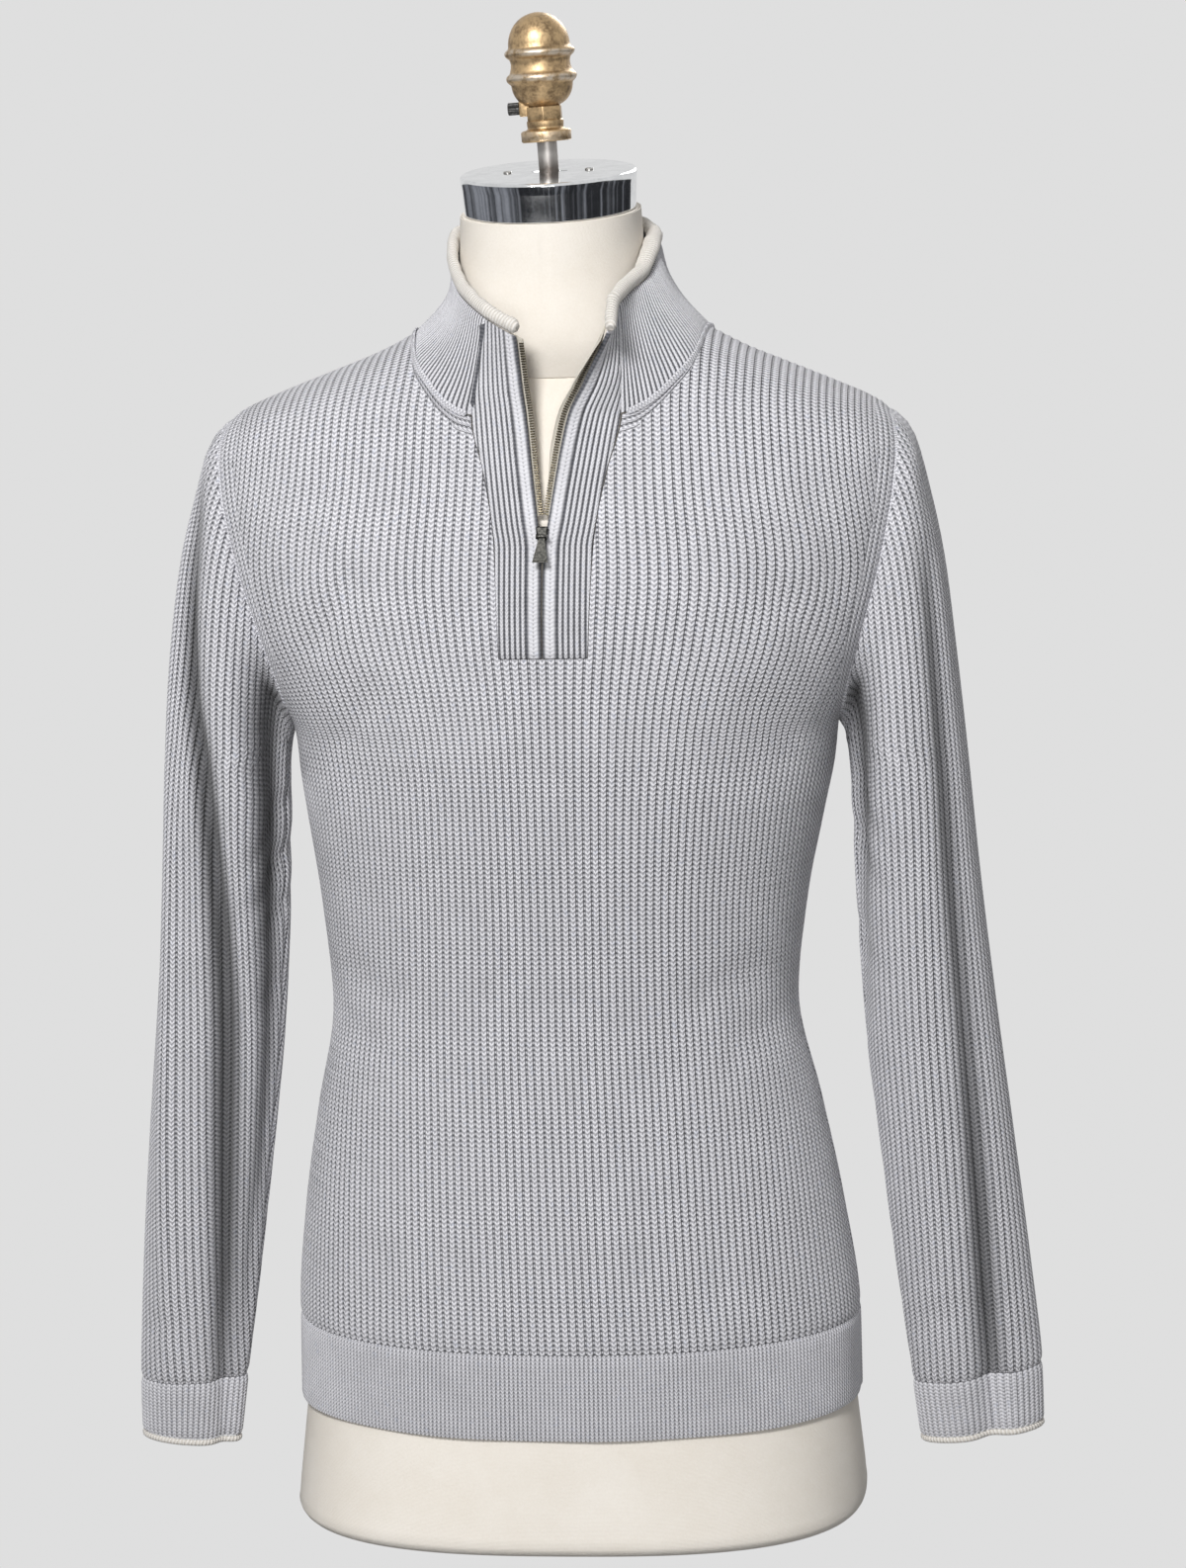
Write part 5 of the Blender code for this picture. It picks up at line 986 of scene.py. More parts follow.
# Tube through such rows, roll[around][along]: closed along, or open with flat caps.
def rollPiece(name, roll, closed=True):
    around, count = roll.shape[:2]
    faces, corners = [], []
    for a in range(around):
        b = (a + 1) % around
        for k in range(count if closed else count - 1):
            n = (k + 1) % count
            faces.append([a * count + k, a * count + n, b * count + n, b * count + k])
            corners += [(k, a), (k + 1, a), (k + 1, a + 1), (k, a + 1)]
    for k in () if closed else (0, count - 1):
        faces.append([a * count + k for a in range(around)])
        corners += [(k, a) for a in range(around)]
    mesh = bpy.data.meshes.new(name)
    mesh.from_pydata(roll.reshape(-1, 3).tolist(), [], faces)
    layer = mesh.uv_layers.new(name="knit")
    scale = lineArcs(roll[0])[-1] / rollStitch / count
    flat = np.array([(k * scale, a * 3.0 / around) for k, a in corners])
    layer.data.foreach_set("uv", flat.astype(np.float32).ravel())
    return finishMesh(name, mesh)


# placket bands, collar and its edge
bandKnit = {"wall": 0.0030, "ribDepth": 0.00095, "strip": 0.0092, "ribPitch": 0.0034,
            "columns": 60, "rowStep": 0.0050, "stitchRow": 0.0025, "stripSink": 0.0002,
            "stripDip": (0.0007, 0.0010), "outerDip": (0.0011, 0.0018),
            "zipDip": (0.0007, 0.0009), "footDip": (0.0011, 0.0014)}
collarKnit = {"wall": 0.0032, "ribDepth": 0.0008, "ribs": 152, "columnsPerRib": 5,
              "hollow": 0.0035, "hollowRight": 0.0080, "frontBlend": 0.05,
              "stitchRow": 0.0025, "sideDip": (0.0011, 0.0016), "lowDip": (0.0008, 0.0020),
              "topDip": (0.0008, 0.0018), "buckle": 0.0011}
collarRim = table("t x y z",
    (0.07, -0.0507, -0.0740, 0.7870), (0.13, -0.0600, -0.0500, 0.7950),
    (0.20, -0.0662, -0.0150, 0.8100), (0.25, -0.0668, 0.0080, 0.8185),
    (0.36, -0.0545, 0.0400, 0.8255), (0.50, -0.0015, 0.0600, 0.8300),
    (0.64, 0.0540, 0.0390, 0.8255), (0.75, 0.0660, 0.0080, 0.8185),
    (0.80, 0.0662, -0.0120, 0.8150), (0.87, 0.0617, -0.0420, 0.8010),
    (0.93, 0.0548, -0.0600, 0.7950))
bandTopZ = 0.7685


# Outer face of a placket band, across 0 at the zip and 1 at its outer edge.
def bandPoint(side, across, z):
    across, z = np.broadcast_arrays(np.asarray(across, float), np.asarray(z, float))
    value = {key: curve(z) for key, curve in bandCurves[side].items()}
    x = value["inner"] + (value["outer"] - value["inner"]) * across
    chest = torsoPoint(side * x, z + value["rise"] * across, True)
    chest[..., 1] -= value["liftIn"] + (value["liftOut"] - value["liftIn"]) * across
    return chest


def bandNormal(side, across, z):
    step = 1e-4
    over = bandPoint(side, across + step, z) - bandPoint(side, across - step, z)
    up = bandPoint(side, across, z + step) - bandPoint(side, across, z - step)
    normal = unit(np.cross(over, up))
    facing = normal @ np.array([side, -1.0, 0.0])
    return np.where(facing[..., None] > 0.0, normal, -normal)


def makeBand(side, word, finish):
    low = placketRight[0]["z"]
    heights = seamedSteps(low, bandTopZ, bandKnit["rowStep"], (0.0009, 0.0020, 0.0040))
    share = np.linspace(0, 1, bandKnit["columns"] + 1)
    z, across = heights[:, None], share[None]
    grid = bandPoint(side, across, z)
    normals = bandNormal(side, across * np.ones_like(z), z * np.ones_like(across))
    fromZip = rowArcs(grid)
    strip = bandKnit["strip"]
    ribs = np.where(fromZip < strip, fromZip / strip, 1 + (fromZip - strip) / bandKnit["ribPitch"])
    relief = np.where(fromZip < strip, -bandKnit["stripSink"],
                      ribRelief(ribs, bandKnit["ribDepth"]))
    for distance, key in ((fromZip - strip, "stripDip"), (fromZip[:, -1:] - fromZip, "outerDip"),
                          (fromZip, "zipDip"), (z - low, "footDip")):
        relief = relief + seamDip(distance, *bandKnit[key])
    rows = columnArcs(grid) / bandKnit["stitchRow"]
    made = swayedShell("placketBand" + word, grid, normals, relief, bandKnit["wall"], ribs, rows)
    return settle(made, "knit", finish, "placket_" + word.lower()), grid


# Neckline from the wearer's right front corner round the back to the left one.
def necklineLine(count):
    t = np.linspace(0, 1, 241)
    rightFront = shoulderPoint(-neckFrontX(t), neckFrontAngle(t), True)
    backRight = shoulderPoint(-neckBackX(t), neckBackAngle(t), False)[1:]
    half = np.concatenate([rightFront, backRight])
    mirror = half[::-1][1:] * np.array([-1.0, 1.0, 1.0])
    line = np.concatenate([half, mirror])
    # the seam's share counts columns: 12 on each front and 32 on the back
    shares = np.concatenate([t * 12, 12 + t[1:] * 16, 28 + t[1:] * 16, 44 + t[1:] * 12]) / 56
    spots = np.linspace(0, 1, count)
    return pointsAt(spots, shares, line)


def rimPoints(shares):
    ends = []
    for side, t in ((-1, 0.0), (1, 1.0)):
        point = bandPoint(side, 1.0, bandTopZ)
        ends.append(dict(t=t, x=float(point[0]), y=float(point[1]), z=float(point[2])))
    rows = [ends[0]] + collarRim + [ends[1]]
    return np.stack([smoothCurve(rows, "t", key)(shares) for key in "xyz"], axis=-1)


# Outer face of the collar, height 0 at the neckline and 1 at the rim.
def collarGrid(heights, count):
    shares = np.linspace(0, 1, count)
    low, high = necklineLine(count)[None], rimPoints(shares)[None]
    h = np.asarray(heights)[:, None, None]
    points = low + (high - low) * h
    around = low + high
    around = unit(around * np.array([1.0, 1.0, 0.0]))
    right = np.exp(-((shares - 0.24) / 0.11) ** 2)[None, :, None]
    hollow = collarKnit["hollow"] + collarKnit["hollowRight"] * right
    points = points - around * hollow * np.sin(np.pi * h)
    near = np.maximum(0.0, 1.0 - np.minimum(shares, 1 - shares) / collarKnit["frontBlend"])
    z = collarCornerZ + (bandTopZ - collarCornerZ) * np.asarray(heights)[:, None]
    for side, half in ((-1, shares < 0.5), (1, shares >= 0.5)):
        weight = (near**2 * half)[None, :, None]
        edge = bandPoint(side, 1.0, z)
        points = points * (1 - weight) + edge * weight
    return points


def makeCollar(finish):
    count = collarKnit["ribs"] * collarKnit["columnsPerRib"] + 1
    heights = np.array([0.006, 0.03, 0.07, 0.14, 0.22, 0.31, 0.40, 0.49, 0.58, 0.67, 0.76, 0.85,
                        0.92, 0.965, 0.995])
    grid = collarGrid(heights, count)
    normals = gridNormals(grid, False, bodyMiddle)
    arcs = rowArcs(grid)
    shares = arcs.mean(axis=0) / arcs.mean(axis=0)[-1]
    ribs = np.broadcast_to(shares * collarKnit["ribs"], grid.shape[:2])
    rows = columnArcs(grid) / collarKnit["stitchRow"]
    buckle = (collarKnit["buckle"] * np.sin(shares * 31.0 + 0.7)
              * np.sin(np.pi * heights)[:, None])
    relief = ribRelief(ribs, collarKnit["ribDepth"]) + edgeDips(grid, collarKnit) + buckle
    wall = collarKnit["wall"] - buckle
    made = swayedShell("standCollar", grid, normals, relief, wall, ribs, rows)
    return settle(made, "knit", finish, "collar"), grid


edgeRoll = {"wall": 0.0058, "wallLeft": 0.0098, "leftAt": 0.78, "leftReach": 0.12,
            "height": 0.0086, "lift": 0.0006, "around": 12, "count": 420}


# Line along the collar's open edge with its outward and upward directions.
def edgeFrames(count):
    ends = np.linspace(0, 1, 40)
    rightEnd = bandPoint(-1, ends, bandTopZ)[:-1]
    leftEnd = bandPoint(1, ends[::-1], bandTopZ)[1:]
    rim = collarGrid([0.999], 400)[0]
    line = np.concatenate([rightEnd, rim, leftEnd])
    lengths = lineArcs(line)
    spots = np.linspace(0, lengths[-1], count)
    line = pointsAt(spots, lengths, line)
    for _ in range(3):   # eases the corners where band and collar meet
        line[1:-1] = (line[:-2] + 2 * line[1:-1] + line[2:]) / 4
    below = collarGrid([0.93], 400)[0]
    foot = np.concatenate([bandPoint(-1, ends, bandTopZ - 0.004)[:-1], below,
                           bandPoint(1, ends[::-1], bandTopZ - 0.004)[1:]])
    foot = pointsAt(spots, lengths, foot)
    along = unit(np.gradient(line, axis=0))
    up = unit(line - foot)
    up = unit(up - along * np.sum(up * along, axis=1, keepdims=True))
    out = np.cross(along, up)
    away = line * np.array([1.0, 1.0, 0.0])
    out = np.where(np.sum(out * away, axis=1, keepdims=True) < 0, -out, out)
    return line, unit(out), up, spots


def makeEdgeRoll(finish):
    line, out, up, spots = edgeFrames(edgeRoll["count"])
    share = spots / spots[-1]
    left = np.exp(-((share - edgeRoll["leftAt"]) / edgeRoll["leftReach"]) ** 2)
    wall = edgeRoll["wall"] + (edgeRoll["wallLeft"] - edgeRoll["wall"]) * left
    wall = wall * (1 + 0.05 * np.sin(spots * 410.0) + 0.04 * np.sin(spots * 1130.0 + 1.0))
    height = edgeRoll["height"] * (1 + 0.04 * np.sin(spots * 260.0 + 0.5))
    squeeze = np.minimum(1.0, 0.55 + np.minimum(spots, spots[-1] - spots) / 0.006)
    middle = line + up * (height / 2 + edgeRoll["lift"])[:, None] - out * (wall * 0.40)[:, None]
    roll = tubeRows(middle, out, (wall * 0.62 * squeeze)[:, None], up,
                    (height * 0.54 * squeeze)[:, None], edgeRoll["around"])
    made = rollPiece("collarEdge", swayed(roll), closed=False)
    return settle(made, "tipping", finish, "collar_tipping")


weltShape = {"width": 0.0042, "height": 0.0008, "pitch": 0.0027, "perLink": 6, "around": 8,
             "off": 0.0004}


# Chain of lens-shaped loops that covers the neck seam.
def makeNeckWelt(finish):
    grid = collarGrid([0.0, 0.03], 420)
    line = swayed(grid[0])
    out = unit(gridNormals(grid, False, bodyMiddle)[0] + line * np.array([1.0, 1.0, 0.0]) * 6)
    line, out = (line + out * weltShape["off"])[6:-6], out[6:-6]
    lengths, perLink = lineArcs(line), weltShape["perLink"]
    spots = np.linspace(0, lengths[-1], int(lengths[-1] / weltShape["pitch"]) * perLink + 1)
    line, out = pointsAt(spots, lengths, line), unit(pointsAt(spots, lengths, out))
    side = unit(np.cross(out, unit(np.gradient(line, axis=0))))
    swell = 0.80 + 0.20 * np.sin(np.pi * (np.arange(len(spots)) % perLink) / perLink)
    swell *= np.minimum(1.0, 0.4 + np.minimum(spots, spots[-1] - spots) / 0.002)
    roll = tubeRows(line, side, weltShape["width"] / 2 * swell[:, None], out,
                    weltShape["height"] * swell[:, None], weltShape["around"])
    return settle(rollPiece("neckWelt", roll, closed=False), "knit", finish)


# zip
zipRun = {"tapeWall": 0.0010, "gap": 0.0015, "width": 0.0110, "shows": 0.0024,
          "guard": {-1: 0.0012, 1: 0.0034}, "low": 0.6600, "high": 0.7670,
          "toothPitch": 0.0016, "toothWidth": 0.0030, "toothThick": 0.0011,
          "toothBevel": 0.00018, "toothInset": 0.001, "toothOff": 0.0003,
          "weaveRow": 0.0007, "weavePitch": 0.0009}


def makeTape(side, word, finish):
    heights = np.linspace(zipRun["low"], zipRun["high"], 28)
    start = np.linspace(-zipRun["shows"], zipRun["width"] - zipRun["shows"], 8)
    grid = []
    for z in heights:
        width = float(np.linalg.norm(bandPoint(side, 1.0, z) - bandPoint(side, 0.0, z)))
        guard = zipRun["guard"][side] * min(1.0, max(0.05, (z - 0.668) / 0.03))
        reaches = np.concatenate([[start[0] - guard], start])
        across = reaches / width
        normal = bandNormal(side, np.maximum(across, 0.0), np.full_like(across, z))
        grid.append(bandPoint(side, across, z) - normal * (bandKnit["wall"] + zipRun["gap"]))
    grid = np.array(grid)
    normals = gridNormals(grid, False, bodyMiddle)
    facing = np.sum(normals * np.array([side, -1.0, 0.0]), axis=-1, keepdims=True)
    normals = np.where(facing < 0, -normals, normals)
    ribs = np.broadcast_to(reaches / zipRun["weavePitch"], grid.shape[:2])
    rows = columnArcs(grid) / zipRun["weaveRow"]
    made = swayedShell("zipTape" + word, grid, normals, 0.0, zipRun["tapeWall"], ribs, rows, 2)
    settle(made, "zip_tape", finish, "zip_tape_" + word.lower())
    return made, grid, normals


# Row of teeth clamped on the edge of a tape: copies of one tooth, joined.
def makeTeeth(word, finish, grid, normals):
    edge, out = swayed(grid)[:, 1], normals[:, 1]
    lengths = lineArcs(edge)
    inset, pitch = zipRun["toothInset"], zipRun["toothPitch"]
    spots = inset + np.arange(int((lengths[-1] - 2 * inset) / pitch)) * pitch
    place = pointsAt(spots, lengths, edge)
    facing = unit(pointsAt(spots, lengths, out))
    along = unit(np.gradient(place, axis=0))
    size = (zipRun["toothWidth"], zipRun["toothThick"], zipRun["toothPitch"] * 0.58)
    first = boxPiece("tooth" + word, size, (0, 0, 0), zipRun["toothBevel"], 1)
    shape, pieces = first.data, []
    for k in range(len(spots)):
        up, front = Vector(along[k]), -Vector(facing[k])
        right = front.cross(up).normalized()
        turn = Matrix((right, right.cross(up).normalized() * -1, up)).transposed()
        spot = Vector(place[k]) + Vector(facing[k]) * zipRun["toothOff"]
        copied = shape.copy()
        copied.transform(Matrix.Translation(spot) @ turn.to_4x4())
        piece = bpy.data.objects.new(f"tooth{word}{k}", copied)
        bpy.context.scene.collection.objects.link(piece)
        pieces.append(piece)
    bpy.data.objects.remove(first)
    selectOnly(*pieces)
    bpy.ops.object.join()
    made = bpy.context.object
    made.name = made.data.name = "zipTeeth" + word
    return settle(made, "gunmetal", finish)


# Canvas cover of the form: neck and shoulders above, skirt below.
coverShape = {"wall": 0.0007, "off": 0.0009, "columns": 176, "thread": 0.0006,
              "seamGroove": 0.00072, "seamHalf": 0.0011, "baseRound": 0.008, "baseSquare": 2.7,
              "baseSeamZ": 0.0105, "baseSeamHalf": 0.0016, "baseGroove": 0.0005,
              "underHem": 0.0048, "topInset": 0.0056, "topZ": 0.124}
neckRows = table("z width front back",
    (0.7400, 0.1385, 0.0745, 0.0760), (0.7530, 0.0945, 0.0700, 0.0680),
    (0.7640, 0.0765, 0.0636, 0.0610), (0.7760, 0.0668, 0.0602, 0.0572),
    (0.7900, 0.0610, 0.0578, 0.0545), (0.8080, 0.0578, 0.0560, 0.0528),
    (0.8406, 0.0562, 0.0556, 0.0526))
capCentre = (-0.0031, -0.0015, 0.8408)
capLean, capNod = math.radians(-1.4), math.radians(6.5)
capTurn = Matrix.Rotation(capLean, 4, "Y") @ Matrix.Rotation(capNod, 4, "X")
capPlace = Matrix.Translation(capCentre) @ capTurn


def ovalRing(z, width, front, back, count, power=squareness):
    angles = 2 * math.pi * np.arange(count) / count
    c, s = np.cos(angles), np.sin(angles)
    x = width * np.sign(c) * np.abs(c) ** (2 / power)
    y = np.where(s < 0, front, back) * np.sign(s) * np.abs(s) ** (2 / power)
    return np.stack([x, y, np.full(count, z)], axis=-1)


def coverWall(name, grid, finish, grooves):
    normals = gridNormals(grid, True, ringMiddle)
    outer = grid + normals * (coverShape["off"] - grooves)[..., None]
    inner = (grid + normals * (coverShape["off"] - coverShape["wall"]))[:, ::2]
    thread = coverShape["thread"]
    made = clothShell(name, outer, inner, rowArcs(closedRing(grid)) / thread,
                      ringRows(grid, thread), 2, closed=True)
    settle(made, "canvas", finish)
    declareCloth(made, grid, closed=True)


def makeNeckCover(finish):
    count = coverShape["columns"]
    tops = np.array([0.7406, 0.7425, 0.7450, 0.7475, 0.7500, 0.7530, 0.7555, 0.7580, 0.7610,
                     0.7640, 0.7680, 0.7720, 0.7760, 0.7800, 0.7845, 0.7900, 0.7960, 0.8020,
                     0.8080, 0.8140, 0.8200, 0.8260, 0.8320, 0.8370, 0.8395, 0.8403])
    curves = curvesOf(neckRows, "z").values()
    lean = np.array(capTurn.to_3x3())
    turnedAt = smoothCurve([dict(row, turned=k / 6) for k, row in enumerate(neckRows)], "z",
                           "turned")
    rings = []
    for z in tops:
        ring = ovalRing(z, *[float(curve(z)) for curve in curves], count)
        turned = float(turnedAt(z))
        arm = ring - np.array([0.0, 0.0, z])
        tilted = arm @ lean.T
        rings.append(np.array([capCentre[0] * turned, 0.0, z]) + arm * (1 - turned)
                     + tilted * turned)
    grid = np.array(rings)
    # a centre seam in front and behind
    x = grid[..., 0] - capCentre[0] * 0.8
    grooves = coverShape["seamGroove"] * np.exp(-(x / coverShape["seamHalf"]) ** 2)
    coverWall("neckCover", grid, finish, grooves)


def makeSkirtCover(finish):
    count, bend, power = coverShape["columns"], coverShape["baseRound"], coverShape["baseSquare"]
    base = np.array([0.1862, 0.1360, 0.1320])    # half width, front and back
    rounds = np.radians([0, 12, 25, 35, 50, 65, 80])
    rings = [ovalRing(bend * (1 - math.cos(a)), *(base - bend * (1 - math.sin(a))), count, power)
             for a in rounds]

    def under(z, inset):     # ring inside the cloth
        sides = np.array([torsoWidth(z), torsoFront(z), torsoBack(z)]) - inset
        return ovalRing(z, *sides, count)

    low = ovalRing(bend * (1 - math.cos(rounds[-1])), *base, count, power)
    top = under(hemZ, coverShape["underHem"])
    high = under(coverShape["topZ"], coverShape["topInset"])
    rings += [low + (top - low) * k / 12 for k in range(1, 13)]
    rings += [top + (high - top) * k / 4 for k in range(1, 5)]
    grid = np.array(rings)
    off = (grid[..., 2] - coverShape["baseSeamZ"]) / coverShape["baseSeamHalf"]
    coverWall("skirtCover", grid, finish, coverShape["baseGroove"] * np.exp(-off ** 2))


# Hard pieces, shaped from primitives.
def selectOnly(*pieces):
    bpy.ops.object.select_all(action="DESELECT")
    for piece in pieces:
        piece.select_set(True)
    bpy.context.view_layer.objects.active = pieces[0]


# Opens the active mesh with all of it selected.
def openMesh():
    bpy.ops.object.mode_set(mode="EDIT")
    bpy.ops.mesh.select_all(action="SELECT")


def startPiece(name, add, **how):
    bpy.ops.object.select_all(action="DESELECT")
    add(**how)
    made = bpy.context.object
    made.name = made.data.name = name
    return made


def finishPiece(made, place=None, sharpDeg=35.0):
    selectOnly(made)
    bpy.ops.object.transform_apply(location=True, rotation=True, scale=True)
    openMesh()
    bpy.ops.mesh.normals_make_consistent(inside=False)
    bpy.ops.object.mode_set(mode="OBJECT")
    bpy.ops.object.shade_smooth_by_angle(angle=math.radians(sharpDeg))
    if place is not None:
        made.data.transform(place)
    return made


# Turned piece: a disc extruded up through (height, radius) rows.
def turnedPiece(name, rows, segments, place, sharpDeg=35.0):
    made = startPiece(name, bpy.ops.mesh.primitive_circle_add, vertices=segments,
                      radius=rows[0][1], fill_type="NGON", location=(0, 0, rows[0][0]))
    openMesh()
    for (z0, r0), (z1, r1) in zip(rows, rows[1:]):
        bpy.ops.mesh.extrude_region_move(TRANSFORM_OT_translate={"value": (0, 0, z1 - z0)})
        bpy.ops.transform.resize(value=(r1 / r0, r1 / r0, 1.0))
    bpy.ops.object.mode_set(mode="OBJECT")
    return finishPiece(made, place, sharpDeg)


# Subtracts or joins helpers and removes them.
def joinShapes(made, helpers, operation):
    for helper in helpers:
        change = made.modifiers.new("cut", "BOOLEAN")
        change.operation, change.solver, change.object = operation, "EXACT", helper
        selectOnly(made)
        bpy.ops.object.modifier_apply(modifier=change.name)
        bpy.data.objects.remove(helper)


def boxPiece(name, size, centre, bevel=0.0, segments=2):
    made = startPiece(name, bpy.ops.mesh.primitive_cube_add, size=1.0, location=centre)
    openMesh()
    bpy.ops.transform.resize(value=size)
    if bevel:
        bpy.ops.mesh.bevel(offset=bevel, segments=segments, affect="EDGES")
    bpy.ops.object.mode_set(mode="OBJECT")
    return made


# Turns the mesh data, so the object itself stays unturned.
def turnMesh(made, axis, degrees):
    selectOnly(made)
    bpy.ops.object.transform_apply(location=True, rotation=True, scale=True)
    made.data.transform(Matrix.Rotation(math.radians(degrees), 4, axis))


capPiece = {"foot": 0.0543, "radius": 0.0560, "height": 0.0245, "edge": 0.0018, "segments": 144,
            "notch": 0.0034, "notchOut": 0.0112}
rodPiece = {"radius": 0.0063, "play": 0.0004, "low": 0.8530, "segments": 48}
# height of each painted highlight ring on the beads, where it begins to fade and where it ends,
# and its strength
finialPiece = {"lean": -3.4, "base": 0.8838, "segments": 72,
               "highlightRings": ((0.0400, 0.0010, 0.0030, 1.0), (0.0553, 0.0010, 0.0028, 1.0),
                             (0.0035, 0.0020, 0.0036, 0.5))}
screwPiece = {"radius": 0.0027, "out": 0.0258, "height": 0.0009, "slot": 0.0007}


def rodPlace(z):
    lean = math.radians(finialPiece["lean"])
    x = capCentre[0] + math.tan(lean) * (z - capCentre[2] - capPiece["height"])
    y = capCentre[1] - capPiece["height"] * math.sin(capNod)
    return Matrix.Translation((x, y, z)) @ Matrix.Rotation(lean, 4, "Y")


def makeCap(finish):
    r, h, e, foot = (capPiece[key] for key in ("radius", "height", "edge", "foot"))
    rows = [(0.0, foot - 0.0005), (0.0005, foot), (h * 0.35, foot + (r - foot) * 0.35),
            (h * 0.70, foot + (r - foot) * 0.70), (h - e, r),
            (h - e * 0.70, r - e * 0.06), (h - e * 0.40, r - e * 0.22),
            (h - e * 0.15, r - e * 0.50), (h - e * 0.02, r - e * 0.85), (h, r - e * 1.2),
            (h + 0.00005, r * 0.6), (h + 0.0001, r * 0.25)]
    cap = turnedPiece("chromeCap", rows, capPiece["segments"], capPlace, 30.0)
    low = rodPlace(rodPiece["low"] - 0.0003)
    holeRadius = rodPiece["radius"] + rodPiece["play"]
    hole = turnedPiece("rodHole", [(0.0, holeRadius), (0.04, holeRadius)], 48, low)
    slot = boxPiece("keySlot", (2 * capPiece["notchOut"], capPiece["notch"], 0.05),
                    (0.0, 0.0, 0.028), 0.0006)
    finishPiece(slot, low)
    joinShapes(cap, [hole, slot], "DIFFERENCE")
    bpy.ops.object.shade_smooth_by_angle(angle=math.radians(30.0))
    settle(cap, "chrome", finish, "neck_cap")


def makeScrew(side, word, finish):
    s = screwPiece
    base = capPlace @ Matrix.Translation((side * s["out"], 0.0, capPiece["height"] + 0.0002))
    rows = [(0.0, s["radius"]), (s["height"] * 0.5, s["radius"]),
            (s["height"] * 0.85, s["radius"] * 0.9), (s["height"], s["radius"] * 0.7)]
    head = turnedPiece("capScrew" + word, rows, 32, base)
    slot = boxPiece("screwSlot", (2.4 * s["radius"], s["slot"], 0.0008), (0, 0, s["height"]))
    turnMesh(slot, "Z", 35.0 if side < 0 else -22.0)
    slot.data.transform(base)
    joinShapes(head, [slot], "DIFFERENCE")
    settle(head, "steel", finish, "cap_screw_" + word.lower())


def makeRod(finish):
    r, length = rodPiece["radius"], finialPiece["base"] + 0.0097 - rodPiece["low"]
    rows = [(0.0, r - 0.0006), (0.0006, r), (length * 0.4, r), (length * 0.8, r),
            (length - 0.0004, r), (length, r - 0.0004)]
    made = turnedPiece("steelRod", rows, rodPiece["segments"], rodPlace(rodPiece["low"]))
    settle(made, "steel", finish, "rod")


finialRows = [
    (0.0000, 0.0150), (0.0004, 0.0154), (0.0008, 0.0157), (0.0060, 0.0158), (0.0067, 0.0154),
    (0.0072, 0.0146), (0.0076, 0.0125), (0.0083, 0.0115), (0.0090, 0.0113), (0.0098, 0.0115),
    (0.0112, 0.0116), (0.0128, 0.0116), (0.0134, 0.0111), (0.0140, 0.0102), (0.0160, 0.0099),
    (0.0190, 0.0098), (0.0218, 0.0098), (0.0226, 0.0107), (0.0234, 0.0124), (0.0247, 0.0143),
    (0.0262, 0.0158), (0.0280, 0.0171), (0.0300, 0.0181), (0.0320, 0.0188), (0.0340, 0.0192),
    (0.0356, 0.0194), (0.0362, 0.0197), (0.0370, 0.0206), (0.0378, 0.0214), (0.0388, 0.0220),
    (0.0400, 0.0223), (0.0412, 0.0220), (0.0420, 0.0214), (0.0427, 0.0205), (0.0432, 0.0199),
    (0.0448, 0.0193), (0.0468, 0.0188), (0.0490, 0.0186), (0.0508, 0.0189), (0.0519, 0.0194),
    (0.0524, 0.0200), (0.0531, 0.0209), (0.0540, 0.0217), (0.0553, 0.0222), (0.0564, 0.0220),
    (0.0573, 0.0213), (0.0580, 0.0204), (0.0586, 0.0197), (0.0594, 0.0194), (0.0620, 0.0193),
    (0.0650, 0.0188), (0.0680, 0.0178), (0.0710, 0.0163), (0.0735, 0.0145), (0.0757, 0.0123),
    (0.0775, 0.0098), (0.0788, 0.0071), (0.0797, 0.0042), (0.0802, 0.0014),
]


def makeFinial(finish):
    foot = rodPlace(finialPiece["base"])
    body = turnedPiece("brassFinial", finialRows, finialPiece["segments"], None, 40.0)
    waist = startPiece("waist", bpy.ops.mesh.primitive_cylinder_add, vertices=6, radius=0.0121,
                       depth=0.0086, location=(0, 0, 0.0176))
    openMesh()
    bpy.ops.mesh.bevel(offset=0.0005, segments=2, affect="EDGES")
    bpy.ops.object.mode_set(mode="OBJECT")
    finishPiece(waist)
    boss = finishPiece(boxPiece("boss", (0.0155, 0.0090, 0.0105), (-0.00775, 0, 0.0216), 0.0010))
    joinShapes(body, [waist, boss], "UNION")
    socket = turnedPiece("socket", [(-0.01, rodPiece["radius"] + 0.0003),
                                    (0.0099, rodPiece["radius"] + 0.0003)], 48, None)
    joinShapes(body, [socket], "DIFFERENCE")
    bpy.ops.object.shade_smooth_by_angle(angle=math.radians(38.0))
    body.data.transform(foot)
    settle(body, "brass", finish, "finial")


thumbPiece = {"radius": 0.0039, "length": 0.0066, "ridges": 24, "out": 0.0158, "height": 0.0216}


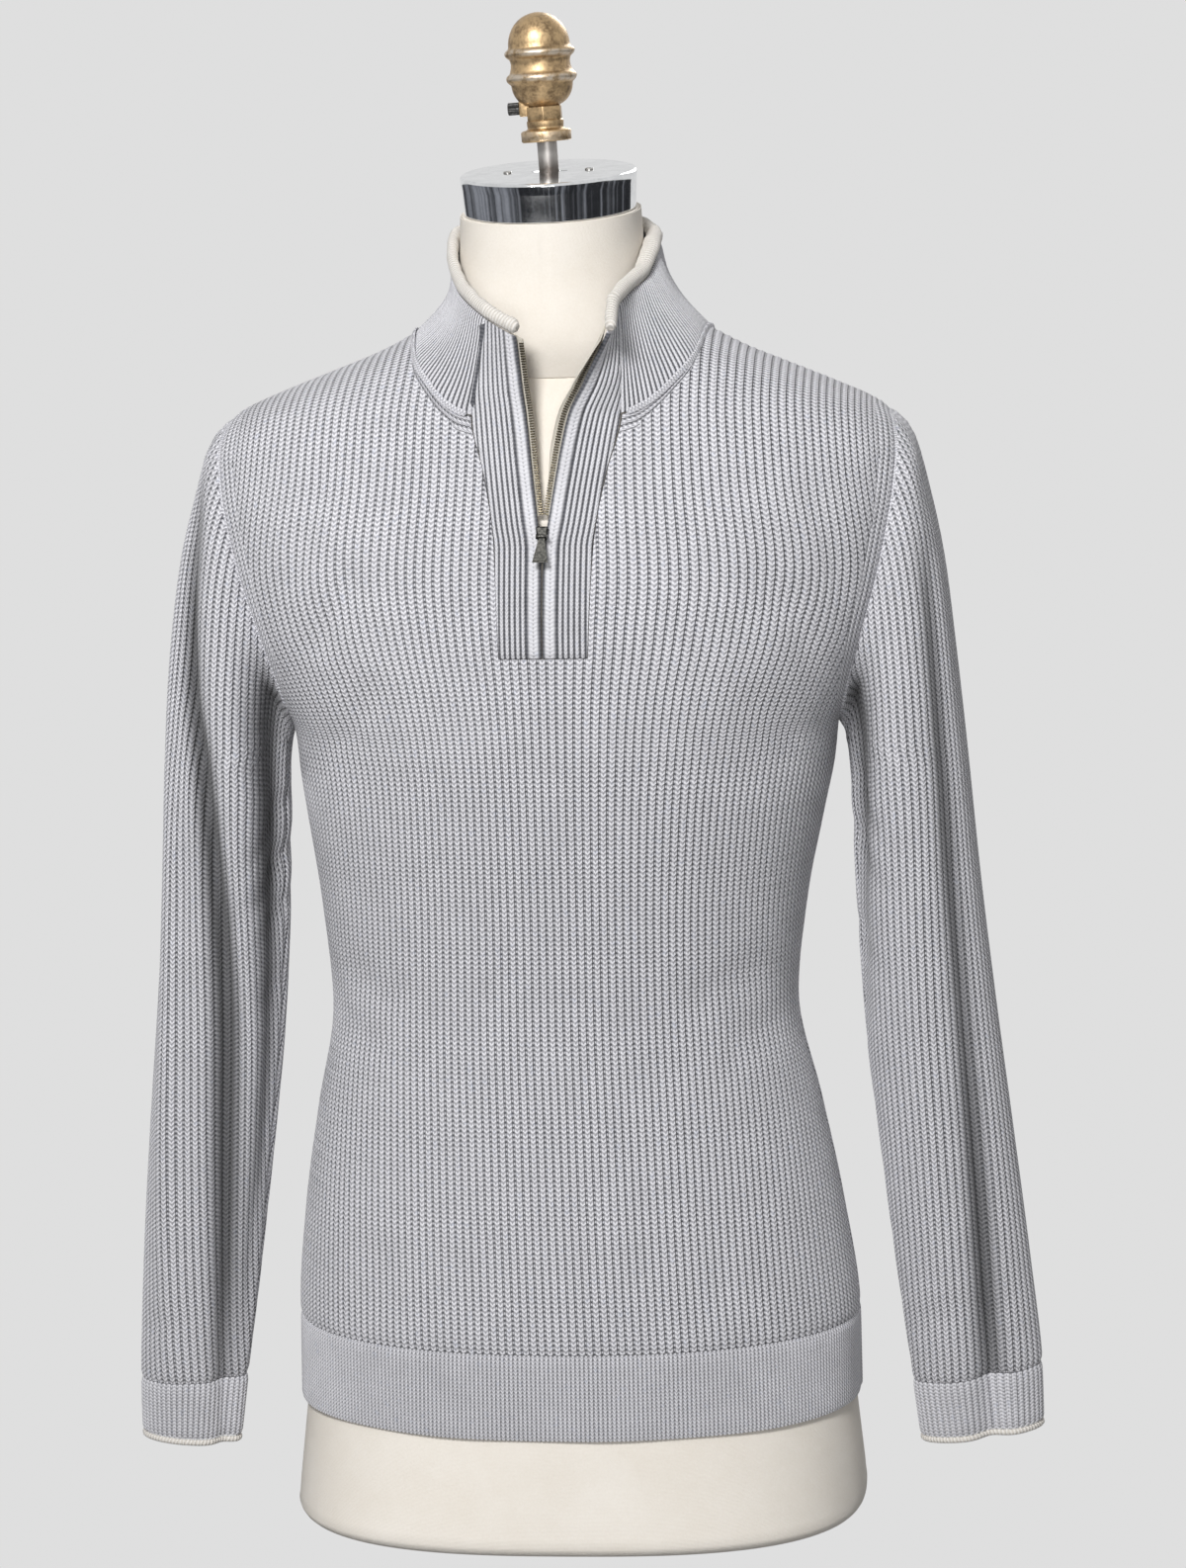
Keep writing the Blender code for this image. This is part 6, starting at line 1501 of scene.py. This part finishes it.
def makeThumbScrew(finish):
    t = thumbPiece
    head = startPiece("thumbScrew", bpy.ops.mesh.primitive_cylinder_add,
                      vertices=2 * t["ridges"], radius=t["radius"], depth=t["length"],
                      location=(0, 0, 0))
    bpy.ops.object.mode_set(mode="EDIT")
    shape = bmesh.from_edit_mesh(head.data)
    shape.verts.ensure_lookup_table()
    for vert in shape.verts:
        turn = round(math.atan2(vert.co.y, vert.co.x) / (math.pi / t["ridges"]))
        vert.select = turn % 2 == 0
    shape.select_flush_mode()
    bmesh.update_edit_mesh(head.data)
    bpy.ops.transform.resize(value=(0.93, 0.93, 1.0), center_override=(0, 0, 0))
    bpy.ops.mesh.select_all(action="DESELECT")
    shape = bmesh.from_edit_mesh(head.data)
    for face in shape.faces:
        face.select = abs(face.normal.z) > 0.9
    bmesh.update_edit_mesh(head.data)
    bpy.ops.mesh.inset(thickness=0.0007, depth=0.0004)
    bpy.ops.object.mode_set(mode="OBJECT")
    finishPiece(head, None, 30.0)
    turnMesh(head, "Y", 90.0)
    place = rodPlace(finialPiece["base"]) @ Matrix.Translation(
        (-t["out"] - t["length"] / 2, 0.0, t["height"]))
    head.data.transform(place)
    settle(head, "iron", finish, "thumb_screw")


# One value in a shader: plain arithmetic on it adds the nodes.
class Term:
    def __init__(self, tree, socket):
        self.tree, self.socket = tree, socket

    # Any other node: its type, its settings, and its inputs by name or number.
    def node(self, kind, settings=None, inputs=None, output=0):
        made = self.tree.nodes.new(kind)
        for key, value in (settings or {}).items():
            setattr(made, key, value)
        for key, value in (inputs or {}).items():
            if isinstance(value, Term):
                self.tree.links.new(value.socket, made.inputs[key])
            else:
                made.inputs[key].default_value = value
        return Term(self.tree, made.outputs[output])

    def maths(self, operation, *values, clamp=False):
        return self.node("ShaderNodeMath", {"operation": operation, "use_clamp": clamp},
                         dict(enumerate(values)))

    def __add__(self, other):
        return self.maths("ADD", self, other)

    def __radd__(self, other):
        return self.maths("ADD", other, self)

    def __sub__(self, other):
        return self.maths("SUBTRACT", self, other)

    def __rsub__(self, other):
        return self.maths("SUBTRACT", other, self)

    def __mul__(self, other):
        return self.maths("MULTIPLY", self, other)

    def __rmul__(self, other):
        return self.maths("MULTIPLY", other, self)

    def __abs__(self):
        return self.maths("ABSOLUTE", self)

    def fract(self):
        return self.maths("FRACT", self)

    def clamped(self):
        return self.maths("ADD", self, 0.0, clamp=True)

    def wave(self):          # 0 at whole numbers, 1 halfway
        return 0.5 - 0.5 * self.maths("COSINE", self * (2 * math.pi))

    def rise(self, low, high):   # smooth step from 0 to 1
        return self.node("ShaderNodeMapRange", {"interpolation_type": "SMOOTHSTEP"},
                         {"Value": self, "From Min": low, "From Max": high})

    def noise(self, place, scale, detail=2.0, roughness=0.5):
        return self.node("ShaderNodeTexNoise", None,
                         {"Vector": place, "Scale": scale, "Detail": detail,
                          "Roughness": roughness})

    # One coordinate of a vector.
    def part(self, index):
        return self.node("ShaderNodeSeparateXYZ", None, {0: self}, output=index)

    # Colour between two, by a share.
    def blend(self, low, high):
        low, high = [(*end, 1.0) if isinstance(end, tuple) else end for end in (low, high)]
        return self.node("ShaderNodeMix", {"data_type": "RGBA"}, {0: self, 6: low, 7: high},
                         output=2)


# Starts a material: its shader with the plain values set on it, and a first term.
def startFinish(name, colour, roughness, metallic=0.0, **plain):
    made = bpy.data.materials.new(name)
    made.use_nodes = True
    tree = made.node_tree
    shader = tree.nodes["Principled BSDF"]
    plain = {"Base Color": (*colour, 1.0), "Roughness": roughness, "Metallic": metallic, **plain}
    for key, value in plain.items():
        shader.inputs[key].default_value = value
    made.diffuse_color = (*colour, 1.0)
    return made, shader, Term(tree, tree.nodes.new("ShaderNodeTexCoord").outputs["Object"])


def plug(term, shader, name):
    term.tree.links.new(term.socket, shader.inputs[name])


def plugBump(height, distance, shader):
    plug(height.node("ShaderNodeBump", None, {"Height": height, "Distance": distance}), shader,
         "Normal")


def knitCoordinates(place):
    uv = place.node("ShaderNodeUVMap", {"uv_map": "knit"})
    return uv.part(0), uv.part(1)


# Heather yarn: the same yarn everywhere, with light and shade painted into it: light on the ridges
# and dark in the valleys.
heather = {"light": (0.86, 0.855, 0.895), "mid": (0.27, 0.268, 0.295),
           "deep": (0.055, 0.058, 0.072), "blue": (0.50, 0.56, 0.72), "pink": (0.68, 0.56, 0.66)}


# Ribbed knit: stitches slant up from each ridge, with painted shade in the gap of every valley and
# where the strands meet.
def ribFinish(name, valley=0.17, gap=1.0, slant=1.3, shade=1.0, bump=0.0012, strokes=0.72,
              dots=0.88):
    sheen = {"Sheen Weight": 0.12, "Sheen Roughness": 0.6}
    made, shader, place = startFinish(name, heather["mid"], 0.92, **sheen)
    u, v = knitCoordinates(place)
    wander = place.noise(place, 260.0, 2.0)
    fine = place.noise(place, 1500.0, 2.0)
    patch = place.noise(place, 55.0, 3.0)
    u = u + (wander - 0.5) * 0.07
    v = v + (wander - 0.5) * 0.16
    off = abs(u.fract() - 0.5)                     # 0 on the ridge, 0.5 in the valley
    inValley = off.rise(0.46 - valley, 0.46)
    rows = v - off * slant
    stroke = 1.0 - rows.wave()                     # light strand of each stitch
    # painted shade in the gap of each valley, lighter where a strand crosses it
    valleyShade = inValley * (1.0 - stroke * dots) * gap
    # painted shade where the strands meet on the ridge
    ridgeGapShade = (1.0 - off.rise(0.02, 0.09)) * v.wave() * 0.42
    light = (strokes * stroke + (1.0 - strokes) + (fine - 0.5) * 0.8).clamped()
    yarn = light.blend(heather["mid"], heather["light"])
    tint = (wander.rise(0.58, 0.75) * 0.26).blend(yarn, heather["blue"])
    tint = (fine.rise(0.60, 0.78) * 0.22).blend(tint, heather["pink"])
    dark = (valleyShade + ridgeGapShade * (1.0 - valleyShade)).clamped().blend(tint, heather["deep"])
    # painted shade in the sleeve folds: the colour darkens by the fold layer's depth, and pieces
    # without that layer get none
    paintedFoldShade = place.node("ShaderNodeUVMap", {"uv_map": "fold"}).part(0)
    # random patches of tone, times the painted fold shade
    patchToneAndFoldShade = ((patch - 0.5) * 0.22 + shade) * (1.0 - paintedFoldShade * 0.80)
    colour = place.node("ShaderNodeVectorMath", {"operation": "SCALE"},
                        {0: dark, "Scale": patchToneAndFoldShade})
    plug(colour, shader, "Base Color")
    height = (1.0 - inValley) * 0.8 + stroke * 0.35 * (1.0 - inValley) + fine * 0.18
    plugBump(height, bump, shader)
    return made


# Fuzzy ecru knit of the edges.
def ecruFinish(name):
    made, shader, place = startFinish(name, (0.83, 0.77, 0.69), 0.95, **{"Sheen Weight": 0.2})
    u, v = knitCoordinates(place)
    fuzz = place.noise(place, 1800.0, 3.0)
    wander = place.noise(place, 300.0, 2.0)
    stitch = (u + (wander - 0.5) * 0.5 + v * 0.33).wave()
    share = (stitch * 0.6 + fuzz * 0.7 - 0.15).clamped()
    colour = share.blend((0.62, 0.57, 0.50), (0.97, 0.94, 0.90))
    plug(colour, shader, "Base Color")
    plugBump(stitch * 0.7 + fuzz * 0.6, 0.0007, shader)
    return made


def tapeFinish(name):
    made, shader, place = startFinish(name, (0.74, 0.70, 0.60), 0.85)
    u, v = knitCoordinates(place)
    weave = u.wave() * 0.5 + (v + u * 0.5).wave() * 0.5
    worn = place.noise(place, 420.0, 2.0)
    colour = (weave * 0.7 + worn * 0.4).clamped().blend((0.50, 0.45, 0.36), (0.82, 0.78, 0.69))
    plug(colour, shader, "Base Color")
    plugBump(weave, 0.0003, shader)
    return made


def metalFinish(name, dark, light, roughness, metallic=1.0, scale=180.0, rough=0.15):
    made, shader, place = startFinish(name, light, roughness, metallic)
    worn = place.noise(place, scale, 4.0, 0.6)
    fine = place.noise(place, scale * 7.0, 2.0)
    share = (worn * 0.8 + fine * 0.2).rise(0.35, 0.65)
    plug(share.blend(dark, light), shader, "Base Color")
    plug(roughness + (fine - 0.5) * rough * 2.0 + (worn - 0.5) * rough, shader, "Roughness")
    return made


def canvasFinish(name):
    made, shader, place = startFinish(name, (0.86, 0.81, 0.73), 0.88)
    u, v = knitCoordinates(place)
    weave = (u * 0.75).wave() * 0.5 + (v * 0.75).wave() * 0.5
    stain = place.noise(place, 22.0, 4.0, 0.6)
    slub = place.noise(place, 700.0, 2.0)
    colour = (stain * 0.6 + slub * 0.3 + weave * 0.15).clamped().blend(
        (0.74, 0.67, 0.57), (0.94, 0.90, 0.84))
    plug(colour, shader, "Base Color")
    plugBump(weave * 0.6 + slub * 0.6, 0.00022, shader)
    return made


# Cast brass gone brown in patches, with painted highlights as lighter rings on its beads.
def brassFinish(name):
    made, shader, place = startFinish(name, (0.40, 0.29, 0.17), 0.34, 1.0)
    height = place.part(2)
    worn = place.noise(place, 130.0, 4.0, 0.65)
    spots = place.noise(place, 600.0, 3.0)
    share = (worn * 0.7 + spots * 0.3).rise(0.30, 0.60)
    colour = share.blend((0.20, 0.135, 0.075), (0.54, 0.385, 0.215))
    base = finialPiece["base"]
    # painted highlights: lighter bands round the finial's beads
    rings = 0.0
    for ringZ, inside, outside, weight in finialPiece["highlightRings"]:
        rings = rings + (1.0 - abs(height - (base + ringZ)).rise(inside, outside)) * weight
    rings = rings.clamped()
    colour = (rings * worn.rise(0.35, 0.6) * 0.75).blend(colour, (0.60, 0.55, 0.48))
    plug(colour, shader, "Base Color")
    plug((0.30 + spots * 0.28).clamped(), shader, "Roughness")
    plugBump(spots * 0.6 + worn * 0.4, 0.0002, shader)
    return made


# Steel rod, its colour darker below about 0.87 m, near the cap
def rodFinish(name):
    made, shader, place = startFinish(name, (0.42, 0.40, 0.38), 0.42, 1.0)
    height = place.part(2)
    worn = place.noise(place, 260.0, 4.0, 0.65)
    share = (height.rise(0.866, 0.876) * 0.7 + worn * 0.5 - 0.1).clamped()
    plug(share.blend((0.07, 0.055, 0.045), (0.46, 0.44, 0.42)), shader, "Base Color")
    plug((0.28 + worn * 0.35).clamped(), shader, "Roughness")
    return made


print("finishes")
finishes = {
    "rib": ribFinish("heatherRib"),
    "sleeve": ribFinish("heatherSleeveRib", slant=1.6),
    "fineRib": ribFinish("heatherFineRib", valley=0.20, gap=0.62, shade=0.93, bump=0.0006,
                         strokes=0.55),
    "collarRib": ribFinish("heatherCollarRib", valley=0.25, gap=1.0, shade=0.88, bump=0.0006,
                           strokes=0.15, dots=0.10),
    "welt": ribFinish("heatherWelt", valley=0.30, gap=0.35, shade=1.02, bump=0.0004),
    "ecru": ecruFinish("ecruKnit"),
    "tape": tapeFinish("ecruTape"),
    "teeth": metalFinish("zipBrass", (0.05, 0.044, 0.034), (0.26, 0.22, 0.15), 0.36, scale=900.0),
    "gunmetal": metalFinish("zipGunmetal", (0.016, 0.016, 0.015), (0.06, 0.058, 0.052), 0.34,
                            0.9, scale=700.0),
    "canvas": canvasFinish("sewnCanvas"),
    "chrome": metalFinish("capChrome", (0.72, 0.73, 0.74), (0.86, 0.87, 0.88), 0.07, scale=90.0,
                          rough=0.02),
    "steel": metalFinish("plainSteel", (0.30, 0.29, 0.28), (0.60, 0.59, 0.57), 0.34, scale=500.0),
    "rod": rodFinish("steelRodDarkLow"),
    "brass": brassFinish("agedBrass"),
    "iron": metalFinish("blackIron", (0.012, 0.012, 0.012), (0.05, 0.048, 0.045), 0.40, 0.8,
                        scale=800.0),
}

print("body panels")
makeFront(finishes["rib"])
makeBack(finishes["rib"])
makeHem("hemFront", True, finishes["fineRib"], "hem_front")
makeHem("hemBack", False, finishes["fineRib"], "hem_back")

print("sleeves")
for side, word in ((-1, "Right"), (1, "Left")):
    seam = makeArmholeSeam(side, word, finishes["welt"])
    makeSleeve(side, word, finishes["sleeve"])
    makeCuff(side, word, finishes["fineRib"], finishes["ecru"])

print("collar and placket")
collarMade, collarPoints = makeCollar(finishes["collarRib"])
collarEdges = [makeEdgeRoll(finishes["ecru"]), makeNeckWelt(finishes["welt"])]
declareCloth(collarMade, collarPoints)
for side, word in ((-1, "Right"), (1, "Left")):
    band, bandGrid = makeBand(side, word, finishes["collarRib"])
    tape, tapeGrid, tapeNormals = makeTape(side, word, finishes["tape"])
    teeth = makeTeeth(word, finishes["teeth"], tapeGrid, tapeNormals)
    declareCloth(band, bandGrid)
    tapeArea = gridArea(tapeGrid)

print("dress form")
makeNeckCover(finishes["canvas"])
makeSkirtCover(finishes["canvas"])
makeCap(finishes["chrome"])
makeScrew(-1, "Right", finishes["steel"])
makeScrew(1, "Left", finishes["steel"])
makeRod(finishes["rod"])
makeFinial(finishes["brass"])
makeThumbScrew(finishes["iron"])
for node, key in (("zip_slider", "gunmetal"), ("zip_pull_tab", "gunmetal"),
                  ("form_body", "canvas")):
    shown = bpy.data.objects[node]
    shown.data.materials.clear()
    shown.data.materials.append(finishes[key])


# Pale floor, soft studio light and the camera. The dark wall spans from one angle to another,
# 0 in front of the form.
studio = {"grey": (0.737, 0.737, 0.737), "ambient": 0.20, "key": 85.0, "fill": 24.0,
          "back": 45.0, "aim": (0.0, 0.0, 0.45), "wallFrom": -150, "wallTo": 142}


def plainFinish(name, colour):
    made = bpy.data.materials.new(name)
    made.use_nodes = True
    shader = made.node_tree.nodes["Principled BSDF"]
    plain = {"Base Color": (0.0, 0.0, 0.0, 1.0), "Roughness": 1.0, "Specular IOR Level": 0.0,
             "Emission Color": (*colour, 1.0), "Emission Strength": 1.0}
    for key, value in plain.items():
        shader.inputs[key].default_value = value
    return made


def makeStage():
    pale = plainFinish("paleFloor", studio["grey"])
    floor = startPiece("floor", bpy.ops.mesh.primitive_plane_add, size=90.0, location=(0, 0, 0))
    backdrop = startPiece("backdrop", bpy.ops.mesh.primitive_cylinder_add, vertices=64,
                          radius=40.0, depth=60.0, location=(0, 0, 0))
    for shown in (floor, backdrop):
        shown.data.materials.append(pale)
        shown.visible_diffuse = shown.visible_shadow = False
    # dark wall round the front, seen only in the polished cap
    wall = startPiece("darkWall", bpy.ops.mesh.primitive_cylinder_add, vertices=72, radius=1.6,
                      depth=0.62, end_fill_type="NOTHING", location=(0, 0, 0.47))
    shape = bmesh.new()
    shape.from_mesh(wall.data)
    bright = []
    for face in shape.faces:
        middle = face.calc_center_median()
        turn = math.degrees(math.atan2(middle.x, -middle.y))
        if not studio["wallFrom"] < turn < studio["wallTo"]:
            bright.append(face)
    bmesh.ops.delete(shape, geom=bright, context="FACES")
    shape.to_mesh(wall.data)
    shape.free()
    glow = {"Emission Strength": 1.0}
    dark, shader, place = startFinish("darkWall", (0.0, 0.0, 0.0), 1.0, **glow)
    tall = place.node("ShaderNodeVectorMath", {"operation": "MULTIPLY"},
                      {0: place, 1: (1.0, 1.0, 0.05)})
    streaks = place.noise(tall, 7.0, 3.0, 0.7).rise(0.48, 0.74)
    left = (place.part(0) * -1.0).rise(0.9, 1.3)
    light = streaks + left * (0.10 + place.noise(tall, 4.0, 3.0, 0.7).rise(0.35, 0.65) * 0.9)
    plug(light.blend((0.008, 0.009, 0.012), (0.24, 0.25, 0.28)), shader, "Emission Color")
    wall.data.materials.append(dark)
    wall.visible_camera = wall.visible_diffuse = wall.visible_shadow = False


def areaLight(name, place, size, power):
    light = bpy.data.lights.new(name, "AREA")
    light.shape, light.size, light.energy = "DISK", size, power
    made = bpy.data.objects.new(name, light)
    bpy.context.scene.collection.objects.link(made)
    made.location = place
    facing = Vector(studio["aim"]) - Vector(place)
    made.rotation_euler = facing.to_track_quat("-Z", "Y").to_euler()


def makeLights():
    areaLight("keyLight", (-0.6, -2.5, 2.45), 0.8, studio["key"])
    areaLight("fillLight", (0.2, -3.4, 0.8), 1.0, studio["fill"])
    areaLight("backLight", (0.9, 3.0, 2.2), 1.6, studio["back"])
    world = bpy.data.worlds.new("studioAir")
    bpy.context.scene.world = world
    world.use_nodes = True
    shader = world.node_tree.nodes["Background"]
    shader.inputs["Color"].default_value = (*studio["grey"], 1.0)
    shader.inputs["Strength"].default_value = studio["ambient"]


# where the camera stands before it is turned round the form, and its angles in degrees
view = {"lens": 99.3, "place": (0.0157, -2.75, 0.934), "turn": 4.5, "tilt": 80.49,
        "roll": -1.25}


def makeCamera():
    lens = bpy.data.cameras.new("camera")
    lens.sensor_fit, lens.sensor_height, lens.lens = "VERTICAL", 36.0, view["lens"]
    lens.clip_start, lens.clip_end = 0.05, 100.0
    made = bpy.data.objects.new("camera", lens)
    bpy.context.scene.collection.objects.link(made)
    made.matrix_world = (Matrix.Rotation(math.radians(view["turn"]), 4, "Z")
                         @ Matrix.Translation(view["place"])
                         @ Matrix.Rotation(math.radians(view["tilt"]), 4, "X")
                         @ Matrix.Rotation(math.radians(view["roll"]), 4, "Z"))
    bpy.context.scene.camera = made


print("studio")
makeStage()
makeLights()
makeCamera()
bpy.context.scene.view_settings.view_transform = "Standard"
